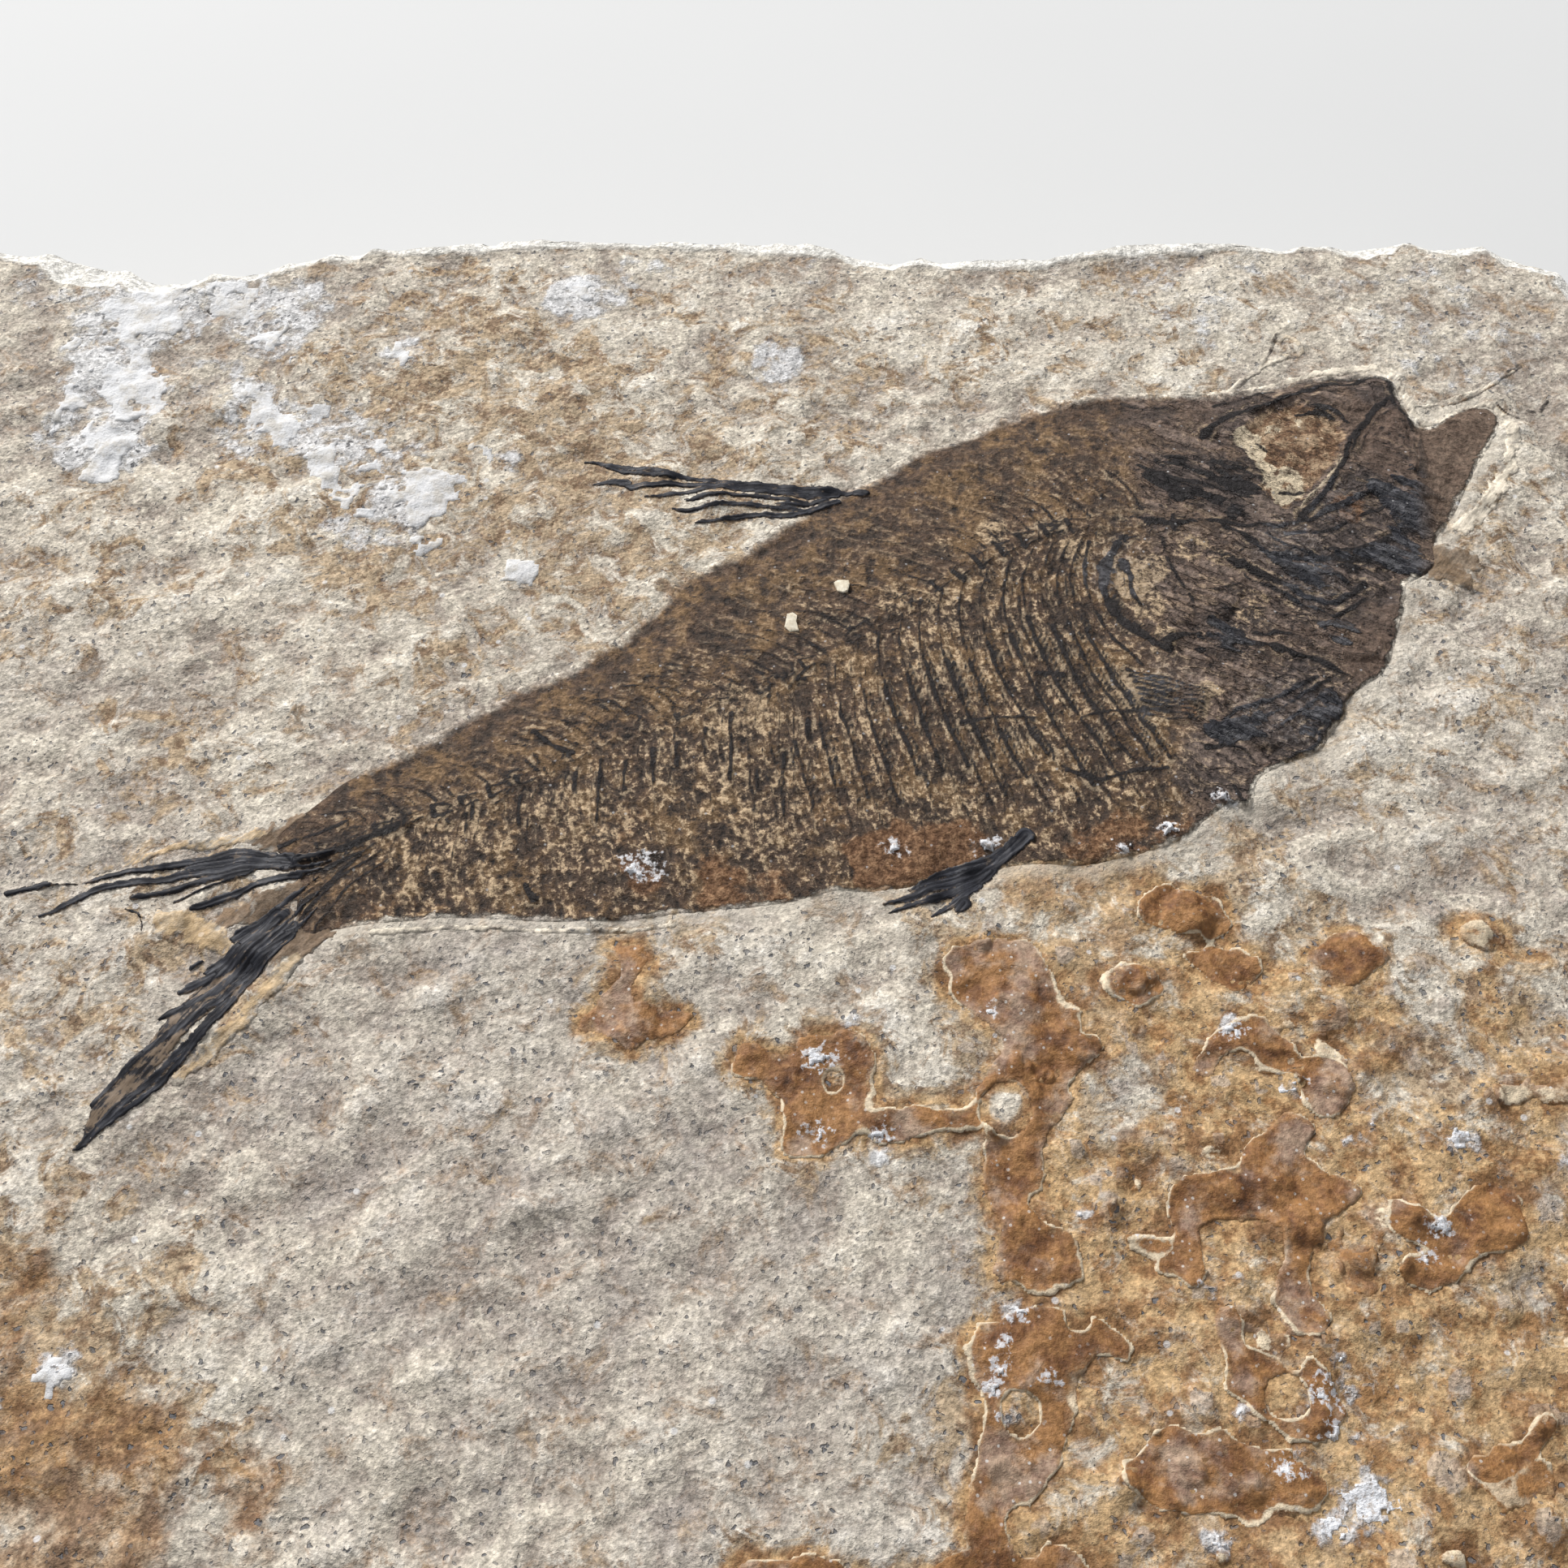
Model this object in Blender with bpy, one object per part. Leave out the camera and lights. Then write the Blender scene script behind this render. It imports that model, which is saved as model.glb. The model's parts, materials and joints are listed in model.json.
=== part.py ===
"""A fossil fish pressed on a split slab of limestone.

The slab lies flat, fossil side up. Lengths are in metres. The origin is the middle of the slab's
underside, +X runs along the long side towards the fish's head, +Y towards its back, +Z up.
"""

import math

import bmesh
import bpy
from mathutils import Vector, noise

# ---------------------------------------------------------------- driving dimensions
SLAB_WIDTH = 0.160
SLAB_DEPTH = 0.124
SLAB_THICKNESS = 0.012

CLEARANCE = 0.0003  # gap between the stone and each piece of the fossil
POCKET_DEPTH = 0.0015  # how far the fossil reaches down into the stone
BODY_EDGE_RISE = 0.00025  # the fish's rim above the bedding surface
BODY_CROWN = 0.0006  # and how much higher the middle of its flank is
BACKBONE_RISE = 0.0003  # over the flank on either side of it
RIB_RELIEF = 0.00012  # half the height from a rib's crest to the hollow beside it
CRUST_RISE = 0.0006  # the iron crust above the bedding surface
RIPPLE_HEIGHT = 0.0004  # half the height of the bedding surface's ripples

VERTEBRAE_PER_FRAME = 2
HEAD_STATIONS_PER_FRAME = 2
ROWS_TO_BELLY = 6
ROWS_TO_BACK = 5
SHOULDER_FRAME = 16  # the ribs end here and the skull begins

GRID_COLUMNS, GRID_ROWS = 34, 27  # quads along and across the slab's top

# The slab's broken edges, as corner-to-corner lines in plan.
FAR_EDGE = [
    (-0.0790, 0.0590), (-0.0700, 0.0610), (-0.0620, 0.0587), (-0.0570, 0.0580), (-0.0500, 0.0590),
    (-0.0400, 0.0610), (-0.0240, 0.0626), (-0.0100, 0.0619), (0.0030, 0.0620), (0.0110, 0.0597),
    (0.0200, 0.0599), (0.0290, 0.0607), (0.0380, 0.0620), (0.0520, 0.0619), (0.0660, 0.0620),
    (0.0720, 0.0600), (0.0765, 0.0545),
]
RIGHT_EDGE = [
    (0.0715, -0.0595), (0.0755, -0.0530), (0.0775, -0.0430), (0.0785, -0.0310), (0.0778, -0.0200),
    (0.0792, -0.0070), (0.0785, 0.0060), (0.0798, 0.0180), (0.0792, 0.0300), (0.0800, 0.0400),
    (0.0788, 0.0480), (0.0765, 0.0545),
]
NEAR_EDGE = [
    (-0.0760, -0.0565), (-0.0700, -0.0600), (-0.0580, -0.0612), (-0.0440, -0.0603), (-0.0300, -0.0616),
    (-0.0140, -0.0610), (0.0000, -0.0620), (0.0150, -0.0609), (0.0300, -0.0617), (0.0450, -0.0606),
    (0.0600, -0.0612), (0.0715, -0.0595),
]
LEFT_EDGE = [
    (-0.0760, -0.0565), (-0.0785, -0.0470), (-0.0792, -0.0350), (-0.0780, -0.0230), (-0.0796, -0.0100),
    (-0.0800, 0.0040), (-0.0788, 0.0180), (-0.0797, 0.0320), (-0.0783, 0.0450), (-0.0790, 0.0590),
]

# The broken sides step in and out from bed to bed: (height above the underside, how far the stone
# stands out past its outline, how much that wanders along the edge).
BEDS = [
    (0.0107, 0.0000, 0.0003),
    (0.0088, -0.0005, 0.0005),
    (0.0082, 0.0000, 0.0004),
    (0.0052, -0.0007, 0.0005),
    (0.0045, -0.0002, 0.0004),
    (0.0012, -0.0008, 0.0005),
]
TOP_CHIPPING = 0.0012  # how far the top's rim is broken back from the outline
FOOT_INSET = 0.0020  # how far the underside's rim is

# Frames across the fish from tail to snout: points on its back, its backbone and its belly. Each
# leans as the bones do, so that a rib and a neural spine run along it.
BODY_FRAMES = [
    ((-0.0376, -0.0036), (-0.0360, -0.0070), (-0.0352, -0.0122)),
    ((-0.0362, -0.0020), (-0.0320, -0.0054), (-0.0315, -0.0121)),
    ((-0.0321, 0.0012), (-0.0260, -0.0032), (-0.0260, -0.0121)),
    ((-0.0266, 0.0048), (-0.0203, 0.0003), (-0.0203, -0.0119)),
    ((-0.0234, 0.0074), (-0.0160, 0.0023), (-0.0160, -0.0118)),
    ((-0.0200, 0.0099), (-0.0117, 0.0042), (-0.0117, -0.0114)),
    ((-0.0173, 0.0115), (-0.0080, 0.0055), (-0.0080, -0.0111)),
    ((-0.0141, 0.0140), (-0.0040, 0.0073), (-0.0038, -0.0105)),
    ((-0.0110, 0.0170), (0.0000, 0.0097), (0.0010, -0.0098)),
    ((-0.0076, 0.0203), (0.0040, 0.0125), (0.0058, -0.0090)),
    ((-0.0030, 0.0229), (0.0080, 0.0155), (0.0110, -0.0085)),
    ((0.0016, 0.0260), (0.0120, 0.0189), (0.0155, -0.0081)),
    ((0.0053, 0.0281), (0.0160, 0.0213), (0.0200, -0.0077)),
    ((0.0088, 0.0310), (0.0200, 0.0234), (0.0245, -0.0070)),
    ((0.0128, 0.0349), (0.0240, 0.0250), (0.0286, -0.0060)),
    ((0.0195, 0.0375), (0.0280, 0.0258), (0.0325, -0.0042)),
    ((0.0270, 0.0408), (0.0315, 0.0255), (0.0360, -0.0020)),
    ((0.0340, 0.0414), (0.0360, 0.0250), (0.0390, 0.0018)),
    ((0.0404, 0.0419), (0.0405, 0.0240), (0.0433, 0.0055)),
    ((0.0464, 0.0428), (0.0445, 0.0235), (0.0463, 0.0093)),
    ((0.0515, 0.0439), (0.0480, 0.0240), (0.0498, 0.0150)),
    ((0.0549, 0.0424), (0.0510, 0.0260), (0.0535, 0.0205)),
    ((0.0553, 0.0386), (0.0540, 0.0290), (0.0575, 0.0228)),
    ((0.0572, 0.0373), (0.0570, 0.0322), (0.0568, 0.0268)),
    ((0.0605, 0.0388), (0.0602, 0.0358), (0.0604, 0.0330)),
    ((0.0626, 0.0397), (0.0632, 0.0390), (0.0634, 0.0380)),
]

# Swellings and hollows of the head: (centre in plan, radius, height).
HEAD_FORMS = [
    ((0.0450, 0.0335), 0.0048, -0.0006),  # eye socket
    ((0.0462, 0.0405), 0.0030, 0.0004),  # brow
    ((0.0385, 0.0360), 0.0035, 0.0005),  # back of the skull
    ((0.0510, 0.0310), 0.0032, 0.0004),  # cheek
    ((0.0535, 0.0265), 0.0025, 0.0005),  # joint of the jaw
    ((0.0440, 0.0205), 0.0042, 0.0006),  # gill cover
    ((0.0300, 0.0190), 0.0025, -0.0003),  # hollow behind the gill
    ((0.0400, 0.0065), 0.0036, 0.0005),  # breast
    ((0.0315, 0.0083), 0.0026, 0.0004),  # pectoral fin, pressed on the flank
]
GILL_ARCH = [
    (0.0300, 0.0245), (0.0272, 0.0225), (0.0266, 0.0190), (0.0275, 0.0155), (0.0298, 0.0125),
]
GILL_ARCH_RISE = 0.0005
GILL_ARCH_HALF_WIDTH = 0.0011

# Fin rays from root to tip. Rays of one fin meet at its root.
DORSAL_FIN = [
    [(0.0066, 0.0302), (0.0040, 0.0299), (-0.0050, 0.0307), (-0.0120, 0.0319), (-0.0172, 0.0334)],
    [(0.0030, 0.0296), (-0.0050, 0.0301), (-0.0125, 0.0303), (-0.0162, 0.0307)],
    [(0.0030, 0.0293), (-0.0060, 0.0295), (-0.0116, 0.0290)],
    [(0.0046, 0.0298), (0.0022, 0.0277), (-0.0040, 0.0279), (-0.0094, 0.0275)],
    [(0.0034, 0.0288), (0.0006, 0.0267), (-0.0030, 0.0268), (-0.0074, 0.0260)],
]
UPPER_TAIL_LOBE = [
    [(-0.0370, -0.0066), (-0.0400, -0.0058), (-0.0450, -0.0066), (-0.0520, -0.0083), (-0.0580, -0.0096)],
    [(-0.0373, -0.0069), (-0.0430, -0.0072), (-0.0490, -0.0087), (-0.0550, -0.0110)],
    [(-0.0375, -0.0072), (-0.0420, -0.0077), (-0.0482, -0.0096)],
    [(-0.0372, -0.0075), (-0.0400, -0.0084), (-0.0438, -0.0106)],
]
LOWER_TAIL_LOBE = [
    [(-0.0366, -0.0108), (-0.0386, -0.0158), (-0.0420, -0.0217), (-0.0460, -0.0265), (-0.0484, -0.0291)],
    [(-0.0367, -0.0105), (-0.0402, -0.0158), (-0.0436, -0.0213), (-0.0476, -0.0256)],
    [(-0.0369, -0.0103), (-0.0400, -0.0142), (-0.0442, -0.0193)],
    [(-0.0370, -0.0102), (-0.0394, -0.0127), (-0.0429, -0.0154)],
]
PELVIC_FIN = [
    [(0.0178, -0.0047), (0.0150, -0.0070), (0.0110, -0.0090), (0.0072, -0.0102)],
    [(0.0160, -0.0063), (0.0125, -0.0087), (0.0078, -0.0109)],
    [(0.0156, -0.0067), (0.0134, -0.0095), (0.0112, -0.0114)],
]
RAY_ROOT_RADIUS = 0.00055
RAY_TIP_RADIUS = 0.00030
RAY_CENTRE_RISE = 0.00005  # the middle of a fin's first ray above the bedding surface
RAY_OVERLAP_RISE = 0.00004  # and of each later ray above the one before

# Outlines of the iron-stained crust on the lower right of the face.
CRUST_PATCHES = [
    [
        (-0.0118, -0.0135), (-0.0092, -0.0140), (-0.0102, -0.0172), (-0.0098, -0.0190), (-0.0066, -0.0194),
        (-0.0072, -0.0212), (-0.0110, -0.0214), (-0.0140, -0.0200), (-0.0128, -0.0180),
    ],
    [
        (-0.0030, -0.0205), (0.0015, -0.0206), (0.0055, -0.0218), (0.0060, -0.0250), (0.0100, -0.0262),
        (0.0140, -0.0252), (0.0158, -0.0235), (0.0150, -0.0200), (0.0120, -0.0170), (0.0125, -0.0133),
        (0.0170, -0.0133), (0.0198, -0.0165), (0.0205, -0.0215), (0.0190, -0.0250), (0.0182, -0.0300),
        (0.0200, -0.0345), (0.0190, -0.0400), (0.0218, -0.0425), (0.0180, -0.0440), (0.0160, -0.0480),
        (0.0175, -0.0530), (0.0165, -0.0585), (0.0105, -0.0585), (0.0115, -0.0500), (0.0125, -0.0440),
        (0.0140, -0.0395), (0.0142, -0.0330), (0.0140, -0.0285), (0.0080, -0.0283), (0.0030, -0.0290),
        (-0.0002, -0.0275), (0.0000, -0.0240),
    ],
    [
        (0.0296, -0.0205), (0.0345, -0.0198), (0.0365, -0.0222), (0.0398, -0.0238), (0.0388, -0.0256),
        (0.0355, -0.0250), (0.0340, -0.0230), (0.0300, -0.0228),
    ],
    [
        (0.0265, -0.0315), (0.0305, -0.0310), (0.0345, -0.0270), (0.0360, -0.0290), (0.0372, -0.0325),
        (0.0350, -0.0345), (0.0347, -0.0400), (0.0325, -0.0410), (0.0318, -0.0380), (0.0325, -0.0345),
        (0.0280, -0.0342), (0.0268, -0.0378), (0.0245, -0.0375), (0.0258, -0.0340),
    ],
    [
        (0.0288, -0.0402), (0.0302, -0.0425), (0.0325, -0.0440), (0.0342, -0.0428), (0.0345, -0.0470),
        (0.0322, -0.0500), (0.0290, -0.0520), (0.0262, -0.0545), (0.0258, -0.0505), (0.0285, -0.0485),
        (0.0290, -0.0460), (0.0282, -0.0430),
    ],
    [
        (0.0405, -0.0325), (0.0440, -0.0335), (0.0480, -0.0328), (0.0485, -0.0352), (0.0445, -0.0365),
        (0.0420, -0.0350),
    ],
]

# Chips of pale stone stuck to the flank: (name, middle in plan, size across and along, turn).
CHIPS = [
    ("chip_upper", (0.0048, 0.0187), (0.0011, 0.0012), 0.25),
    ("chip_lower", (0.0007, 0.0150), (0.0010, 0.0015), -0.20),
]
CHIP_HEIGHT = 0.0006

COLOURS = {
    "limestone": (0.47, 0.41, 0.32),
    "fossil_brown": (0.10, 0.063, 0.036),
    "fossil_black": (0.012, 0.012, 0.016),
    "pale_chip": (0.72, 0.62, 0.45),
}

SLIVER_SOLVER = "MANIFOLD"  # the fins' beds leave slivers of stone that EXACT loses

HALF_WIDTH = SLAB_WIDTH / 2
HALF_DEPTH = SLAB_DEPTH / 2
POCKET_FLOOR = SLAB_THICKNESS - POCKET_DEPTH


# ---------------------------------------------------------------- small helpers
def clear_scene():
    for obj in list(bpy.data.objects):
        bpy.data.objects.remove(obj)


def new_collection(name):
    collection = bpy.data.collections.new(name)
    bpy.context.scene.collection.children.link(collection)
    return collection


def material(name, roughness):
    made = bpy.data.materials.new(name)
    made.use_nodes = True
    shader = made.node_tree.nodes["Principled BSDF"]
    shader.inputs["Base Color"].default_value = (*COLOURS[name], 1.0)
    shader.inputs["Roughness"].default_value = roughness
    shader.inputs["Metallic"].default_value = 0.0
    made.diffuse_color = (*COLOURS[name], 1.0)
    return made


def mesh_object(name, bm, collection, finish=None):
    """Turns a bmesh into an object of the collection."""
    bmesh.ops.recalc_face_normals(bm, faces=bm.faces[:])
    mesh = bpy.data.meshes.new(name)
    bm.to_mesh(mesh)
    bm.free()
    obj = bpy.data.objects.new(name, mesh)
    collection.objects.link(obj)
    if finish:
        mesh.materials.append(finish)
    return obj


def hide_cutter(obj):
    obj.hide_render = True
    obj.display_type = "WIRE"


def smooth_step(value):
    t = min(max(value, 0.0), 1.0)
    return t * t * (3.0 - 2.0 * t)


def point_along(points, share):
    """The point at this share, from 0 to 1, of the length of a line through points."""
    points = [Vector(p) for p in points]
    lengths = [(b - a).length for a, b in zip(points, points[1:])]
    left = share * sum(lengths)
    for start, end, length in zip(points, points[1:], lengths):
        if left <= length:
            return start.lerp(end, left / length)
        left -= length
    return points[-1]


def curved(points, place):
    """The point at place, counted in points, on a Catmull-Rom curve through points."""
    last = len(points) - 1
    i = min(int(place), last - 1)
    t = place - i
    before, start, end, after = (Vector(points[min(max(k, 0), last)]) for k in (i - 1, i, i + 1, i + 2))
    return 0.5 * (
        2 * start
        + (end - before) * t
        + (2 * before - 5 * start + 4 * end - after) * t ** 2
        + (3 * start - before - 3 * end + after) * t ** 3
    )


def distance_to_line(point, line):
    """How far a plan point is from a line through points."""
    nearest = float("inf")
    for start, end in zip(line, line[1:]):
        run = end - start
        share = min(max((point - start).dot(run) / run.length_squared, 0.0), 1.0)
        nearest = min(nearest, (point - start - run * share).length)
    return nearest


# ---------------------------------------------------------------- the fish
def body_stations():
    """The grid's columns, each as (place among the frames, ridge).

    ridge is 1 along a rib, -1 along the hollow beside it and 0 in the head.
    """
    per_frame = 2 * VERTEBRAE_PER_FRAME
    stations = []
    for k in range(SHOULDER_FRAME * per_frame):
        stations.append((k / per_frame, 1 if k % 2 else -1))
    head_frames = len(BODY_FRAMES) - 1 - SHOULDER_FRAME
    for k in range(head_frames * HEAD_STATIONS_PER_FRAME + 1):
        stations.append((SHOULDER_FRAME + k / HEAD_STATIONS_PER_FRAME, 0))
    return stations


def body_point(place, across):
    """A plan point of the fish: across is -1 on the belly, 0 on the backbone and 1 on the back."""
    back, spine, belly = (curved([frame[k] for frame in BODY_FRAMES], place) for k in range(3))
    return spine.lerp(back if across > 0 else belly, abs(across))


def body_height(place, across, ridge, point):
    """The height of the fish's flank above the bedding surface."""
    height = BODY_EDGE_RISE + BODY_CROWN * (1 - across ** 2) ** 0.6
    from_spine = abs(across)
    tail_fade = smooth_step(place / 3)
    if place <= SHOULDER_FRAME:
        height += BACKBONE_RISE * math.exp(-((from_spine / 0.09) ** 2))
        reach = 0.85 if across < 0 else 0.65
        height += RIB_RELIEF * ridge * (1 - smooth_step((from_spine - reach) / 0.15))
    for centre, radius, rise in HEAD_FORMS:
        height += rise * math.exp(-((point - Vector(centre)).length / radius) ** 2)
    arch = [Vector(p) for p in GILL_ARCH]
    height += GILL_ARCH_RISE * math.exp(-((distance_to_line(point, arch) / GILL_ARCH_HALF_WIDTH) ** 2))
    return max(height * (0.5 + 0.5 * tail_fade), BODY_EDGE_RISE)


def body_outline():
    """The fish's outline in plan: along the belly to the snout and home along the back."""
    stations = body_stations()
    rows = ROWS_TO_BELLY + ROWS_TO_BACK
    belly = [body_point(place, -1) for place, _ in stations]
    snout = [body_point(stations[-1][0], -1 + 2 * k / rows) for k in range(1, rows)]
    back = [body_point(place, 1) for place, _ in reversed(stations)]
    tail = [body_point(0, 1 - 2 * k / rows) for k in range(1, rows)]
    return belly + snout + back + tail


def fish_body(collection, finish):
    """The pressed fish from tail root to jaw: a grid over the frames, with a flat underside."""
    stations = body_stations()
    rows = ROWS_TO_BELLY + ROWS_TO_BACK
    bm = bmesh.new()
    bmesh.ops.create_grid(bm, x_segments=len(stations) - 1, y_segments=rows, size=1)
    for vert in bm.verts:
        column = round((vert.co.x + 1) / 2 * (len(stations) - 1))
        row = round((vert.co.y + 1) / 2 * rows)
        across = (row - ROWS_TO_BELLY) / (ROWS_TO_BELLY if row < ROWS_TO_BELLY else ROWS_TO_BACK)
        place, ridge = stations[column]
        point = body_point(place, across)
        vert.co = (*point, SLAB_THICKNESS + body_height(place, across, ridge, point))
    rim = [edge for edge in bm.edges if edge.is_boundary]
    carried = bmesh.ops.extrude_edge_only(bm, edges=rim)["geom"]
    for vert in [part for part in carried if isinstance(part, bmesh.types.BMVert)]:
        vert.co.z = POCKET_FLOOR + CLEARANCE
    foot = [part for part in carried if isinstance(part, bmesh.types.BMEdge)]
    bmesh.ops.edgeloop_fill(bm, edges=foot)
    return mesh_object("fish_body", bm, collection, finish)


def grown_outline(outline, by):
    """A closed plan outline moved outwards by a small distance."""
    grown = []
    for k, point in enumerate(outline):
        along = (outline[(k + 1) % len(outline)] - outline[k - 1]).normalized()
        grown.append(point + Vector((along.y, -along.x)) * by)
    return grown


def outline_block(name, outline, low, high, collection):
    """A flat outline with straight sides from low to high."""
    curve = bpy.data.curves.new(name, "CURVE")
    curve.dimensions = "2D"
    curve.fill_mode = "BOTH"
    curve.extrude = (high - low) / 2
    spline = curve.splines.new("POLY")
    spline.points.add(len(outline) - 1)
    for point, place in zip(spline.points, outline):
        point.co = (place[0], place[1], 0, 1)
    spline.use_cyclic_u = True
    return to_mesh(name, curve, (0, 0, (low + high) / 2), collection)


def to_mesh(name, curve, location, collection):
    """Replaces a curve by a closed mesh object at location."""
    source = bpy.data.objects.new(name + "_curve", curve)
    source.location = location
    collection.objects.link(source)
    bpy.context.view_layer.update()
    evaluated = source.evaluated_get(bpy.context.evaluated_depsgraph_get())
    mesh = bpy.data.meshes.new_from_object(evaluated)
    made = bpy.data.objects.new(name, mesh)
    made.matrix_world = source.matrix_world
    collection.objects.link(made)
    bpy.data.objects.remove(source)
    bm = bmesh.new()
    bm.from_mesh(mesh)
    bmesh.ops.remove_doubles(bm, verts=bm.verts[:], dist=1e-6)
    bmesh.ops.recalc_face_normals(bm, faces=bm.faces[:])
    bm.to_mesh(mesh)
    bm.free()
    return made


def boolean(target, operation, other, solver="EXACT"):
    modifier = target.modifiers.new(operation.title() + " " + other.name, "BOOLEAN")
    modifier.operation = operation
    modifier.solver = solver
    modifier.object = other


def ray(name, line, order, margin, collection):
    """One fin ray, a rod that tapers from its root to its tip, larger all round by a margin."""
    steps = 2 * (len(line) - 1)
    places = [curved(line, k / 2) for k in range(steps + 1)]
    places[0] += (places[0] - places[1]).normalized() * margin
    places[-1] += (places[-1] - places[-2]).normalized() * margin
    curve = bpy.data.curves.new(name, "CURVE")
    curve.dimensions = "3D"
    curve.bevel_depth = 1.0
    curve.bevel_resolution = 1
    curve.use_fill_caps = True
    spline = curve.splines.new("POLY")
    spline.points.add(steps)
    for k, (point, place) in enumerate(zip(spline.points, places)):
        point.co = (place.x, place.y, 0, 1)
        point.radius = RAY_ROOT_RADIUS + (RAY_TIP_RADIUS - RAY_ROOT_RADIUS) * k / steps + margin
    rise = RAY_CENTRE_RISE + order * RAY_OVERLAP_RISE
    return to_mesh(name, curve, (0, 0, SLAB_THICKNESS + rise), collection)


def rays(name, lines, margin, cutters):
    """The rays of one fin, apart."""
    return [ray(f"{name}_{k}", line, k, margin, cutters) for k, line in enumerate(lines)]


def fin(name, lines, collection, cutters, finish):
    """A fin of rays that are joined at its root, and the cutters that make its bed."""
    made, *others = rays(name + "_ray", lines, 0.0, cutters)
    made.name = name
    cutters.objects.unlink(made)
    collection.objects.link(made)
    made.data.materials.append(finish)
    for other in others:
        boolean(made, "UNION", other)
    beds = rays(name + "_bed", lines, CLEARANCE, cutters)
    for cutter in others + beds:
        hide_cutter(cutter)
    return beds


def chip(name, middle, size, turn, collection, finish):
    """A small broken flake lying on the flank."""
    height_below = max(
        body_height(place / 4, across / 20, 1, Vector(middle))
        for place in range(30, 50)
        for across in range(-6, 12)
        if (body_point(place / 4, across / 20) - Vector(middle)).length < max(size)
    )
    bm = bmesh.new()
    bmesh.ops.create_cube(bm, size=1)
    for vert in bm.verts:
        taper = 1.0 if vert.co.z < 0 else 0.75
        vert.co = (vert.co.x * size[0] * taper, vert.co.y * size[1] * taper, vert.co.z * CHIP_HEIGHT)
    obj = mesh_object(name, bm, collection, finish)
    rise = height_below + CLEARANCE + CHIP_HEIGHT / 2
    obj.location = (*middle, SLAB_THICKNESS + rise)
    obj.rotation_euler.z = turn
    return obj


# ---------------------------------------------------------------- the slab
def slab_plan(u, v):
    """Lays the unit square over the slab's plan, between its four broken edges."""
    near, far = point_along(NEAR_EDGE, u), point_along(FAR_EDGE, u)
    left, right = point_along(LEFT_EDGE, v), point_along(RIGHT_EDGE, v)
    corners = (
        (1 - u) * (1 - v) * Vector(NEAR_EDGE[0]) + u * (1 - v) * Vector(NEAR_EDGE[-1])
        + (1 - u) * v * Vector(FAR_EDGE[0]) + u * v * Vector(FAR_EDGE[-1])
    )
    return (1 - v) * near + v * far + (1 - u) * left + u * right - corners


def bedding_height(point, fossil_lines):
    """The split face's height: low slanting ripples and lumps, calm next to the fossil."""
    calm = min(distance_to_line(point, line) for line in fossil_lines)
    open_face = smooth_step((calm - 0.0015) / 0.006)
    slant = (point.x * 0.35 + point.y) / 0.0052
    ripple = math.sin(slant + 2.5 * noise.noise(Vector((point.x * 60, point.y * 60, 1.0))))
    lumps = noise.noise(Vector((point.x * 130, point.y * 170, 4.0)))
    swell = noise.noise(Vector((point.x * 22, point.y * 26, 9.0)))
    return RIPPLE_HEIGHT * (open_face * (0.35 * ripple + 0.9 * lumps) + 0.5 * swell)


def slab_sides(bm, corners, rim):
    """Carries the top's rim down over the beds and closes the underside."""
    centre = Vector((0, 0, 0))
    levels = [*BEDS, (0.0, -FOOT_INSET, 0.0004)]
    for level, (height, stands_out, wander) in enumerate(levels):
        carried = bmesh.ops.extrude_edge_only(bm, edges=rim)["geom"]
        for vert in [part for part in carried if isinstance(part, bmesh.types.BMVert)]:
            outline = vert[corners]
            outward = (outline - centre).normalized()
            rough = wander * 2 * noise.noise(Vector((outline.x * 260, outline.y * 260, 3.0 * level)))
            vert.co = outline + outward * (stands_out + rough)
            vert.co.z = height
        rim = [part for part in carried if isinstance(part, bmesh.types.BMEdge)]
    bmesh.ops.edgeloop_fill(bm, edges=rim)


def fit_to_box(bm):
    """Brings the slab's plan to its exact width and depth, centred on the origin."""
    for axis, half in ((0, HALF_WIDTH), (1, HALF_DEPTH)):
        low = min(vert.co[axis] for vert in bm.verts)
        high = max(vert.co[axis] for vert in bm.verts)
        for vert in bm.verts:
            vert.co[axis] = (vert.co[axis] - low) / (high - low) * 2 * half - half


def slab(collection, finish, fossil_lines):
    bm = bmesh.new()
    bmesh.ops.create_grid(bm, x_segments=GRID_COLUMNS, y_segments=GRID_ROWS, size=1)
    corners = bm.verts.layers.float_vector.new("outline")
    for vert in bm.verts:
        point = slab_plan((vert.co.x + 1) / 2, (vert.co.y + 1) / 2)
        vert[corners] = (*point, 0)
        if vert.is_boundary:
            chipping = TOP_CHIPPING * (0.9 + 0.8 * noise.noise(Vector((*(point * 200), 7.0))))
            point -= point.normalized() * chipping
        vert.co = (*point, SLAB_THICKNESS + bedding_height(point, fossil_lines))
    slab_sides(bm, corners, [edge for edge in bm.edges if edge.is_boundary])
    fit_to_box(bm)
    return mesh_object("slab", bm, collection, finish)


def add_crust(stone, cutters):
    """Raises the patches of crust on the stone they grew on."""
    for k, patch in enumerate(CRUST_PATCHES):
        block = outline_block(
            f"crust_patch_{k}", patch, POCKET_FLOOR, SLAB_THICKNESS + CRUST_RISE, cutters
        )
        hide_cutter(block)
        boolean(stone, "UNION", block)


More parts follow.
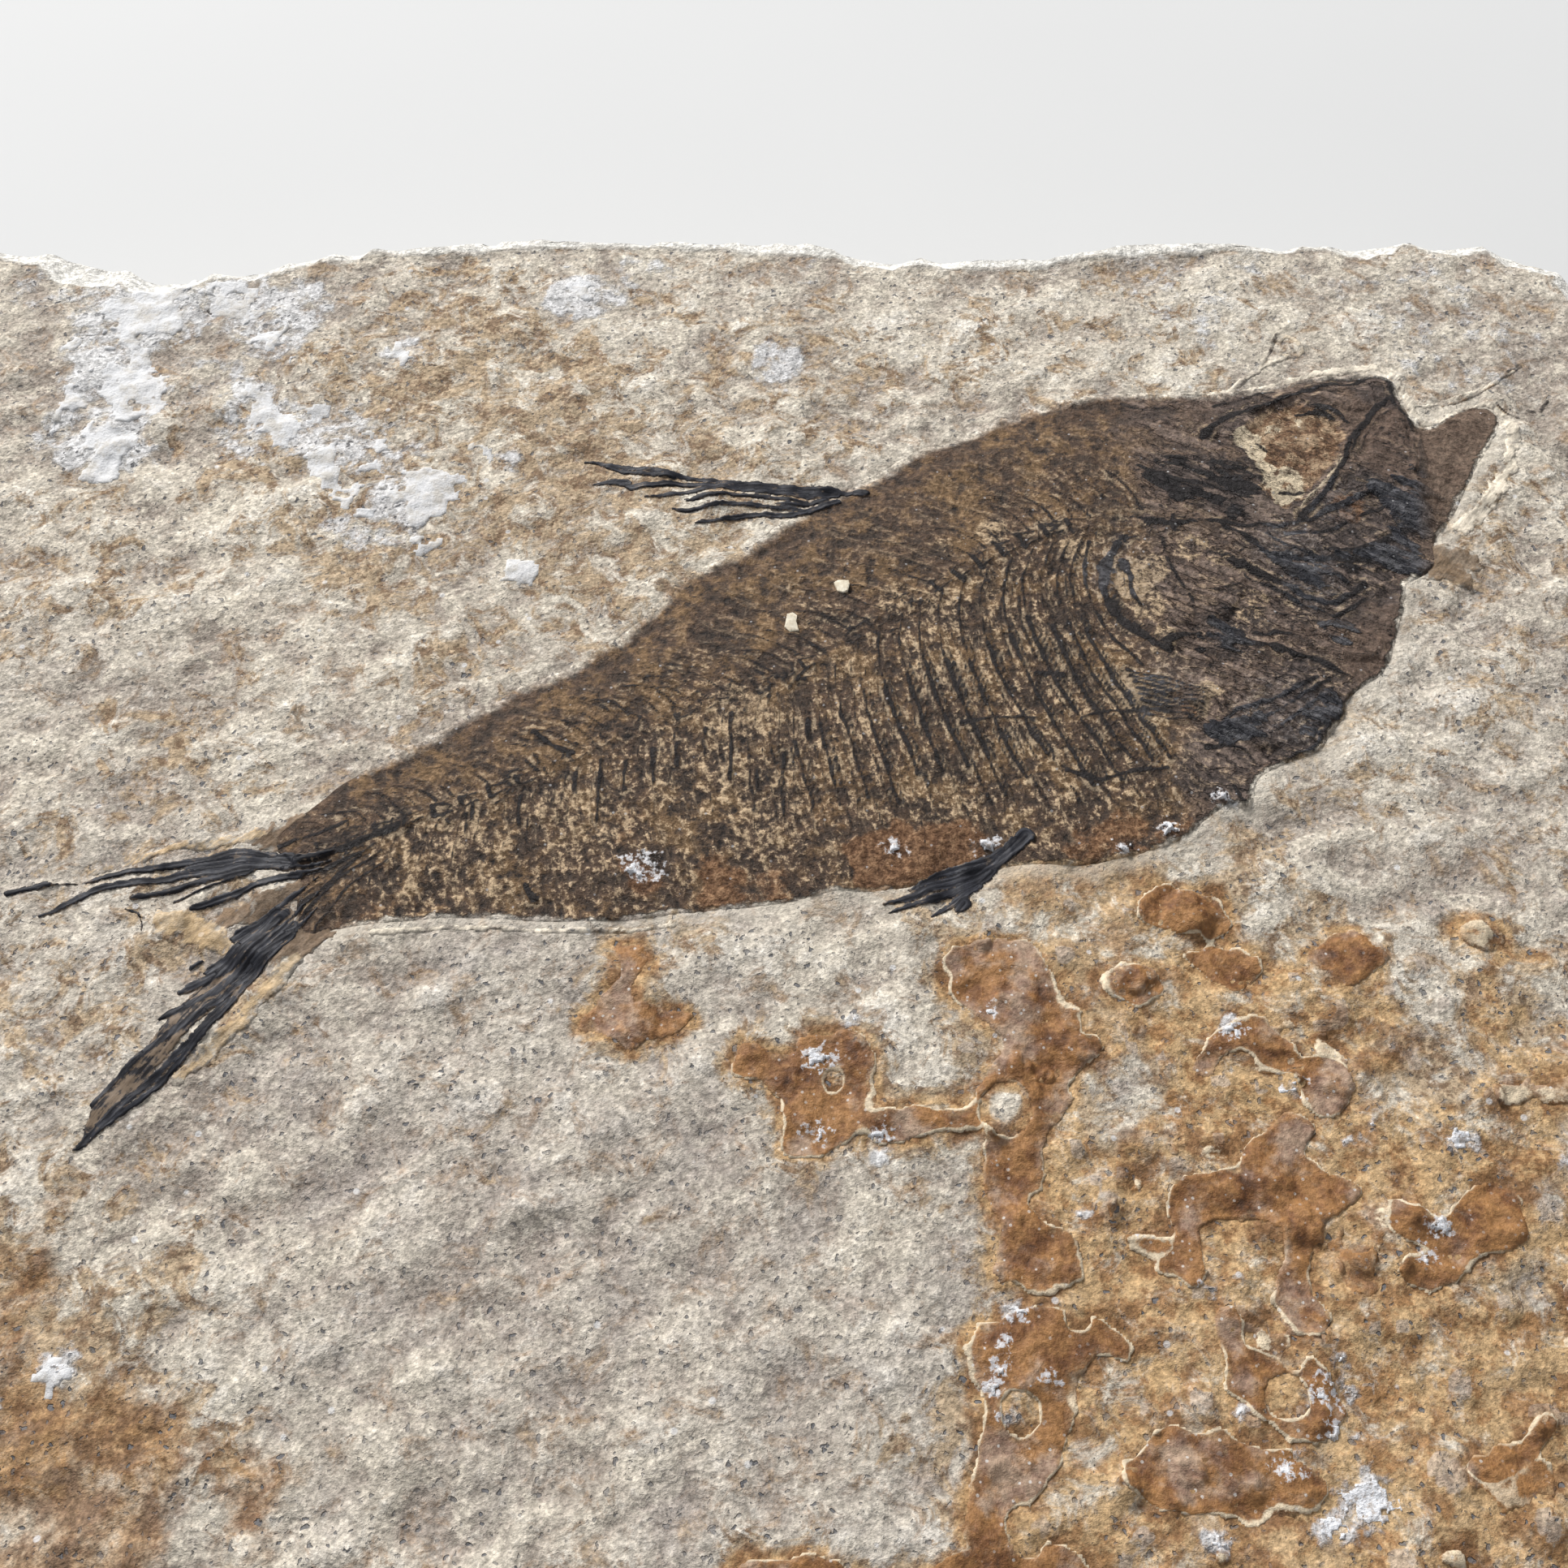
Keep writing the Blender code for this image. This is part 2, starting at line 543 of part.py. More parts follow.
def main():
    clear_scene()
    parts = new_collection("fossil_fish_slab")
    cutters = new_collection("cutters")
    stone = material("limestone", 0.9)
    bone = material("fossil_brown", 0.6)
    black = material("fossil_black", 0.5)
    pale = material("pale_chip", 0.8)

    outline = body_outline()
    body = fish_body(parts, bone)
    fins = (
        ("dorsal_fin", DORSAL_FIN),
        ("tail_fin_upper_lobe", UPPER_TAIL_LOBE),
        ("tail_fin_lower_lobe", LOWER_TAIL_LOBE),
        ("pelvic_fin", PELVIC_FIN),
    )
    ray_lines = [[Vector(p) for p in line] for _, lines in fins for line in lines]
    matrix = slab(parts, stone, [outline + outline[:1], *ray_lines])
    add_crust(matrix, cutters)

    pocket = outline_block(
        "fish_bed", grown_outline(outline, CLEARANCE), POCKET_FLOOR, SLAB_THICKNESS + 0.005, cutters
    )
    hide_cutter(pocket)
    boolean(matrix, "DIFFERENCE", pocket, SLIVER_SOLVER)
    for name, lines in fins:
        for bed in fin(name, lines, parts, cutters, black):
            boolean(matrix, "DIFFERENCE", bed, SLIVER_SOLVER)
            if name == "pelvic_fin":
                boolean(body, "DIFFERENCE", bed)
    for name, middle, size, turn in CHIPS:
        chip(name, middle, size, turn, parts, pale)


main()
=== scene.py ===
# A fossil fish pressed on a split slab of limestone: the finish of every surface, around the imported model.
import json
import math

import bmesh
import bpy
import numpy as np
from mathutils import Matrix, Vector

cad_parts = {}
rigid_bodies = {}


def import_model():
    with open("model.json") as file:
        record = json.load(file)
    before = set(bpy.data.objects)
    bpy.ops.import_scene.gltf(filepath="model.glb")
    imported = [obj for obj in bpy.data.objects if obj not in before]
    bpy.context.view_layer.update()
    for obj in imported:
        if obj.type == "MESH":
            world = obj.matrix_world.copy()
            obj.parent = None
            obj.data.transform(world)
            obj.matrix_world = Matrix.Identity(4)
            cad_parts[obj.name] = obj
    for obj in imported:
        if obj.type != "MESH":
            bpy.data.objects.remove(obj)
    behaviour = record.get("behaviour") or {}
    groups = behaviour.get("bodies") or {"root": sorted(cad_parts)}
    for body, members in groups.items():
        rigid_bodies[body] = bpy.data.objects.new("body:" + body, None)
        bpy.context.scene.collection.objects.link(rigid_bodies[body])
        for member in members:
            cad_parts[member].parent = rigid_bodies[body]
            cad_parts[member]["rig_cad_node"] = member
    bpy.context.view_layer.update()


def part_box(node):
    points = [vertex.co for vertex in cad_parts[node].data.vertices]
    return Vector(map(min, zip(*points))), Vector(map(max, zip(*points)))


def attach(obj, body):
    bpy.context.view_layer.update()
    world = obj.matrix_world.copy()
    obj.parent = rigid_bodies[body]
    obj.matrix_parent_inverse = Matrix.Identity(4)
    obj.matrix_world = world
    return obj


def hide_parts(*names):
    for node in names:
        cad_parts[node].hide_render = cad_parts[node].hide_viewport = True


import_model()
mm = 0.001
slabTop = 12.0  # the bedding face above the underside, mm


# small tools for shapes, all in millimetres seen from above
def blendStep(value, low, high):
    t = np.clip((value - low) / (high - low), 0.0, 1.0)
    return t * t * (3.0 - 2.0 * t)


def softNoise(x, y, size, seed):  # a smooth random field from -1 to 1 with features of this size
    lattice = np.random.default_rng(seed).uniform(-1.0, 1.0, (128, 128))
    u, v = x / size + 500.0, y / size + 500.0
    i, j = np.floor(u).astype(int), np.floor(v).astype(int)
    s, t = u - i, v - j
    s, t = s * s * s * (s * (6 * s - 15) + 10), t * t * t * (t * (6 * t - 15) + 10)
    i, j, nextI, nextJ = i % 128, j % 128, (i + 1) % 128, (j + 1) % 128
    low = lattice[i, j] * (1 - s) + lattice[nextI, j] * s
    high = lattice[i, nextJ] * (1 - s) + lattice[nextI, nextJ] * s
    return low * (1 - t) + high * t


def roughNoise(x, y, size, seed, octaves=4, gain=0.5):
    total, weight = 0.0, 1.0
    for octave in range(octaves):
        total = total + weight * softNoise(x, y, size / 2 ** octave, seed + octave)
        weight *= gain
    return total


def turned(x, y, degrees):
    c, s = math.cos(math.radians(degrees)), math.sin(math.radians(degrees))
    return x * c + y * s, y * c - x * s


def smoothLine(points, perSpan=4, closed=False):  # a Catmull-Rom curve through given points
    p = np.array(points, float)
    count = len(p)
    spans = count if closed else count - 1
    made = []
    for k in range(spans):
        if closed:
            a, b, c, d = p[k - 1], p[k], p[(k + 1) % count], p[(k + 2) % count]
        else:
            a, b, c, d = p[max(k - 1, 0)], p[k], p[k + 1], p[min(k + 2, count - 1)]
        for t in np.arange(perSpan) / perSpan:
            made.append(0.5 * (2 * b + (c - a) * t + (2 * a - 5 * b + 4 * c - d) * t ** 2
                               + (3 * b - a - 3 * c + d) * t ** 3))
    if not closed:
        made.append(p[-1])
    return np.array(made)


def lineDistance(x, y, line):  # distance to a line, and the share of its length where it is nearest
    steps = np.linalg.norm(np.diff(line, axis=0), axis=1)
    starts = np.concatenate([[0.0], np.cumsum(steps)])
    nearest, place = np.full(x.shape, 1e9), np.zeros(x.shape)
    for k in range(len(line) - 1):
        (ax, ay), (bx, by) = line[k], line[k + 1]
        dx, dy = bx - ax, by - ay
        t = np.clip(((x - ax) * dx + (y - ay) * dy) / max(dx * dx + dy * dy, 1e-9), 0.0, 1.0)
        d = np.hypot(x - ax - t * dx, y - ay - t * dy)
        closer = d < nearest
        nearest = np.where(closer, d, nearest)
        place = np.where(closer, (starts[k] + t * steps[k]) / starts[-1], place)
    return nearest, place


def insideDistance(x, y, outline):  # distance to a closed outline, positive inside it
    ring = np.vstack([outline, outline[:1]])
    nearest = lineDistance(x, y, ring)[0]
    inside = np.zeros(x.shape, bool)
    for (ax, ay), (bx, by) in zip(ring[:-1], ring[1:]):
        if ay != by:
            crosses = ((ay > y) != (by > y)) & (x < (bx - ax) * (y - ay) / (by - ay) + ax)
            inside ^= crosses
    return np.where(inside, nearest, -nearest)


def near(x, y, points, margin):  # which places lie in the box round these points
    low, high = np.min(points, axis=0) - margin, np.max(points, axis=0) + margin
    return (x > low[0]) & (x < high[0]) & (y > low[1]) & (y < high[1])


def blots(x, y, places, seed, ragged=0.35):  # soft blots (x, y, radius, strength) with torn edges
    total = np.zeros(x.shape)
    tear = roughNoise(x, y, 6.0, seed, 4)
    for bx, by, radius, strength in places:
        reach = np.hypot(x - bx, y - by) / radius + ragged * tear
        total = np.maximum(total, strength * (1 - blendStep(reach, 0.45, 1.15)))
    return total


def takeOver(here, value, field, *companions):  # the higher value wins, with what goes along
    better = value > field[here]
    for kept, new in ((field, value), *companions):
        kept[here] = np.where(better, new, kept[here])


def newMesh(name, points, faces, attributes):
    mesh = bpy.data.meshes.new(name)
    mesh.from_pydata((np.asarray(points) * mm).tolist(), [], faces)
    for attribute, values in attributes.items():
        layer = mesh.attributes.new(attribute, "FLOAT", "POINT")
        layer.data.foreach_set("value", np.asarray(values, np.float32))
    mesh.update()
    mesh.validate()
    piece = bpy.data.objects.new(name, mesh)
    bpy.context.scene.collection.objects.link(piece)
    return piece


def finishPiece(piece, material, slot, *nodes, sharpAngle=None):
    mesh = piece.data
    mesh.materials.append(material)
    mesh.shade_smooth()
    if sharpAngle:
        mesh.set_sharp_from_angle(angle=math.radians(sharpAngle))
    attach(piece, "root")
    if nodes:
        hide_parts(*nodes)
    return piece


def reliefPiece(name, x0, x1, y0, y1, pitch, keepField, topHeight, floorHeight, attributes, oneFloor=False):
    # a thin closed skin where keepField is above 0, with its top and underside as heights;
    # a piece with no holes may have its flat underside as one face
    xs = np.arange(x0, x1 + pitch / 2, pitch)
    ys = np.arange(y0, y1 + pitch / 2, pitch)
    x, y = (grid.ravel() for grid in np.meshgrid(xs, ys, indexing="ij"))
    keep = (keepField(x, y) > 0).reshape(len(xs), len(ys))
    cells = keep[:-1, :-1] & keep[1:, :-1] & keep[:-1, 1:] & keep[1:, 1:]
    while True:  # cells that only touch at a corner are joined
        slash = cells[:-1, :-1] & cells[1:, 1:] & ~cells[1:, :-1] & ~cells[:-1, 1:]
        back = cells[1:, :-1] & cells[:-1, 1:] & ~cells[:-1, :-1] & ~cells[1:, 1:]
        if not (slash.any() or back.any()):
            break
        cells[1:, :-1] |= slash
        cells[:-1, :-1] |= back
    ci, cj = np.nonzero(cells)
    number = np.arange(len(xs) * len(ys)).reshape(len(xs), len(ys))
    quads = np.stack([number[ci, cj], number[ci + 1, cj], number[ci + 1, cj + 1], number[ci, cj + 1]], 1)
    used, flat = np.unique(quads, return_inverse=True)
    quads = flat.reshape(-1, 4)
    x, y = x[used], y[used]
    count = len(used)
    edges = set()
    for a, b in np.concatenate([quads[:, [k, (k + 1) % 4]] for k in range(4)]).tolist():
        if (b, a) in edges:
            edges.remove((b, a))
        else:
            edges.add((a, b))
    onRim = np.zeros(count, bool)
    edges = sorted(edges)
    onRim[[a for a, b in edges]] = True
    values = attributes(x, y)
    top = np.stack([x, y, topHeight(x, y, onRim)], 1)
    under = np.stack([x, y, floorHeight(x, y)], 1)
    lower = np.arange(count) + count
    if oneFloor:
        loop = [min(edges)[0]]
        following = dict(edges)
        while following[loop[-1]] != loop[0]:
            loop.append(following[loop[-1]])
        lower = np.full(count, -1)
        lower[loop] = count + np.arange(len(loop))
        under = under[loop]
        values = {key: np.concatenate([value, value[loop]]) for key, value in values.items()}
        floor = [[int(lower[a]) for a in loop[::-1]]]
    else:
        values = {key: np.concatenate([value, value]) for key, value in values.items()}
        floor = (quads[:, ::-1] + count).tolist()
    walls = [[b, a, int(lower[a]), int(lower[b])] for a, b in edges]
    return newMesh(name, np.vstack([top, under]), quads.tolist() + floor + walls, values)


# the slab's outline and its relief
slabShape = {
    "halfWidth": 80.0,
    "halfDepth": 62.0,
    "columns": 260,  # quads along the top, an even number
    "rows": 202,
    "chipping": 0.9,  # how far the top's rim is broken back
    "farEdge": [(-79, 59), (-76, 61.0), (-70, 61), (-66, 59.8), (-62, 58.7), (-57, 58), (-50, 59),
                (-45, 60.2), (-40, 61), (-35, 61.2), (-30, 62), (-24, 62.6), (-17, 62.2), (-10, 61.9),
                (0, 62), (3, 61.9), (8, 60.5), (11, 59.7), (14, 60.1), (20, 59.9), (25, 60.2),
                (29, 60.7), (33, 61.7), (38, 62), (48, 61.8), (55, 62.1), (62, 62.2), (66, 62),
                (70, 61), (73.5, 58.6), (76.5, 54.5)],
    "rightEdge": [(71.5, -59.5), (75.5, -53), (77.5, -43), (78.5, -31), (77.8, -20), (79.2, -7),
                  (78.5, 6), (79.8, 18), (79.2, 30), (80, 40), (78.8, 48), (76.5, 54.5)],
    "nearEdge": [(-76, -56.5), (-70, -60), (-58, -61.2), (-44, -60.3), (-30, -61.6), (-14, -61),
                 (0, -62), (15, -60.9), (30, -61.7), (45, -60.6), (60, -61.2), (71.5, -59.5)],
    "leftEdge": [(-76, -56.5), (-78.5, -47), (-79.2, -35), (-78, -23), (-79.6, -10), (-80, 4),
                 (-78.8, 18), (-79.7, 32), (-78.3, 45), (-79, 59)],
}
fishOutline = smoothLine([
    (-36.6, -7.2), (-38.4, -5.0), (-36, -2.4), (-34, -0.2), (-32, 1.5), (-30, 2.6), (-26, 5.5), (-22, 8.5),
    (-18, 10.5), (-14, 13.4), (-12, 15.5), (-10, 18), (-8, 20.5), (-4, 22.6), (0, 26), (4, 29.3),
    (7.5, 31), (11, 33.9), (15, 35.9), (19, 38), (22, 39.2), (26, 40.4), (29, 41.2), (32, 41.5),
    (35, 41.2), (38, 41.3), (41, 41.9), (44, 42.4), (47, 43.2), (50, 43.8), (52.3, 44), (54.2, 43.4),
    (55, 42.2), (55.1, 40.8), (55.4, 39.2), (56, 37.6), (57.2, 37.2), (58.7, 38), (60.3, 39.2),
    (61.8, 39.8), (63, 39.5), (63.5, 38.4), (62.8, 36.5), (61.5, 34.5), (60.2, 32.6), (58.6, 29.8),
    (57.3, 27.5), (56.2, 26), (55.2, 24.8), (54.6, 23.4), (54.4, 21.8), (53.4, 20.7), (51.6, 19.6),
    (51, 17.4), (50.2, 15.5), (49.6, 13.8), (48.8, 12), (47.8, 10.4), (46, 9.2), (44.6, 7.8),
    (44, 6.2), (42.8, 4.8), (41.4, 3), (38.5, 1.9), (36.2, 0.2), (35.4, -2.1), (33.8, -1.8),
    (31.5, -3.5), (29.5, -5.2), (26, -6.3), (22, -7.1), (17, -7.2), (12, -8), (8, -9), (4, -9.2),
    (0, -10.2), (-5, -10.7), (-10, -11.3), (-15, -11.8), (-20, -11.6), (-25, -11.4), (-30, -12),
    (-33, -12.4), (-34.9, -12.9), (-35.7, -11.2), (-35.8, -9.0)], 3, closed=True)
# the tail root and the back, where the fish's stain fades into the stone
backLine = np.vstack([[(-35.2, -12.2), (-35.7, -9.2)], fishOutline[3:90]])


def alongLine(points, share):
    p = np.array(points, float)
    lengths = np.concatenate([[0.0], np.cumsum(np.linalg.norm(np.diff(p, axis=0), axis=1))])
    at = np.asarray(share) * lengths[-1]
    return np.stack([np.interp(at, lengths, p[:, 0]), np.interp(at, lengths, p[:, 1])], -1)


def slabPlan(u, v):  # lays the unit square between the four broken edges
    sides = slabShape
    near, far = alongLine(sides["nearEdge"], u), alongLine(sides["farEdge"], u)
    left, right = alongLine(sides["leftEdge"], v), alongLine(sides["rightEdge"], v)
    u, v = u[..., None], v[..., None]
    a, b = np.array(sides["nearEdge"][0]), np.array(sides["nearEdge"][-1])
    c, d = np.array(sides["farEdge"][0]), np.array(sides["farEdge"][-1])
    corners = (1 - u) * (1 - v) * a + u * (1 - v) * b + (1 - u) * v * c + u * v * d
    return (1 - v) * near + v * far + (1 - u) * left + u * right - corners


nodules = [  # low round lumps on the face: (x, y, radius, height)
    (29.8, -11.2, 2.3, 0.45), (25, -16.6, 1.4, 0.4), (20.2, -14.6, 1.5, 0.25), (24.4, -21.8, 1.2, 0.3),
    (21.7, -32.5, 1.1, 0.4), (21.2, -25.3, 0.7, 0.25), (24.6, -28.6, 1.3, 0.3), (19.9, -29.4, 1.0, 0.25),
    (42.6, -44.6, 1.6, 0.45), (37.8, -36.6, 1.3, 0.35), (39.6, -41, 1.1, 0.35), (46.4, -39.6, 1.3, 0.4),
    (50.8, -33.4, 1.8, 0.35), (52.6, -45, 1.5, 0.35), (26, -45.6, 1.5, 0.35), (40.6, -49.8, 2.2, 0.35),
    (47.2, -46.4, 1.4, 0.3), (36.8, -55, 1.8, 0.35), (30, -56, 1.5, 0.3), (22, -56.4, 1.4, 0.3),
    (57, -50, 1.6, 0.3), (44, -22.6, 1.4, 0.25), (48.6, -25.6, 1.2, 0.3), (38, -20.2, 1.2, 0.25),
    (60, -41, 1.7, 0.3), (8.6, -50.2, 1.3, 0.2), (4.2, -40, 1.5, 0.2), (46, -52.8, 1.7, 0.35)]
scatter = np.random.default_rng(41)
pimples = [(scatter.uniform(12, 64), scatter.uniform(-59, -10), scatter.uniform(0.6, 1.3),
            scatter.uniform(0.14, 0.36)) for _ in range(120)]


# heights in mm, and the bearing of the stone's streaks in degrees
faceRelief = {"swell": 0.20, "lumps": 0.52, "streaks": 0.03, "bearing": 20}


def lumpField(x, y):  # the crests and hollows of the face, about -1 to 1; the stone's colour follows them as painted light and shade
    lx, ly = turned(x, y, faceRelief["bearing"])
    lumps = roughNoise(lx / 1.15, ly, 4.2, 21, 3, 0.5)
    fine = roughNoise(lx / 1.1, ly, 2.1, 27, 2, 0.5)
    return 0.62 * lumps + 0.46 * fine


def stoneRelief(x, y):  # the split face above or below its mean, mm
    swell = faceRelief["swell"] * roughNoise(x, y, 26.0, 11, 2)
    lx, ly = turned(x, y, faceRelief["bearing"])
    streaks = faceRelief["streaks"] * roughNoise(lx / 1.6, ly, 1.3, 31, 2, 0.6)
    calm = 0.60 + 0.40 * blendStep(softNoise(x, y, 30.0, 51), -0.4, 0.4)
    calm *= 1 - 0.40 * blendStep(y, 36, 52)
    face = swell + faceRelief["lumps"] * calm * lumpField(x, y) + streaks
    for nx, ny, radius, height in nodules + pimples:
        here = near(x, y, [(nx, ny)], radius * 1.3)
        reach = np.hypot(x[here] - nx, y[here] - ny) / radius + 0.12 * softNoise(x[here], y[here], 1.2, 57)
        face[here] += height * blendStep(1 - reach, 0.0, 0.45)
    return face


def rimFlakes(x, y):  # scoops broken out of the top's rim: how deep the stone is cut there
    rng = np.random.default_rng(5)
    flakes = [(-66, 61.5, 6.5, 1.7), (-59, 60.5, 6.0, 2.1), (-52, 61.5, 5.0, 1.4), (-46, 62.5, 4.0, 1.0),
              (-72, 63, 4.5, 1.2), (9, 62.5, 4.6, 1.2), (16, 62.2, 3.6, 0.9), (24, 62.6, 3.2, 0.8),
              (47, 64, 4.2, 1.1), (56, 64.5, 5.0, 1.3), (64, 64.2, 4.6, 1.3), (72.5, 62.5, 5.5, 1.7),
              (77.5, 56, 4.5, 1.3)]
    for k in range(46):
        place = alongLine(slabShape[("nearEdge", "rightEdge", "leftEdge")[k % 3]], rng.random())
        flakes.append((*(place * rng.uniform(1.0, 1.02)), rng.uniform(1.8, 5.2), rng.uniform(0.5, 1.8)))
    for k in range(18):
        place = alongLine(slabShape["farEdge"], rng.random())
        flakes.append((place[0], place[1] + 0.6, rng.uniform(1.2, 2.6), rng.uniform(0.3, 0.8)))
    depth = np.zeros(x.shape)
    wobble = 0.25 * roughNoise(x, y, 2.6, 61, 3)
    for fx, fy, radius, cut in flakes:
        reach = np.hypot(x - fx, y - fy) / radius + 0.35 * wobble
        ripple = 0.035 * np.sin(reach * 15) * (reach < 1)
        depth = np.maximum(depth, (cut + ripple) * np.clip(1 - reach ** 2, 0, 1) ** 0.8)
    return depth


def faceHeight(x, y):  # the fossil's face, without anything that lies on it
    return slabTop + stoneRelief(x, y) - rimFlakes(x, y)


fishSeat = 0.5  # how far the stone is let in under the fish, mm

stoneStains = {
    "ochre": [(-22, 36, 21, 0.75), (-34, 25, 14, 0.72), (-12, 26, 12, 0.75), (-4, 44, 12, 0.55),
              (-44, 30, 11, 0.60), (-30, 50, 11, 0.55), (-40, 42, 9, 0.55), (-14, 17, 9, 0.62),
              (-3, 36, 9, 0.6), (6, 41, 8, 0.5), (-27, 12, 9, 0.5), (18, 46, 8, 0.35),
              (-45, 5, 10, 0.50), (-60, 20, 12, 0.48), (-52, -3, 7, 0.50), (27, -14, 15, 0.85),
              (33, -24, 16, 0.95), (44, -30, 16, 0.92), (28, -36, 17, 0.95), (40, -45, 18, 0.95),
              (22, -50, 13, 0.9), (54, -47, 16, 1.0), (-46, -30, 8, 0.4), (60, 25, 10, 0.38),
              (60, 10, 13, 0.42), (64, -7, 10, 0.45), (16, -20, 6, 0.6), (-16, 6, 6, 0.3),
              (46, 2, 9, 0.45), (32, 52, 13, 0.36), (-38, -20, 6, 0.4), (13, -9.5, 5, 0.7),
              (-8, -13, 4, 0.5), (-44, -11, 6, 0.62), (-50, -22, 7, 0.62), (-55, -16, 6, 0.56),
              (-50, -46, 16, 0.8), (-56, -34, 9, 0.6), (-37, -20, 4, 0.6), (66, -32, 12, 0.7)],
    "rust": [(-48, -50, 13, 0.95), (-54, -42, 12, 0.85), (-41, -57, 13, 0.85), (-62, -54, 18, 0.95),
             (-50, -36, 7, 0.55), (-60, -38, 9, 0.6), (12, -60, 8, 0.6), (-2, -60, 7, 0.6),
             (24, -44, 8, 0.5), (44, -38, 8, 0.5), (28, -52, 9, 0.5), (34, -30, 6, 0.5),
             (-70, -48, 12, 0.6)],
    "chalk": [(-60, 52, 8, 0.75), (-54, 56, 7, 0.7), (-48, 51, 6, 0.7), (-19, 54, 3.8, 0.75),
              (-34.6, 46.5, 2.4, 0.6), (-61, 44, 7, 0.75), (-60, 36, 6, 0.7), (-1, 45, 3.0, 0.7),
              (-24, 34, 2.5, 0.6), (-33, 29, 7, 0.65), (-46, 39, 6, 0.65), (-39, 35, 6, 0.6),
              (-52, 44, 6, 0.5), (-14, 58, 4, 0.5), (-66, 58, 8, 0.5), (-46, -43.5, 2, 0.7),
              (-50, -46, 1.5, 0.8), (73, 36, 3, 0.5), (-22, 21, 1.2, 0.6), (60, 50, 13, 0.42),
              (40, 54, 10, 0.38), (-1, 58, 6, 0.25), (50, 57, 7, 0.3), (-6, -30, 1.2, 0.6),
              (6.4, -30, 1.6, 0.7), (-27, -40, 1.5, 0.5), (54, -30.5, 1.8, 0.6)],
    "grey": [(-20, -28, 24, 0.8), (-52, -14, 18, 0.6), (2, -48, 18, 0.7), (-66, 10, 14, 0.5),
             (56, 6, 14, 0.4), (-10, -16, 12, 0.5)],
}


def stoneMasks(x, y):
    masks = {key: blots(x, y, places, 70 + 7 * k) for k, (key, places) in enumerate(stoneStains.items())}
    masks["fishEdge"] = np.clip(insideDistance(x, y, fishOutline), -6, 6)
    masks["backEdge"] = np.clip(lineDistance(x, y, backLine)[0], 0, 6)
    farLine = np.array(slabShape["farEdge"], float)
    lipDistance = lineDistance(x, y, farLine)[0] + 0.6 * softNoise(x, y, 3.0, 63)
    # a band along the far lip, painted bright as a highlight; the flake scoops near the far edge go above 1
    # and take it too
    paintedLipHighlight = 1 - blendStep(lipDistance, 0.8, 2.1)
    masks["broken"] = np.clip(rimFlakes(x, y) / 0.25, 0, 1) * (1 + 0.8 * blendStep(y, 50, 55))
    masks["broken"] = np.maximum(masks["broken"], 1.8 * paintedLipHighlight)  # above 1: a painted highlight along the far lip
    crust = crustField(x, y)[0]
    masks["rust"] = np.maximum(masks["rust"], 0.85 * blendStep(crust, -1.7, 0.3))
    for nx, ny, radius, _ in nodules + pimples:
        here = near(x, y, [(nx, ny)], radius)
        dome = blendStep(1 - np.hypot(x[here] - nx, y[here] - ny) / radius, 0.1, 0.5)
        masks["grey"][here] = np.maximum(masks["grey"][here], dome)
    masks["ochre"] = np.maximum(masks["ochre"], 0.9 * blendStep(crust, -1.8, -0.2))
    masks["chalk"] = np.maximum(masks["chalk"], 0.62 * blendStep(frostField(x, y), -0.9, 0.1))
    masks["rise"] = np.clip(lumpField(x, y), -1.5, 1.5)
    return masks


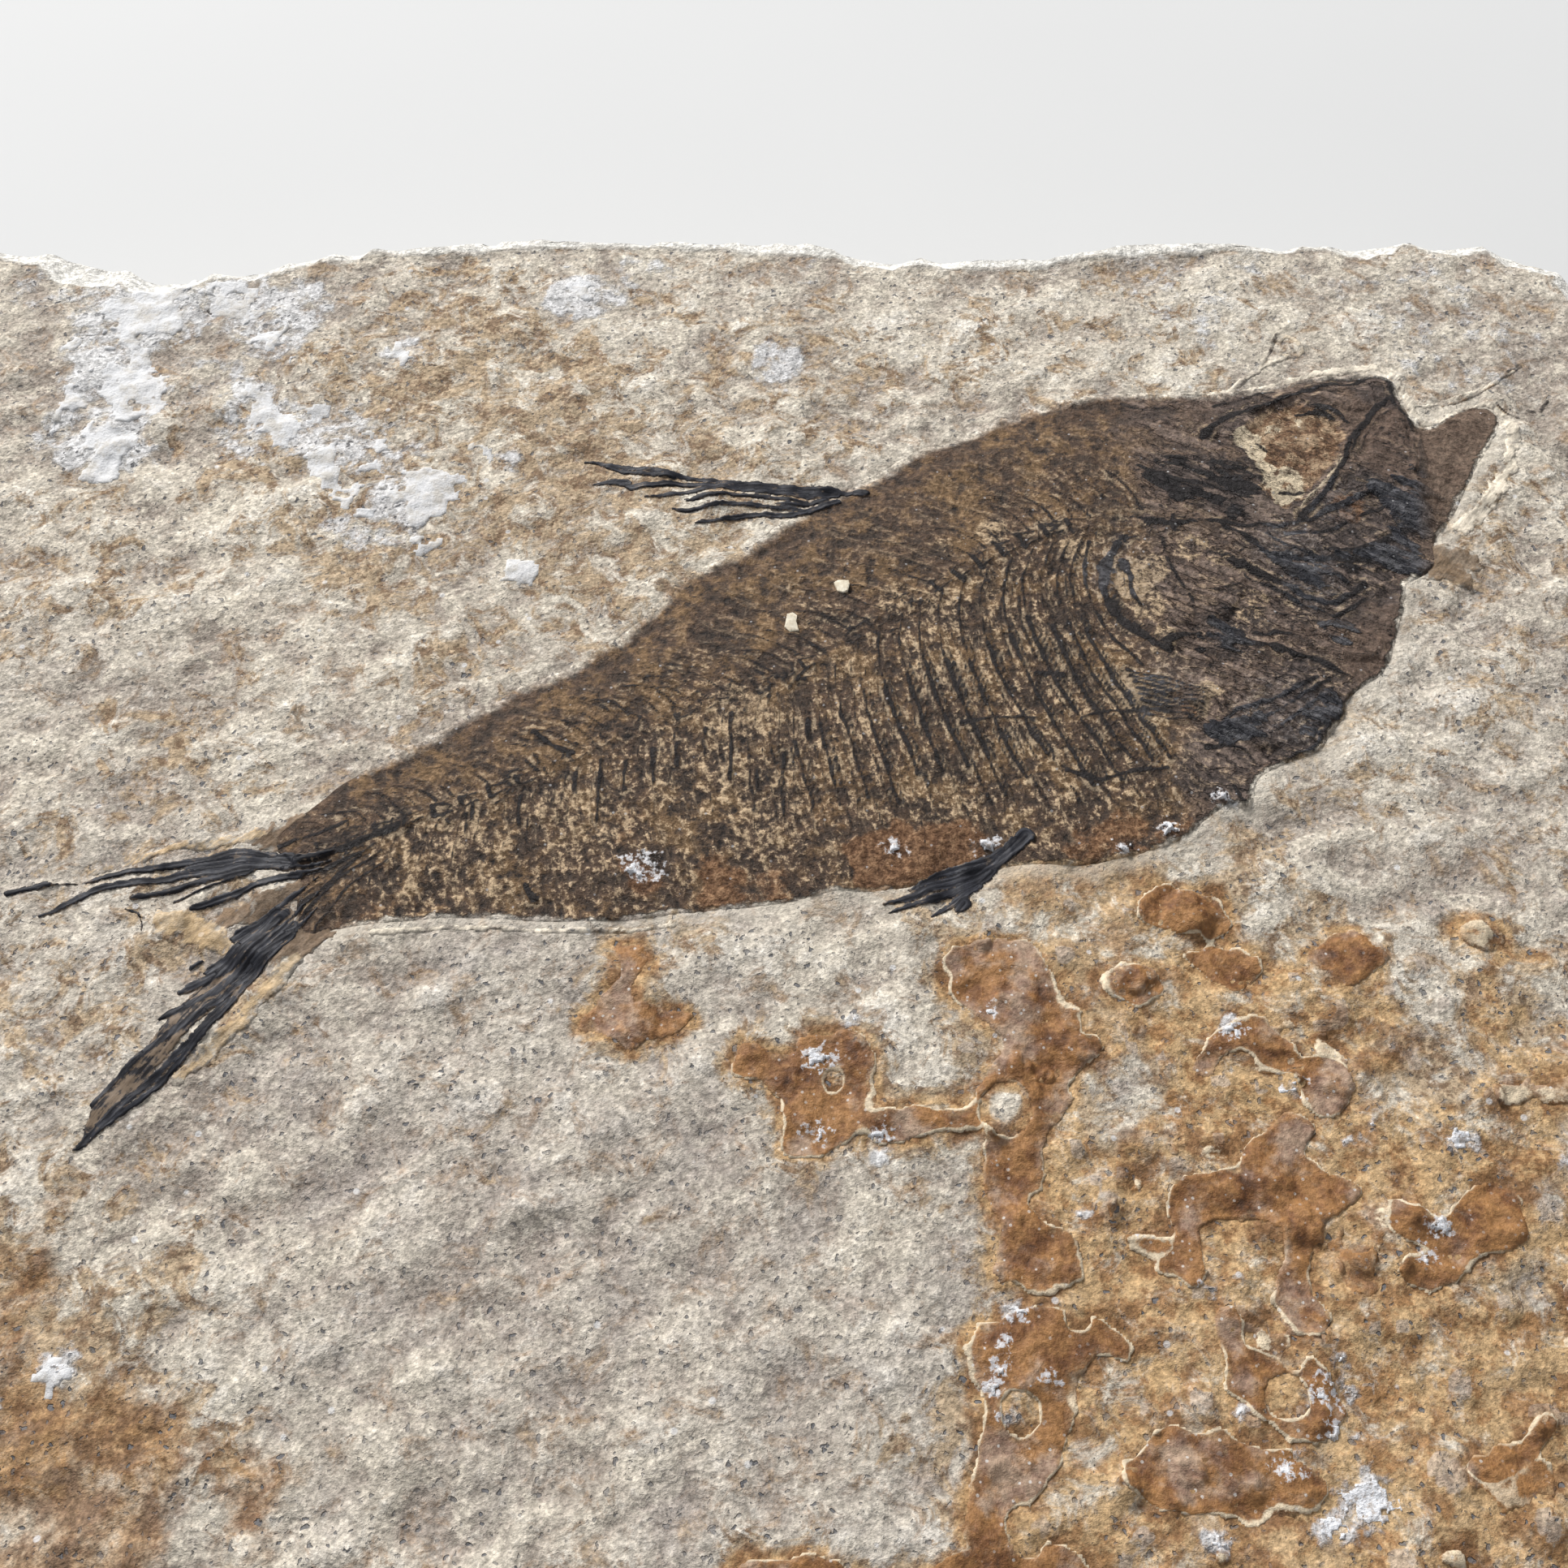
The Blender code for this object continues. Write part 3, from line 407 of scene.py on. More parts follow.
def buildSlab(material):
    shape = slabShape
    nx, ny = shape["columns"], shape["rows"]
    u, v = np.meshgrid(np.arange(nx + 1) / nx, np.arange(ny + 1) / ny, indexing="ij")
    plan = slabPlan(u, v)
    # once round the rim: near edge, right, far, left
    walk = ([(i, 0) for i in range(nx)] + [(nx, j) for j in range(ny)]
            + [(nx - i, ny) for i in range(nx)] + [(0, ny - j) for j in range(ny)])
    ri, rj = np.array(walk).T
    rim = plan[ri, rj].copy()
    along = np.roll(rim, -3, 0) - np.roll(rim, 3, 0)
    outward = np.stack([along[:, 1], -along[:, 0]], 1) / np.linalg.norm(along, axis=1)[:, None]
    travel = np.concatenate([[0.0], np.cumsum(np.linalg.norm(np.diff(rim, axis=0), axis=1))])
    turn = 2 * math.pi * travel / (travel[-1] + 0.58)
    ringX, ringY = 90 * np.cos(turn), 90 * np.sin(turn)  # a closed place for noise that runs round the rim
    rimBack = shape["chipping"] * (0.75 + 0.6 * roughNoise(ringX, ringY, 5.0, 81, 4))
    plan[ri, rj] = rim - outward * np.clip(rimBack, 0.1, 2.0)[:, None]
    x, y = plan[..., 0].ravel(), plan[..., 1].ravel()
    masks = stoneMasks(x, y)
    z = faceHeight(x, y) - fishSeat * blendStep(masks["fishEdge"], 0.2, 1.2)
    points = [np.stack([x, y, z], 1)]
    number = np.arange((nx + 1) * (ny + 1)).reshape(nx + 1, ny + 1)
    faces = np.stack([number[:-1, :-1], number[1:, :-1], number[1:, 1:], number[:-1, 1:]], -1)
    faces = faces.reshape(-1, 4).tolist()
    ring = number[ri, rj]
    rimTop = z[ring]
    total = len(x)
    for key in masks:
        masks[key] = [masks[key]]

    def addRing(ringPoints, broken):
        nonlocal ring, total
        points.append(ringPoints)
        new = total + np.arange(len(ring))
        total += len(ring)
        faces.extend(np.stack([ring, new, np.roll(new, -1), np.roll(ring, -1)], 1).tolist())
        ring = new
        sideMasks = stoneMasks(ringPoints[:, 0], ringPoints[:, 1])
        for key in masks:
            masks[key].append(sideMasks[key] * 0.4 if key != "broken" else np.full(len(ring), broken))

    beds = [11.3, 10.4, 9.5, 8.6, 7.5, 6.6, 5.7, 4.6, 3.6, 2.3, 1.2]
    previous = rimTop
    for k, bed in enumerate(beds):
        standsBack = 0.55 + 0.75 * roughNoise(ringX, ringY + 37 * k, 11.0, 91 + k, 4, 0.55)
        standsBack = np.clip(standsBack, 0.03, 2.3) + 0.10 * k / len(beds)
        waver = 0.16 * softNoise(ringX, ringY, 14.0, 120)
        chatter = 0.10 * roughNoise(ringX, ringY, 1.6, 140 + k, 2)
        bedTop = np.minimum(bed + waver + 0.06 * chatter, previous - 0.10)
        nextBed = beds[k + 1] if k + 1 < len(beds) else 0.35
        bedFoot = np.minimum(nextBed + 0.1 + waver, bedTop - 0.12)
        for height, back in ((bedTop, standsBack + 0.12), ((bedTop + bedFoot) / 2, standsBack - 0.03),
                             (bedFoot, standsBack + 0.05)):
            spot = rim - outward * np.clip(back + chatter, 0.0, 3.0)[:, None]
            addRing(np.column_stack([spot, height]), 1.0)
        previous = bedFoot
    foot = rim - outward * (1.5 + 0.5 * roughNoise(ringX, ringY, 6.0, 171, 3))[:, None]
    addRing(np.column_stack([foot, np.zeros(len(foot))]), 1.0)
    # the underside, at half the top's fineness
    hx, hy = nx // 2, ny // 2
    lowPlan = slabPlan(*np.meshgrid(np.arange(hx + 1) / hx, np.arange(hy + 1) / hy, indexing="ij"))
    lowPlan = lowPlan * 0.955
    lx, ly = lowPlan[..., 0].ravel(), lowPlan[..., 1].ravel()
    inward = np.minimum(1 - np.abs(lx) / lx.max(), 1 - np.abs(ly) / ly.max())
    hollow = np.clip(0.22 + 0.3 * roughNoise(lx, ly, 17.0, 181, 4), 0.0, 0.9) * blendStep(inward, 0.0, 0.03)
    points.append(np.column_stack([lx, ly, hollow]))
    low = total + np.arange(len(lx)).reshape(hx + 1, hy + 1)
    under = np.stack([low[:-1, :-1], low[:-1, 1:], low[1:, 1:], low[1:, :-1]], -1)
    faces += under.reshape(-1, 4).tolist()
    lowWalk = ([(i, 0) for i in range(hx)] + [(hx, j) for j in range(hy)]
               + [(hx - i, hy) for i in range(hx)] + [(0, hy - j) for j in range(hy)])
    inner = low[tuple(np.array(lowWalk).T)]
    for k in range(len(inner)):
        a, b, c = ring[2 * k], ring[2 * k + 1], ring[(2 * k + 2) % len(ring)]
        faces.append([int(c), int(b), int(a), int(inner[k]), int(inner[(k + 1) % len(inner)])])
    lowMasks = stoneMasks(lx * -1.0, ly)
    for key in masks:
        masks[key].append(np.full(len(lx), 0.35) if key == "broken" else lowMasks[key] * 0.6)
        if key in ("fishEdge", "backEdge"):
            masks[key][-1] = np.full(len(lx), -6.0 if key == "fishEdge" else 6.0)
    allPoints = np.vstack(points)
    for axis, half in ((0, shape["halfWidth"]), (1, shape["halfDepth"])):
        low, high = allPoints[:, axis].min(), allPoints[:, axis].max()
        reach = half - 0.03
        if low < -reach or high > reach:
            allPoints[:, axis] = np.clip(allPoints[:, axis], -reach, reach)
    joined = {key: np.concatenate(parts) for key, parts in masks.items()}
    piece = newMesh("limestone_slab", allPoints, faces, joined)
    return finishPiece(piece, material, "limestone", "slab", sharpAngle=50)


# the fish: strokes are (points, width at the start, width at the end, darkness), all in millimetres
backbone = smoothLine([(-37, -7), (-34, -5.6), (-30, -4.2), (-26, -2.7), (-22, -1), (-18, 0.9), (-14, 3.5),
                       (-10, 5.4), (-6, 7), (-2, 8.6), (2, 11), (6, 13.8), (10, 17), (14, 19.8),
                       (18, 22.4), (22, 24.4), (26, 25.5), (30, 25.6), (33, 25.4)], 3)
skullStrokes = [
    ([(38.5, 41.3), (41, 41.8), (44, 42.4), (48, 43.1), (52, 43.6), (54.2, 43), (54.7, 41.6)], 0.5, 1.0,
     0.9),
    ([(36.8, 35.6), (38, 37.2), (40, 38.7), (42.5, 39.6), (45.5, 41), (49, 42.2), (53, 43)], 0.8, 0.6,
     0.95),
    ([(38.5, 39.8), (41, 40.7), (44, 41.6)], 0.5, 0.4, 0.6),
    ([(45.7, 38.8), (47.3, 39.3), (49, 38.7), (49.9, 37.4)], 1.0, 0.6, 0.9),
    ([(54.4, 40.6), (52.6, 38.9), (51.1, 37), (49.8, 35), (48.6, 32.6), (47, 30), (45.4, 28), (43.8, 26.2)],
     0.6, 0.7, 1.0),
    ([(53.2, 39.2), (51.7, 37.4), (50.5, 35.6), (49.6, 33.6)], 0.35, 0.3, 0.8),
    ([(50.6, 29.8), (48.6, 28.4), (46.6, 27.2), (44.4, 26)], 1.1, 0.6, 0.75),
    ([(55.2, 41.8), (54.6, 40.2), (55.2, 38.6), (55.8, 37)], 0.9, 0.4, 0.75),
    ([(56.2, 36.6), (56, 34.6), (55.6, 32.8), (55.2, 31.4)], 0.4, 0.9, 0.8),
    ([(53, 36.8), (51.8, 35.6), (52.6, 34.4), (54, 34.6), (54.6, 36)], 0.35, 0.35, 0.5),
    ([(36.8, 25.6), (38.4, 24.3), (39.7, 22.6), (41.4, 21.7), (44, 21.7), (47, 21.9), (50, 21.6),
      (53.6, 20.9)],
     0.7, 1.0, 1.0),
    ([(45.5, 22.6), (48, 22.9), (50.3, 23.6), (52.6, 24.9), (54.6, 25.4)], 0.5, 1.4, 0.9),
    ([(37.4, 21.3), (39, 20.2), (41, 18.9), (43, 17.7), (45, 17.4), (46.8, 18.1), (48, 19.2)], 0.9, 0.8,
     1.0),
    ([(38, 19.7), (40, 18.5), (41.6, 17.4), (43.2, 16.6), (45, 16.2), (46.8, 16.7), (47.8, 17.7)], 0.5, 0.5,
     0.8),
    ([(40.6, 24.2), (42.2, 22.8), (44, 22.3)], 0.5, 0.4, 0.8),
    ([(30, 26), (33, 25.3), (36, 25.7), (39, 25.5), (42, 25.3), (44.6, 26.4)], 0.9, 0.5, 0.75),
    ([(37.2, 13.1), (39, 12.9), (41, 12), (43, 11.1), (45.3, 10)], 0.9, 0.5, 0.95),
    ([(38.2, 14), (40.6, 13.7), (43, 12.9)], 0.5, 0.4, 0.6),
    ([(29.8, 12.8), (31.6, 13.5), (33.8, 13.9)], 0.6, 0.9, 0.9),
    ([(33, 24.8), (35, 24.2), (37, 24.6)], 0.3, 0.3, 0.4),
    ([(34, 22.6), (36.5, 22), (38.5, 22.6)], 0.3, 0.4, 0.5),
    ([(35, 18.3), (37.5, 18.6), (39.5, 17.6)], 0.4, 0.3, 0.5),
    ([(35.6, 16.2), (38.5, 16.4), (41, 15.6), (43.6, 15)], 0.4, 0.4, 0.6),
    ([(42.6, 24.6), (45.6, 24.8), (48.8, 26.4), (51, 27.6)], 0.6, 0.5, 0.6),
    ([(30.3, 40), (33.5, 39.4), (36.8, 40.2), (39, 40.9)], 0.7, 0.4, 0.3),
    # the shoulder's arcs
    ([(29.6, 24.8), (27.8, 23), (26.7, 20.8), (26.3, 18.4), (26.9, 16.3), (28.2, 14.6), (29.7, 13.2),
      (31, 12.4)],
     0.9, 0.9, 1.0),
    ([(28.2, 21.4), (28.5, 19.6), (28.6, 17.8), (29.1, 16.6)], 0.7, 0.4, 0.9),
    ([(31.8, 23.8), (32.1, 21.6), (32.7, 19), (33.6, 16.6)], 0.5, 0.5, 0.6),
    ([(25.6, 23.4), (25, 20.6), (25, 17.6), (25.8, 15), (27, 12.8), (28.8, 10.8)], 0.4, 0.4, 0.6),
    # the breast
    ([(33.6, 4.4), (35.2, 5.2), (37, 5.4)], 1.1, 0.6, 0.95),
    ([(34.6, 5.8), (37, 6.8), (40, 8.3), (42.5, 9.7)], 0.6, 0.5, 0.8),
    ([(36, 5.2), (39, 6.6), (42, 8.6), (43.8, 9.6)], 0.5, 0.5, 0.7),
    ([(38.4, 5), (41, 6.6), (43.6, 8.6)], 0.5, 0.6, 0.75),
    ([(40.4, 4.6), (42.4, 5.9), (44, 7.4)], 0.7, 0.7, 0.8),
    ([(33, 3.2), (35, 3.4), (36.4, 2.2)], 0.7, 0.4, 0.85),
    ([(39, 2.4), (41, 3.2), (42, 4.2)], 0.5, 0.5, 0.5),
    ([(34.4, -0.4), (35, -1.4), (35.5, -2.2)], 0.5, 0.6, 1.0),
    ([(14, 5.2), (16.5, 5.7), (20, 5.6)], 0.35, 0.25, 0.85),
    ([(23.4, 5.7), (26, 6.2), (29.4, 6.6), (32.6, 5.4)], 0.35, 0.3, 0.8),
    ([(21.8, 0.9), (24.4, 0), (26.6, 0.7), (29.6, 1.1)], 0.5, 0.35, 0.7),
    ([(20, 9.9), (22.2, 9.7)], 0.5, 0.4, 0.9),
    ([(-19.2, -9), (-18.4, -10.2)], 0.5, 0.6, 1.0),
    ([(-19.6, 4.4), (-18, 3.1), (-16.4, 2.4)], 0.5, 0.5, 0.9),
    # the tail's root
    ([(-29, -4.2), (-32, -5.5), (-35, -6.6), (-37, -7.1)], 0.6, 0.7, 1.0),
    ([(-30.6, -5.6), (-33.4, -7.2), (-36.2, -8)], 0.35, 0.45, 0.9),
    ([(-30, -6.2), (-33, -8.4), (-35, -11), (-36, -13.2)], 0.3, 0.4, 0.8),
    ([(-31.6, -6.4), (-34, -9), (-36.4, -11.2)], 0.35, 0.4, 0.9),
    ([(-29.6, -7), (-32, -9), (-33.8, -11.6), (-34.6, -13.4)], 0.25, 0.25, 0.6),
    ([(-33, -3.6), (-35.6, -4.8), (-38, -5.6)], 0.4, 0.4, 0.7),
]
skullPatches = [  # (outline, darkness, blueness)
    ([(51.2, 30.4), (53.2, 29.9), (54.4, 31.2), (55.7, 32), (56, 30), (55.8, 28), (55.6, 26.2),
      (54.8, 24.9),
      (53.2, 24.4), (51.6, 25.4), (51.6, 27.4), (50.8, 28.8)], 0.95, 1.0),
    ([(46.4, 22.5), (48.6, 22.8), (50.2, 24), (52.2, 24.4), (53.4, 23.2), (54.3, 21.4), (53.8, 20.7),
      (51.8, 20.9),
      (49.6, 21.4)], 1.0, 1.0),
    ([(41.2, 21), (43.4, 21.8), (46.4, 21.6), (48.2, 21), (47, 19.9), (44.6, 19.2), (42.2, 19.7)], 0.95,
     0.3),
    ([(33.4, 12.9), (34.8, 14.9), (36, 14.6), (37.4, 13.2), (36.8, 12.1), (35, 12)], 0.95, 0.6),
    ([(40.3, 5.2), (42.2, 7), (43.2, 9), (44.4, 8.4), (44.2, 6.6), (42.4, 4.9), (41, 4.4)], 0.7, 1.0),
    ([(31, 31.4), (32.8, 31.7), (34.4, 30.8), (34, 29.4), (32.4, 29.2), (31.6, 30.4)], 0.95, 0.0),
    ([(33.4, 29.9), (35.2, 30.8), (36.6, 30), (35.4, 28.6), (33.6, 28.4)], 0.7, 0.1),
    ([(36.2, 31.8), (38.4, 32.8), (40.2, 32.2), (40.8, 30.2), (39.4, 28.8), (37.4, 28.8), (37.6, 30.4)],
     0.6, 0.2),
    ([(36, 28.6), (37.2, 28.9), (37.6, 28), (36.6, 27.6)], 0.95, 0.2),
    ([(25.8, 27), (27.6, 27.8), (29.4, 27), (31.2, 26.4), (30.4, 24.4), (28.6, 23.8), (26.6, 24.6)], 0.15,
     0.1),
    ([(37.8, 27.2), (39, 27.4), (39.2, 26.4), (38, 26.2)], 0.8, 0.4),
    ([(33.2, 33.2), (34.8, 33.6), (36.2, 33), (35, 32.4)], 0.6, 0.1),
    ([(44.2, 15.4), (46, 15.8), (46.6, 14.4), (45, 13.6)], 0.45, 0.6),
    ([(33, 4.6), (35.4, 5.9), (37.6, 5.6), (36, 4), (34, 3.6)], 0.85, 0.8),
]
eyeOutline = smoothLine([(40, 36), (41.2, 37.3), (43, 38.9), (45, 40), (47, 39.8), (48.9, 38), (49.5, 36.4),
                         (49.1, 34.4),
                         (47.9, 32.5), (46.4, 30.5), (44.5, 28.5), (42.9, 27.2), (41.6, 27.9), (41, 29.6),
                         (41.4, 31.8), (40.4, 33.6)], 3, closed=True)
smoothFilm = [(52.6, 37, 5, 1.0), (49.4, 14.6, 5, 1.0), (47, 11, 3.5, 0.8), (52, 33, 3, 0.7),
              (44.6, 12, 3, 0.5), (60, 34, 8, 1.0), (52, 17.6, 3, 0.9), (38, 38.6, 3, 0.5)]
darkFilm = [(51, 26.4, 5.5, 0.9), (46, 21, 6, 0.8), (38, 30.4, 5, 0.7), (41, 6.4, 5.5, 0.8),
            (29, 25, 3.5, 0.4), (36, 13.4, 3.5, 0.6), (40, 38.4, 4.5, 0.6), (34, 31, 4, 0.7),
            (41, 24.6, 5, 0.6), (54, 41.5, 3, 0.7), (34, 2, 4, 0.6), (26, 2.6, 4, 0.3), (47, 29, 4, 0.5),
            (31, 9, 3, 0.4)]
blueFilm = [(43.5, 18.5, 4.5, 1), (42, 22.5, 4, 0.8), (39.5, 7, 5, 0.9), (53.6, 28, 3, 1),
            (28.4, 21, 4, 0.7), (47, 27.5, 3, 0.8), (38, 30, 3, 0.3), (44, 41, 9, 0.3),
            (30, 8.5, 4, 0.7)]
eyeCream = [(40.8, 35.4, 1.2, 0.9), (41.2, 33.8, 1.2, 0.9), (41.8, 32.0, 1.4, 1.0),
            (42.2, 30.4, 1.5, 1.0), (42.6, 28.8, 1.5, 1.0), (43.6, 31.2, 1.3, 1.0),
            (43.8, 29.4, 1.1, 0.9), (47.6, 35.8, 0.7, 0.5), (43.2, 36.8, 0.7, 0.5),
            (45.4, 38.0, 0.7, 0.4)]
eyeRidge = smoothLine([(48.6, 32.9), (47.1, 30.8), (45.4, 29.0), (43.5, 26.5)], 4)
eyeMarks = [([(42.7, 29.2), (43.8, 29.0), (44.8, 29.1)], 0.36),
            ([(45.6, 38.6), (47.1, 38.8), (48.7, 38.1)], 0.45),
            ([(41.6, 35.2), (42.2, 34.2)], 0.3)]
paleShows = [  # where the pale stone shows between the bones: (x, y, radius, strength)
    (28.6, 18.8, 1.5, 1.0), (30.2, 20.4, 1.6, 0.8), (29.8, 16.6, 1.5, 0.7), (34.4, 23, 1.8, 0.7),
    (27.4, 8, 2.2, 0.9), (31, 13.6, 1.1, 0.7), (24.4, 22.6, 1.7, 0.9), (17.4, 24.6, 1.6, 0.8),
    (13.4, 23, 1.8, 0.6), (38, 16.6, 3, 0.55), (36, 21, 2, 0.45), (9, 17, 2, 0.6), (5.5, 10.4, 2, 0.7),
    (14, 15.6, 3, 0.6), (19.4, 15, 4, 0.55), (12, 9, 5, 0.5), (20, 4, 6, 0.45), (6, 3, 6, 0.5),
    (-3, 6, 3, 0.7), (-8, 3, 5, 0.55), (-14, -3, 8, 0.6), (-24, -6, 8, 0.55), (-3, -5, 7, 0.6),
    (12, -2, 5, 0.55), (-30, -9, 5, 0.5), (24, -1, 4, 0.4), (30, 6.6, 2, 0.5), (3, 16, 3, 0.35),
    (41, 17, 2, 0.4), (-6, 10, 3, 0.35), (33, 2, 2, 0.3), (22, 28, 3, 0.3), (36.4, 36, 2, 0.3),
    (33.6, 8, 1.2, 0.8),
]
rustOnFish = [(8.4, -6.9, 3.0, 0.95), (12, -6.0, 2.8, 0.9), (14.6, -5.6, 2, 0.6), (22, -6.4, 2.4, 0.6),
              (26, -5.7, 2.6, 0.6), (30, -4, 2, 0.5), (-10.4, -8.9, 2.4, 0.75), (-5, -9, 2.6, 0.8),
              (-1, -8.6, 2, 0.5), (-31, -11, 3, 0.35), (48, 26.8, 2, 0.6), (32, 6.4, 1.2, 0.7),
              (-12, -4.6, 2.5, 0.3), (2, -3, 3, 0.3), (37, 1.4, 2, 0.4)]


def beside(line, away):  # the same line moved sideways
    line = np.asarray(line, float)
    ahead = np.gradient(line, axis=0)
    ahead /= np.linalg.norm(ahead, axis=1)[:, None] + 1e-9
    return line + np.column_stack([-ahead[:, 1], ahead[:, 0]]) * away


def skullSplinters(rng):
    strokes = []
    for line, _, _, dark in skullStrokes:  # splinters along the skull's bones
        smooth = smoothLine(line, 4)
        for _ in range(3):
            first = rng.integers(0, max(len(smooth) - 4, 1))
            part = smooth[first:first + rng.integers(3, max(len(smooth), 4) + 1)]
            if len(part) > 2:
                away = rng.choice([-1, 1]) * rng.uniform(0.4, 1.3)
                strokes.append((beside(part, away), 0.16, 0.14, dark * rng.uniform(0.35, 0.8)))
    return strokes


def ribStrokes(rng):
    strokes = []
    guides = np.array([  # ribs at eight places, from the backbone to the belly
        [(-3, 7.6), (-3, 4.8), (-2.8, 2), (-2.4, -1), (-2, -4)],
        [(1.4, 10.2), (1.2, 6.6), (1.6, 2.8), (2.4, -1), (3.2, -4.6)],
        [(5.4, 13), (5.2, 9.4), (5.8, 5.4), (7, 1), (8.4, -3.8)],
        [(9.4, 16.2), (9, 12.4), (10, 7.6), (11.6, 2), (13.2, -3.6)],
        [(13.4, 19), (12.6, 14.6), (13.8, 9), (15.8, 2.6), (17.8, -3.2)],
        [(18, 21.8), (16.8, 17), (18, 10.6), (20.6, 3.6), (23.4, -2.6)],
        [(22.6, 24), (20.9, 18.6), (22.2, 11.4), (25.2, 4.4), (28.4, -1.8)],
        [(25.4, 24.6), (23.6, 19.4), (24.9, 12.6), (28.2, 5), (32, -1.6)]])
    count = 17
    for k in range(3 * count - 2):
        place = k * (len(guides) - 1) / (3 * count - 3)
        low = min(int(place), len(guides) - 2)
        line = guides[low] + (place - low) * (guides[low + 1] - guides[low])
        line = smoothLine(line + rng.uniform(-0.14, 0.14, line.shape), 5)
        dark = 0.5 + 0.5 * blendStep(place, 1.2, 3.0)
        if k % 3:  # fine lines between the ribs
            first, last = rng.integers(2, 9), rng.integers(13, 21)
            strokes.append((line[first:last], 0.16, 0.20, rng.uniform(0.30, 0.62)))
            continue
        strokes.append((line[1:17], 0.22, 0.28, 0.72 * dark))
        strokes.append((line[rng.integers(7, 10):rng.integers(17, 20)], 0.34, 0.28, 1.15 * dark))
        strokes.append((beside(line[7:21], 0.42), 0.15, 0.17, 0.8 * dark))
    for k in range(34):  # hair-fine ends of the ribs near the belly
        x = -21 + 1.55 * k + rng.uniform(-0.4, 0.4)
        strokes.append(([(x, -0.6 + rng.uniform(-1.5, 1)), (x + 0.5, -6 + rng.uniform(-1, 1.4))], 0.16,
                        0.10,
                        rng.uniform(0.3, 0.6)))
    return strokes


def spineStrokes(rng):
    strokes = []
    for k in range(44):  # spines under the tail half of the backbone
        x = -34.5 + 0.8 * k + rng.uniform(-0.2, 0.2)
        y = np.interp(x, backbone[:, 0], backbone[:, 1])
        long = rng.uniform(1.4, 4.0) * np.interp(x, [-35, -26, 0], [0.5, 0.9, 1.1])
        strokes.append(([(x + 0.5, y - 0.7), (x + 0.15, y - 2.2), (x - 0.15, y - 2.8 - long)], 0.17, 0.13,
                        rng.uniform(0.3, 0.65)))
    for x, top, foot in ((-20, -1.6, -4), (-16, 0.6, -1.2), (-14.1, 1.9, -3.6), (-12.2, 1.7, -1),
                         (-10.1, 2.9, -0.3), (-8.3, 3.2, 1.1), (-6.2, 4.6, 2.2), (-4.1, 6, 0),
                         (-2, 0.8, -1), (0, 2.2, -0.4), (-23.6, -2.4, -3.6), (1.9, 5.6, 3.4)):
        strokes.append(([(x, top), (x - 0.05, (top + foot) / 2), (x + 0.05, foot)], 0.34, 0.26, 1.0))
    for k in range(52):  # spines over the backbone, leaning back, steeper towards the head
        x = -33.5 + 1.27 * k
        y = np.interp(x, backbone[:, 0], backbone[:, 1])
        lean = np.interp(x, [-34, 0, 16, 24, 31], [152, 158, 160, 138, 118]) + rng.uniform(-4, 4)
        lean = math.radians(lean)
        long = rng.uniform(3.5, 8.0) * np.interp(x, [-34, -24, 0, 31], [0.5, 0.75, 1.0, 0.95])
        bow = rng.uniform(0.3, 0.9)
        step = np.array([math.cos(lean), math.sin(lean)])
        side = np.array([-step[1], step[0]])
        start = np.array([x - 0.5, y + 0.6])
        strokes.append(([start, start + step * long * 0.5 - side * bow, start + step * long],
                        0.26, 0.14, rng.uniform(0.4, 0.85)))
        if x > -14:
            start = start + [rng.uniform(-1.5, 0.8), rng.uniform(1.0, 3.5)]
            strokes.append(([start, start + step * long * 0.6 - side * bow, start + step * long * 1.2],
                            0.18, 0.12, rng.uniform(0.25, 0.55)))
    return strokes


def backboneStrokes(rng):
    strokes = []
    for k in range(36):  # the backbone's joints
        place = k / 35
        at = alongLine(backbone, place)
        ahead = alongLine(backbone, min(place + 0.01, 1.0)) - alongLine(backbone, max(place - 0.01, 0.0))
        ahead /= np.linalg.norm(ahead)
        side = np.array([-ahead[1], ahead[0]])
        big = np.interp(at[0], [-36, -20, 10, 30], [0.75, 0.8, 1.0, 1.3])
        dark = np.interp(at[0], [-36, -31, -22, -17, 0, 16, 21, 32], [0.6, 1, 1, 0.5, 0.5, 0.6, 1, 1])
        dark *= rng.uniform(0.6, 1.1)
        strokes.append(([at - side * big * 0.6, at + side * big * 0.6], 0.42 * big, 0.42 * big, dark))
        strokes.append(([at + side * 0.55 * big, at + ahead * 1.4 + side * 0.35 * big], 0.24, 0.2,
                        0.8 * dark))
        strokes.append(([at - side * 0.55 * big, at + ahead * 1.4 - side * 0.4 * big], 0.24, 0.2,
                        0.8 * dark))
    for k in range(150):  # broken scraps of bone along the backbone
        at = alongLine(backbone, rng.random()) + rng.normal(0, 0.85, 2)
        lean = rng.choice([0.45, -1.2, 2.6]) + rng.normal(0, 0.3)
        step = np.array([math.cos(lean), math.sin(lean)]) * rng.uniform(0.3, 0.9)
        strokes.append(([at - step, at + step], rng.uniform(0.14, 0.34), 0.12, rng.uniform(0.45, 1.0)))
    return strokes


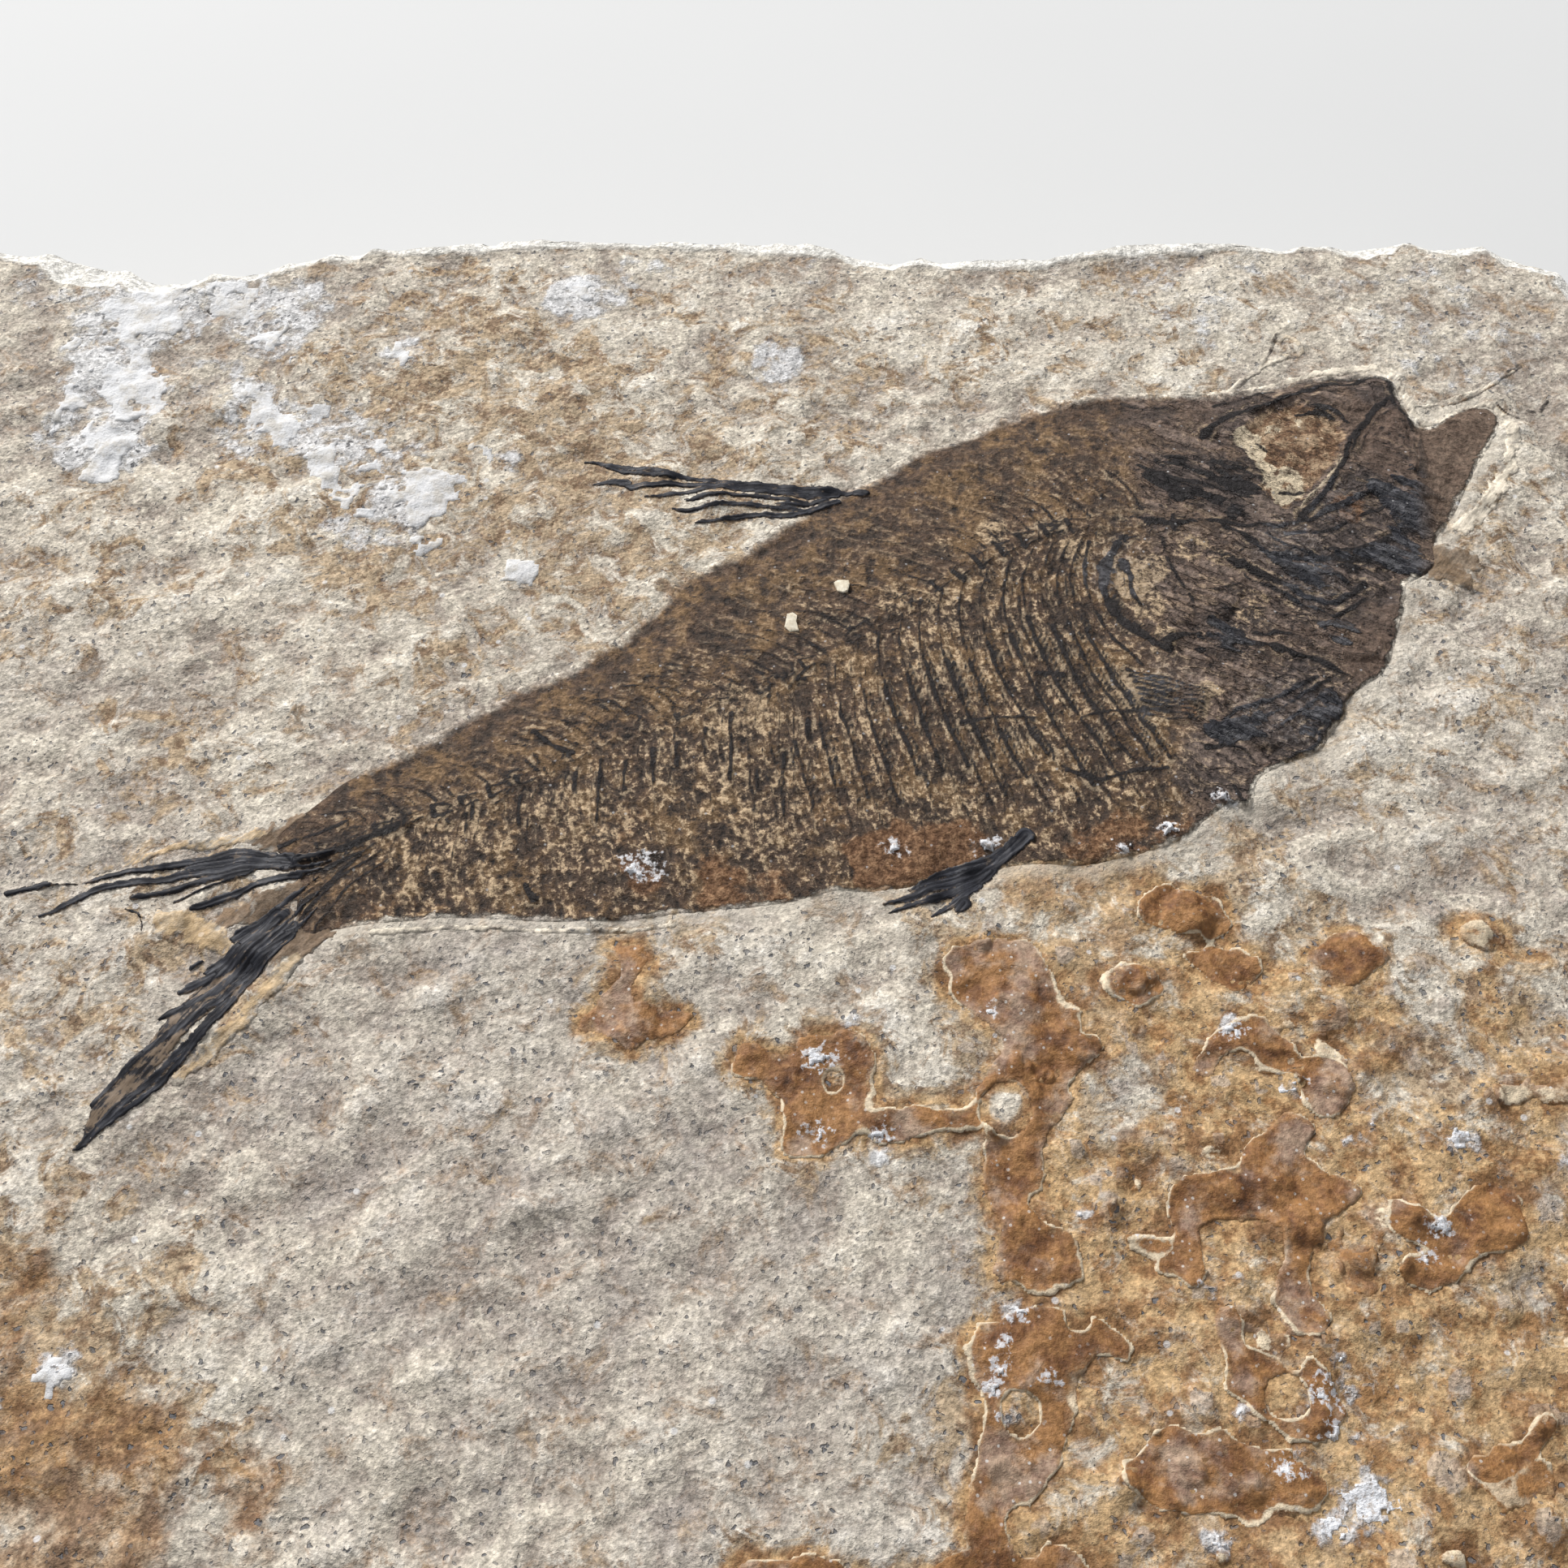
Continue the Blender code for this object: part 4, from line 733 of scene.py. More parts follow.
def looseStrokes(rng):  # the pectoral fin, arcs and creases
    strokes = []
    for k in range(8):  # the pectoral fin, folded on the flank
        shift = 0.58 * k
        strokes.append(([(27.4 + 0.15 * k, 10.3 - shift), (29.5 + 0.1 * k, 9.6 - shift * 0.95),
                         (31.7 + 0.08 * k, 8.9 - shift * 0.85), (33.6 - 0.12 * k, 8.2 - shift * 0.7)],
                        0.26, 0.18, 1.2 if k < 6 else 0.8))
    for k in range(9):  # thin arcs behind the shoulder
        shift = 0.8 * k
        strokes.append(([(25 - shift, 23.4 - 0.5 * shift), (24.2 - shift, 20.4 - 0.5 * shift),
                         (24.1 - shift, 17 - 0.5 * shift), (24.9 - shift, 13.6 - 0.5 * shift)],
                        0.18, 0.2, rng.uniform(0.35, 0.7)))
    for k in range(70):  # creases in the skull and the gill cover
        at = np.array([rng.uniform(31, 53), rng.uniform(11, 34)])
        if insideDistance(at[:1], at[1:], eyeOutline)[0] > -0.3:
            continue
        lean = -0.42 + 0.55 * softNoise(at[:1], at[1:], 6.0, 381)[0]
        step = np.array([math.cos(lean), math.sin(lean)]) * rng.uniform(0.7, 2.0)
        bend = np.array([0, rng.uniform(-0.5, 0.5)])
        strokes.append(([at - step, at + bend, at + step], 0.12, 0.26, rng.uniform(0.3, 0.8)))
    return strokes


def boneStrokes():  # every bone as a stroke; the order of these parts is the order of the random draws
    rng = np.random.default_rng(17)
    strokes = list(skullStrokes)
    for part in (skullSplinters, ribStrokes, spineStrokes, backboneStrokes, looseStrokes):
        strokes += part(rng)
    return [(smoothLine(line, 4) if len(line) < 9 else np.asarray(line), *rest) for line, *rest in strokes]


fishStrokes = boneStrokes()


# where the bones run: distance inside a stroke, darkness, blueness (which also places a painted sheen),
# height, painted highlight beside the bone, eye
def markFish(x, y):
    line, ink, blue, raised, bright = (np.zeros(x.shape) for _ in range(5))
    line -= 0.6
    wear = 0.5 + 0.5 * roughNoise(x, y, 1.3, 301, 3, 0.6)
    inHead = blendStep(x, 29, 34)
    bentX = x + (0.10 + 0.10 * inHead) * roughNoise(x, y, 1.5, 303, 3)
    bentY = y + (0.10 + 0.10 * inHead) * roughNoise(x, y, 1.5, 307, 3)
    ux, uy = turned(x, y, -24)
    splits = roughNoise(ux / 3.0, uy, 0.8, 311, 3, 0.6)
    for path, widthA, widthB, dark in fishStrokes:
        here = near(x, y, path, 1.2)
        d, place = lineDistance(bentX[here], bentY[here], path)
        half = 0.5 * (widthA + (widthB - widthA) * place) * (0.56 + 0.70 * wear[here])
        half = half * (1 - 0.22 * inHead[here])
        takeOver(here, half - d - 0.10 * (1 - dark), line, (ink, dark * (0.65 + 0.6 * wear[here])))
        raised[here] = np.maximum(raised[here], dark * np.exp(-(d / (half + 0.12)) ** 2))
        # a painted highlight in a band along each side of a raised bone
        bright[here] = np.maximum(bright[here],
                                  dark * wear[here] * np.exp(-((d - half - 0.26) / 0.15) ** 2))
    for outline, dark, blueness in skullPatches:
        outline = smoothLine(outline, 3, closed=True)
        here = near(x, y, outline, 1.4)
        field = insideDistance(x[here], y[here], outline) + 0.95 * splits[here] + 0.05
        takeOver(here, field, line, (ink, dark * (0.75 + 0.4 * splits[here])))
        value = blendStep(field, -0.25, 0.35)
        blue[here] = np.maximum(blue[here], blueness * value)
        raised[here] = np.maximum(raised[here], blendStep(field, -0.3, 0.6))
    blue = np.maximum(blue, 0.8 * blots(x, y, blueFilm, 321))
    eye = insideDistance(x, y, eyeOutline)
    ink *= 1 - 0.85 * blendStep(eye, -0.1, 0.5)
    for points, width in eyeMarks:
        here = near(x, y, points, 1.0)
        d, _ = lineDistance(bentX[here], bentY[here], np.array(points))
        takeOver(here, 0.5 * width * (0.6 + 0.7 * wear[here]) - d, line, (ink, 0.9))
    return np.clip(line, -0.6, 0.6), np.clip(ink, 0, 1.2), blue, raised, bright, eye


plates = [  # bones of the skull and gill cover that stand up: (outline, height)
    ([(29.6, 24), (33, 24.6), (36.8, 23.4), (38.6, 20.4), (37, 16.6), (33.4, 14.6), (30, 15.4),
      (28.2, 18.4)], 0.22),
    ([(37.6, 24.4), (41.6, 24), (45, 24.6), (46.4, 22.6), (41.8, 22), (38.8, 21.6)], 0.20),
    ([(38, 17.8), (40.6, 16.2), (44.6, 15), (48, 14.4), (49, 12.6), (46, 11.6), (41, 13), (37.6, 15)],
     0.22),
    ([(36.4, 34.6), (40, 37.6), (45, 40.2), (51, 42), (53.4, 40.4), (50, 38.8), (45, 41), (40.4, 38)],
     0.25),
    ([(47.6, 28.6), (50.4, 33), (53, 37.2), (55, 38.6), (55.2, 33), (53.6, 30.8), (50.4, 28.8)], 0.20),
    ([(38, 10.8), (42, 9.8), (45.4, 9), (44.6, 6.4), (41.6, 4), (37, 3), (35, 4.6), (36, 8)], 0.22),
    ([(31, 12.2), (34.6, 11.4), (37, 9.4), (35.4, 7), (31.6, 7.4), (29.4, 9.6)], 0.16)]


def plateHeight(x, y):
    total = np.zeros(x.shape)
    jagged = 0.35 * roughNoise(x, y, 1.4, 391, 3)
    for outline, height in plates:
        outline = smoothLine(outline, 3, closed=True)
        here = near(x, y, outline, 1.0)
        field = insideDistance(x[here], y[here], outline) + jagged[here]
        total[here] += height * blendStep(field, -0.15, 0.35) * (1 - 0.45 * blendStep(field, 0.4, 2.6))
    return total


fishRelief = {  # heights in mm
    "backRim": 0.03, "bellyRim": 0.08, "shoulder": 0.36, "crown": 0.30, "fine": 0.05, "knuckles": 0.06,
    "backbone": 0.11, "bones": 0.15, "brow": 0.18, "cheek": 0.2, "folds": 0.12, "flutes": 0.045,
    "socket": 0.32, "eyeball": 0.10}


def fishHeight(x, y, edge, backEdge, raised, eye):
    high = fishRelief
    rim = high["backRim"] + high["bellyRim"] * blendStep(backEdge, 1.5, 4.0)
    crown = high["shoulder"] * blendStep(edge, 0.0, 5.0) + high["crown"] * blendStep(edge, 3.0, 14.0)
    fine = high["fine"] * roughNoise(x, y, 0.8, 331, 2) * blendStep(edge, 0.0, 0.8)
    spine = lineDistance(x, y, backbone)[0]
    knuckles = high["knuckles"] * roughNoise(x, y, 1.1, 335, 2) * np.exp(-(spine / 1.3) ** 2)
    skull = (high["brow"] * np.exp(-((x - 46) ** 2 + (y - 40.6) ** 2) / 14)
             + high["cheek"] * np.exp(-((x - 52.5) ** 2 + (y - 29) ** 2) / 12))
    ux, uy = turned(x, y, -24)
    folds = high["folds"] * roughNoise(ux / 2.0, uy, 1.5, 341, 3)
    folds = folds * blendStep(x, 29, 36) * blendStep(edge, 0, 2)
    socket = -high["socket"] * blendStep(eye, -0.3, 0.7) + high["eyeball"] * blendStep(eye, 1.0, 3.2)
    rx, ry = turned(x, y, -74)
    flutes = high["flutes"] * roughNoise(rx / 6.0, ry, 0.62, 345, 2)
    flutes = flutes * blendStep(backEdge, 5, 9) * (1 - blendStep(x, 27, 31))
    film = (rim + crown + fine + high["backbone"] * np.exp(-(spine / 0.9) ** 2) + knuckles
            + high["bones"] * raised + skull + folds + plateHeight(x, y) + flutes + socket)
    outside = rim * blendStep(edge, -0.3, 0.0) - 0.35 * blendStep(-edge, 0.05, 0.75)
    return np.where(edge > 0, film, outside)


fishLooks = {"pitch": 0.186, "skirt": 0.75, "sunk": 0.95, "ceiling": 13.4, "softness": 0.4}


def fishFace(x, y):  # the top of the pressed fish, flattened where it would stand above its ceiling
    edge = insideDistance(x, y, fishOutline)
    backEdge = lineDistance(x, y, backLine)[0]
    _, _, _, raised, _, eye = markFish(x, y)
    face = slabTop + stoneRelief(x, y) * (1 - 0.62 * blendStep(edge, 0, 2.5)) - rimFlakes(x, y)
    z = face + fishHeight(x, y, edge, backEdge, raised, eye)
    ceiling, softness = fishLooks["ceiling"], fishLooks["softness"]
    return np.where(z > ceiling, ceiling + softness * np.tanh((z - ceiling) / softness), z)


def buildFish(material):
    def attributes(x, y):
        masks = stoneMasks(x, y)
        masks["line"], masks["ink"], masks["blue"], _, masks["bright"], eye = markFish(x, y)
        masks["eye"] = np.clip(eye, -2, 4)
        masks["cream"] = blots(x, y, eyeCream, 355, 0.55)
        masks["cream"] = np.maximum(masks["cream"],
                                    0.9 * np.exp(-(lineDistance(x, y, eyeRidge)[0] / 0.24) ** 2))
        pale = blots(x, y, paleShows, 351, 0.5)
        backBand = blendStep(masks["backEdge"], 2.5, 7.0)
        pale = np.clip(pale * (0.35 + 0.65 * backBand), 0, 1)
        masks["pale"] = pale * blendStep(masks["fishEdge"], 0.2, 2.0)
        masks["rust"] = np.maximum(masks["rust"] * blendStep(-masks["fishEdge"], -0.5, 0.5),
                                   blots(x, y, rustOnFish, 361, 0.5))
        masks["snout"] = blendStep(x - 0.15 * (y - 33), 54.5, 57.0)
        masks["smooth"] = blots(x, y, smoothFilm, 357, 0.25)
        masks["shade"] = blots(x, y, darkFilm, 359, 0.4)
        masks["head"] = blendStep(x + 1.5 * roughNoise(x, y, 4.0, 371, 3), 27.0, 34.0)
        spineY = np.interp(x, backbone[:, 0], backbone[:, 1])
        masks["flank"] = blendStep(spineY - y, -1.5, 2.5)
        masks["root"] = np.maximum(blendStep(-x, 31, 35),
                                   0.8 * blendStep(-np.hypot(x - 54.8, y - 22), -2.6, -1.6))
        return masks

    def under(x, y):
        return np.full(x.shape, slabTop - fishLooks["sunk"])

    piece = reliefPiece("pressed_fish", -40, 65.4, -14.6, 45.4, fishLooks["pitch"],
                        lambda x, y: insideDistance(x, y, fishOutline) + fishLooks["skirt"],
                        lambda x, y, onRim: fishFace(x, y), under, attributes, True)
    return finishPiece(piece, material, "fossil_bone", "fish_body")


# the fins: (points, width at the start, width at the end), mm
finRays = {
    "dorsal_fin": [
        ([(6.7, 29.5), (4, 29.9), (0, 30.2), (-3, 30.45), (-6, 30.95), (-9.5, 31.6), (-12.3, 32.2),
          (-14.6, 32.9),
          (-17.4, 33.4)], 0.5, 0.45),
        ([(-9.6, 31.3), (-11.4, 31.5), (-13.2, 31.9), (-15.8, 32.9)], 0.5, 0.3),
        ([(3.2, 29.5), (0, 29.9), (-3, 30.1), (-6.8, 30.4), (-10, 30.5), (-12.9, 30.3), (-14, 30.9)], 0.5,
         0.55),
        ([(-13.6, 30.9), (-15, 31), (-16.5, 30.7)], 0.7, 0.35),
        ([(4.6, 29.5), (2, 29.35), (-2, 29.7), (-5.5, 30), (-7.5, 29.7), (-9.5, 29.3), (-11.9, 29)], 0.55,
         0.4),
        ([(2, 28.6), (-1, 28.9), (-4, 29.1), (-6.5, 29), (-8.4, 28.6)], 0.4, 0.4),
        ([(2.2, 27.3), (0, 27.7), (-4, 28.1), (-6, 28), (-8, 27.5), (-9.7, 27.8)], 0.45, 0.35),
        ([(4.6, 28.6), (2.5, 27.7), (1, 27), (-2, 27), (-5, 26.7), (-7.6, 26.1)], 0.6, 0.35),
        ([(6.2, 29.6), (7.2, 29.4)], 0.7, 0.6),
        ([(0.4, 28.4), (-0.6, 27.6)], 0.35, 0.3),
        ([(3.6, 28.9), (1.4, 28.2), (-0.8, 28.3)], 0.5, 0.3)],
    "tail_fin_upper_lobe": [
        ([(-57.5, -9.6), (-56, -9.1), (-54.4, -8.8)], 0.5, 0.62),
                            ([(-54.2, -8.8), (-52.5, -8.7)], 0.24, 0.18),
        ([(-36.6, -7), (-38.8, -6.4), (-41.2, -6.1), (-43.3, -6.6), (-45.8, -7.1), (-47.7, -7.5),
          (-49.8, -8),
          (-51.9, -8.6)], 0.9, 0.55),
        ([(-37, -7.3), (-39.3, -7.1), (-42, -7.5), (-44.8, -7.9), (-46.9, -8.4), (-49.1, -8.8),
          (-51.2, -9.5),
          (-53.2, -10.6), (-54.8, -11.3)], 1.0, 0.5),
        ([(-36.9, -6.9), (-39.5, -6.7), (-42.5, -6.9), (-44.5, -7.3)], 1.3, 0.9),
        ([(-39.8, -7.7), (-41.9, -8.1), (-44.1, -8.7), (-46.2, -9.4), (-48.2, -10)], 0.7, 0.5),
        ([(-40, -8.1), (-41.3, -8.4), (-43.4, -9.3), (-45.2, -10.1)], 0.3, 0.24),
        ([(-36, -8.1), (-38.2, -8.6), (-40, -9.3), (-41.9, -10), (-43.7, -10.7)], 0.65, 0.7),
        ([(-37.6, -6.9), (-35.9, -6.7), (-33.6, -6.2)], 0.9, 0.25),
                            ([(-36.6, -8), (-34.2, -7.4)], 0.5, 0.2),
        ([(-37.4, -7.5), (-35.4, -7.3), (-33.8, -6.9)], 0.6, 0.2),
        ([(-48.4, -10.9), (-47.5, -11.2), (-47, -12), (-46.9, -12.7)], 0.24, 0.18)],
    "tail_fin_lower_lobe": [
        ([(-34.6, -8.2), (-36.8, -10.4), (-38, -11.6), (-39.1, -12.5), (-40.1, -13.3)], 0.2, 1.1),
        ([(-34.4, -9.6), (-36.2, -11.6), (-37.6, -13.2)], 0.2, 0.5),
                            ([(-34.3, -10.8), (-35.8, -12.8)], 0.2, 0.5),
        ([(-36.6, -11.2), (-38.4, -12.9), (-40.2, -14.6), (-41.6, -15.9)], 0.8, 0.9),
        ([(-35.9, -12.2), (-37.7, -13.3), (-39.6, -15.1), (-41.5, -16.4), (-43.2, -17.5)], 0.9, 0.7),
        ([(-36, -12.8), (-37.6, -14.2), (-39.4, -16), (-41.3, -17.8), (-43, -19), (-44.2, -19.7)], 1.0,
         0.6),
        ([(-36.4, -13.5), (-38.8, -16.4), (-40.6, -18.4), (-42.4, -20.2), (-44.3, -21.8), (-45.8, -23.6),
          (-46.6, -24.7), (-47.5, -26.2)], 0.75, 0.55),
        ([(-35.9, -13), (-37.4, -15.1), (-38.7, -17.1), (-39.5, -18.5), (-40.8, -20.5), (-42, -22.5),
          (-43.7, -24.9), (-45.2, -26.4), (-46.9, -28.1), (-48.1, -29.3)], 0.7, 0.45),
        ([(-39.7, -17.8), (-41.7, -21.3), (-43, -23), (-44.2, -24.6), (-45.5, -26), (-46.7, -27.7),
          (-47.9, -29.1)], 0.4, 0.8),
        ([(-42.8, -15.6), (-42.1, -15)], 0.45, 0.35),
        ([(-37, -11.8), (-39.6, -15.4), (-42.6, -20), (-45.4, -24.4), (-47.4, -27.8)], 2.6, 1.5)],
    "pelvic_fin": [
        ([(18.2, -4.8), (17, -6), (15.5, -7.2), (14, -8), (11, -9), (9.5, -9.8), (7.4, -10.4)], 1.1, 0.4),
        ([(15.4, -7.6), (14, -8.6), (11, -10), (7.7, -11.1)], 0.8, 0.3),
        ([(16.4, -6.2), (15, -6.9), (12, -7.7), (9.4, -9.3)], 0.8, 0.35),
        ([(14.4, -8.7), (13.2, -9.8), (12.3, -10.4), (10.9, -11.4)], 0.6, 0.3),
        ([(13.3, -10.3), (12.8, -10.9)], 0.9, 0.7),
        ([(17.4, -5.2), (16, -6.6), (14.4, -7.4), (11.6, -8.4), (9.2, -9.2)], 0.7, 0.3)],
}
finLooks = {  # a stroke as wide as webWidth is a web between rays, with this share of their height
    "pitch": 0.10, "height": 0.075, "sunk": 0.45, "webWidth": 1.4, "webShare": 0.35,
    "stoutness": {"dorsal_fin": 1.25, "pelvic_fin": 1.3}}


def buildFin(name, node, material):
    strokes = [(smoothLine(points, 5), a, b) for points, a, b in finRays[node]]
    allPoints = np.vstack([line for line, _, _ in strokes])
    low, high = allPoints.min(0) - 1.0, allPoints.max(0) + 1.0
    stout = finLooks["stoutness"].get(node, 1.0)

    def rays(x, y):  # distance inside the rays, thickness, and the way across and along the nearest one
        field, crest = np.full(x.shape, -9.0), np.zeros(x.shape)
        across, travel = np.zeros(x.shape), np.zeros(x.shape)
        ragged = 0.055 * roughNoise(x, y, 0.7, 401, 3) + 0.055 * roughNoise(x, y, 0.25, 403, 2)
        for k, (line, widthA, widthB) in enumerate(strokes):
            here = near(x, y, line, 1.6)
            d, place = lineDistance(x[here], y[here], line)
            half = 0.5 * stout * (widthA + (widthB - widthA) * place)
            half = half * (0.6 + 0.4 * blendStep(1 - place, 0.0, 0.07))
            value = half - d + ragged[here] + 0.03
            thinness = 1.0 if widthA < finLooks["webWidth"] else finLooks["webShare"]
            value = np.where(thinness < 1, value - 0.05, value)
            crest[here] = np.maximum(crest[here], thinness * blendStep(value, 0.0, 0.14))
            takeOver(here, value, field, (across, d + 1.7 * k),
                     (travel, place * np.linalg.norm(line[-1] - line[0])))
        return field, crest, across, travel

    def ground(x, y):  # the stone, or the fish where a ray starts on it
        onFish = blendStep(insideDistance(x, y, fishOutline), -0.4, 0.3)
        return faceHeight(x, y) + onFish * np.maximum(fishFace(x, y) - faceHeight(x, y), 0)

    def top(x, y, onRim):
        field, crest, across, _ = rays(x, y)
        grooves = 0.028 * np.cos(across * 14) * blendStep(field, 0.05, 0.2)
        grooves = grooves + 0.02 * roughNoise(x, y, 0.8, 411, 2)
        lift = finLooks["height"] * crest + 0.03 + grooves * crest - 0.25 * (onRim | (field < 0))
        return ground(x, y) + lift

    def attributes(x, y):
        masks = stoneMasks(x, y)
        field, crest, masks["across"], masks["travel"] = rays(x, y)
        masks["ray"] = np.clip(field / 0.12, -1, 1)
        masks["web"] = 1 - blendStep(crest, 0.42, 0.62)
        return masks

    piece = reliefPiece(name, low[0], high[0], low[1], high[1], finLooks["pitch"], lambda x,
                        y: rays(x, y)[0] + 0.09,
                        top, lambda x, y: faceHeight(x, y) - finLooks["sunk"], attributes)
    return finishPiece(piece, material, "fossil_ray", node)


# rust crust on the stone under the belly: (outline, thickness)
crustPatches = [
    ([(-12, -14.5), (-10.5, -14), (-10, -16), (-11, -18.5), (-7.5, -19.5), (-7, -20.5), (-9, -21.2),
      (-12, -21),
      (-14.5, -20.3), (-12.5, -17)], 0.30),
    ([(-3, -21.5), (0, -22.2), (1, -20.8), (2.5, -20.5), (4.5, -21), (5.8, -22.5), (5.7, -24.5), (6, -26),
      (7.5, -26.8), (11.5, -26), (14, -26.3), (13.5, -27.8), (8, -28.5), (5, -28.2), (3, -29.3), (0.5, -29),
      (0, -26), (-1, -23.5), (-3.2, -23.5)], 0.42),
    ([(12.3, -14), (17.8, -14), (19.8, -18), (20.5, -21), (22, -21.8), (19.5, -24), (19.3, -26),
      (17.8, -28),
      (18, -31), (16, -33), (18.5, -35.5), (19.5, -38), (15.8, -38.5), (13.8, -36), (14.2, -34), (14, -31),
      (13.5, -27), (13.8, -25), (15.8, -22.5), (15.5, -20.5), (12.2, -18), (12, -16.5)], 0.50),
    ([(29.2, -14.5), (34.2, -14.8), (32, -17.3)], 0.32),
    ([(30.5, -20.5), (33, -19.5), (35.5, -21), (36.2, -22.5), (38, -22.5), (39.7, -24.8), (37.5, -26.8),
      (36.2, -25.8), (34.5, -24), (31.5, -22), (29, -23)], 0.45),
    ([(24.3, -37.8), (24.5, -36.5), (25.8, -35), (26.3, -32), (28, -31), (30.5, -30.3), (31.5, -29),
      (34, -27.5),
      (35, -27), (36, -27.8), (35.5, -29.5), (38, -32), (36, -33.5), (34.8, -34.5), (34.3, -39),
      (34.5, -40.5),
      (33.5, -41.3), (32, -40), (31.9, -38), (33, -34.5), (28, -34), (27, -36), (26.5, -37.7)], 0.55),
    ([(40.5, -32.5), (42.5, -33.5), (44, -33.5), (47.5, -31.5), (48.5, -35), (45, -37), (43, -39),
      (40, -37.5),
      (42, -36), (40.2, -34)], 0.40),
    ([(12.4, -40.6), (16, -40.2), (20, -40.6), (22, -42), (21.8, -43.2), (20, -42.8), (17.8, -44.5),
      (17.6, -47),
      (16.6, -49.6), (14.6, -52), (12.4, -54.6), (11, -53.6), (11.5, -50), (12.4, -46), (12, -43)], 0.42),
    ([(28.6, -40.5), (29, -42), (31, -43.3), (32.5, -44), (33.5, -43), (34.5, -45.5), (34, -48), (30, -47),
      (28.3, -44.5)], 0.45),
    ([(21.5, -48.4), (26, -48), (31, -49), (33, -51), (29, -52.4), (24, -52.2), (21, -50.6)], 0.30),
    ([(42, -49.6), (44.6, -48.8), (47.4, -47), (47, -48.4), (44.6, -50)], 0.30),
    ([(-3.4, -56.4), (0, -54.6), (3.4, -55.4), (4, -57), (-1, -57.6)], 0.28),
    ([(8, -55.6), (12.4, -54), (17.4, -54.6), (18, -56.4), (12, -57.2)], 0.28),
    ([(26.8, -9.8), (29.8, -9.4), (32.6, -10.6), (32, -12.4), (28.6, -12.8), (26.6, -11.6)], 0.35),
    ([(23.6, -15.6), (26, -15.2), (27, -16.8), (25, -18), (23.4, -17)], 0.30),
    ([(38, -14), (41.5, -13), (43.5, -15), (41, -16.5), (38.5, -16)], 0.22),
    ([(51, -38), (54, -37), (55.5, -39.5), (53, -41), (51, -40)], 0.22),
]
crustHoles = [(15.2, -26.2, 1.5), (21.2, -25.3, 0.4), (18.9, -40.2, 0.7), (14.8, -46.4, 0.9),
              (31.6, -45.2, 1.0), (14.7, -53.1, 0.9), (3.6, -24.2, 0.5)]
crustLooks = {"pitch": 0.18, "lip": 0.07, "spread": 0.45, "thinness": 0.22, "scraps": 0.85,
              "scrapLimit": 0.72,
              "sunk": 0.35}


def crustField(x, y):  # distance inside the nearest patch of crust, and that patch's thickness
    field, thick = np.full(x.shape, -9.0), np.full(x.shape, 0.3)
    torn = 0.58 * roughNoise(x, y, 2.7, 421, 2, 0.5) + 0.09 * roughNoise(x, y, 0.8, 425, 2)
    for outline, thickness in crustPatches:
        outline = smoothLine(outline, 3, closed=True)
        here = near(x, y, outline, 2.0)
        d = insideDistance(x[here], y[here], outline) + torn[here] + crustLooks["spread"]
        takeOver(here, d, field, (thick, thickness * crustLooks["thinness"]))
    zone = np.minimum(np.minimum(x - 22, 66 - x), np.minimum(-13 - y, y + 60))
    scraps = crustLooks["scraps"] * roughNoise(x, y, 4.2, 427, 3, 0.5) - crustLooks["scrapLimit"]
    scraps = scraps + 0.25 * np.minimum(zone, 0)
    field = np.where(scraps > field, scraps, field)
    for hx, hy, radius in crustHoles:
        field = np.minimum(field, np.hypot(x - hx, (y - hy) * 0.9) - radius + 0.6 * torn)
    return field, thick


def threadShare(x, y):  # where a pale thread runs along the crust's rim
    return blendStep(softNoise(x, y, 3.4, 443), -0.60, -0.15) * blendStep(x, -7, -3)


def buildCrust(material):
    outlines = np.vstack([outline for outline, _ in crustPatches])
    low, high = outlines.min(0) - 1.5, outlines.max(0) + 1.5

    def top(x, y, onRim):
        field, thick = crustField(x, y)
        lumps = 0.15 * roughNoise(x, y, 1.6, 431, 3, 0.6) + 0.05 * roughNoise(x, y, 0.6, 441, 2)
        lip = crustLooks["lip"] * np.exp(-((field - 0.26) / 0.13) ** 2)
        lip = lip * threadShare(x, y)
        sheet = thick * blendStep(field, 0.0, 0.4) + lip + lumps * blendStep(field, 0.3, 1.2)
        return faceHeight(x, y) + np.where(onRim | (field < 0.02), -0.12, np.maximum(sheet, 0.05))

    def attributes(x, y):
        masks = stoneMasks(x, y)
        masks["ochre"] = np.maximum(masks["ochre"], 0.75)
        field = crustField(x, y)[0]
        masks["rim"] = np.clip(field, -1, 3)
        masks["thread"] = threadShare(x, y)
        return masks

    piece = reliefPiece("iron_crust", low[0], high[0], low[1], high[1], crustLooks["pitch"],
                        lambda x, y: crustField(x, y)[0], top, lambda x,
                        y: faceHeight(x, y) - crustLooks["sunk"], attributes)
    return finishPiece(piece, material, "limestone")


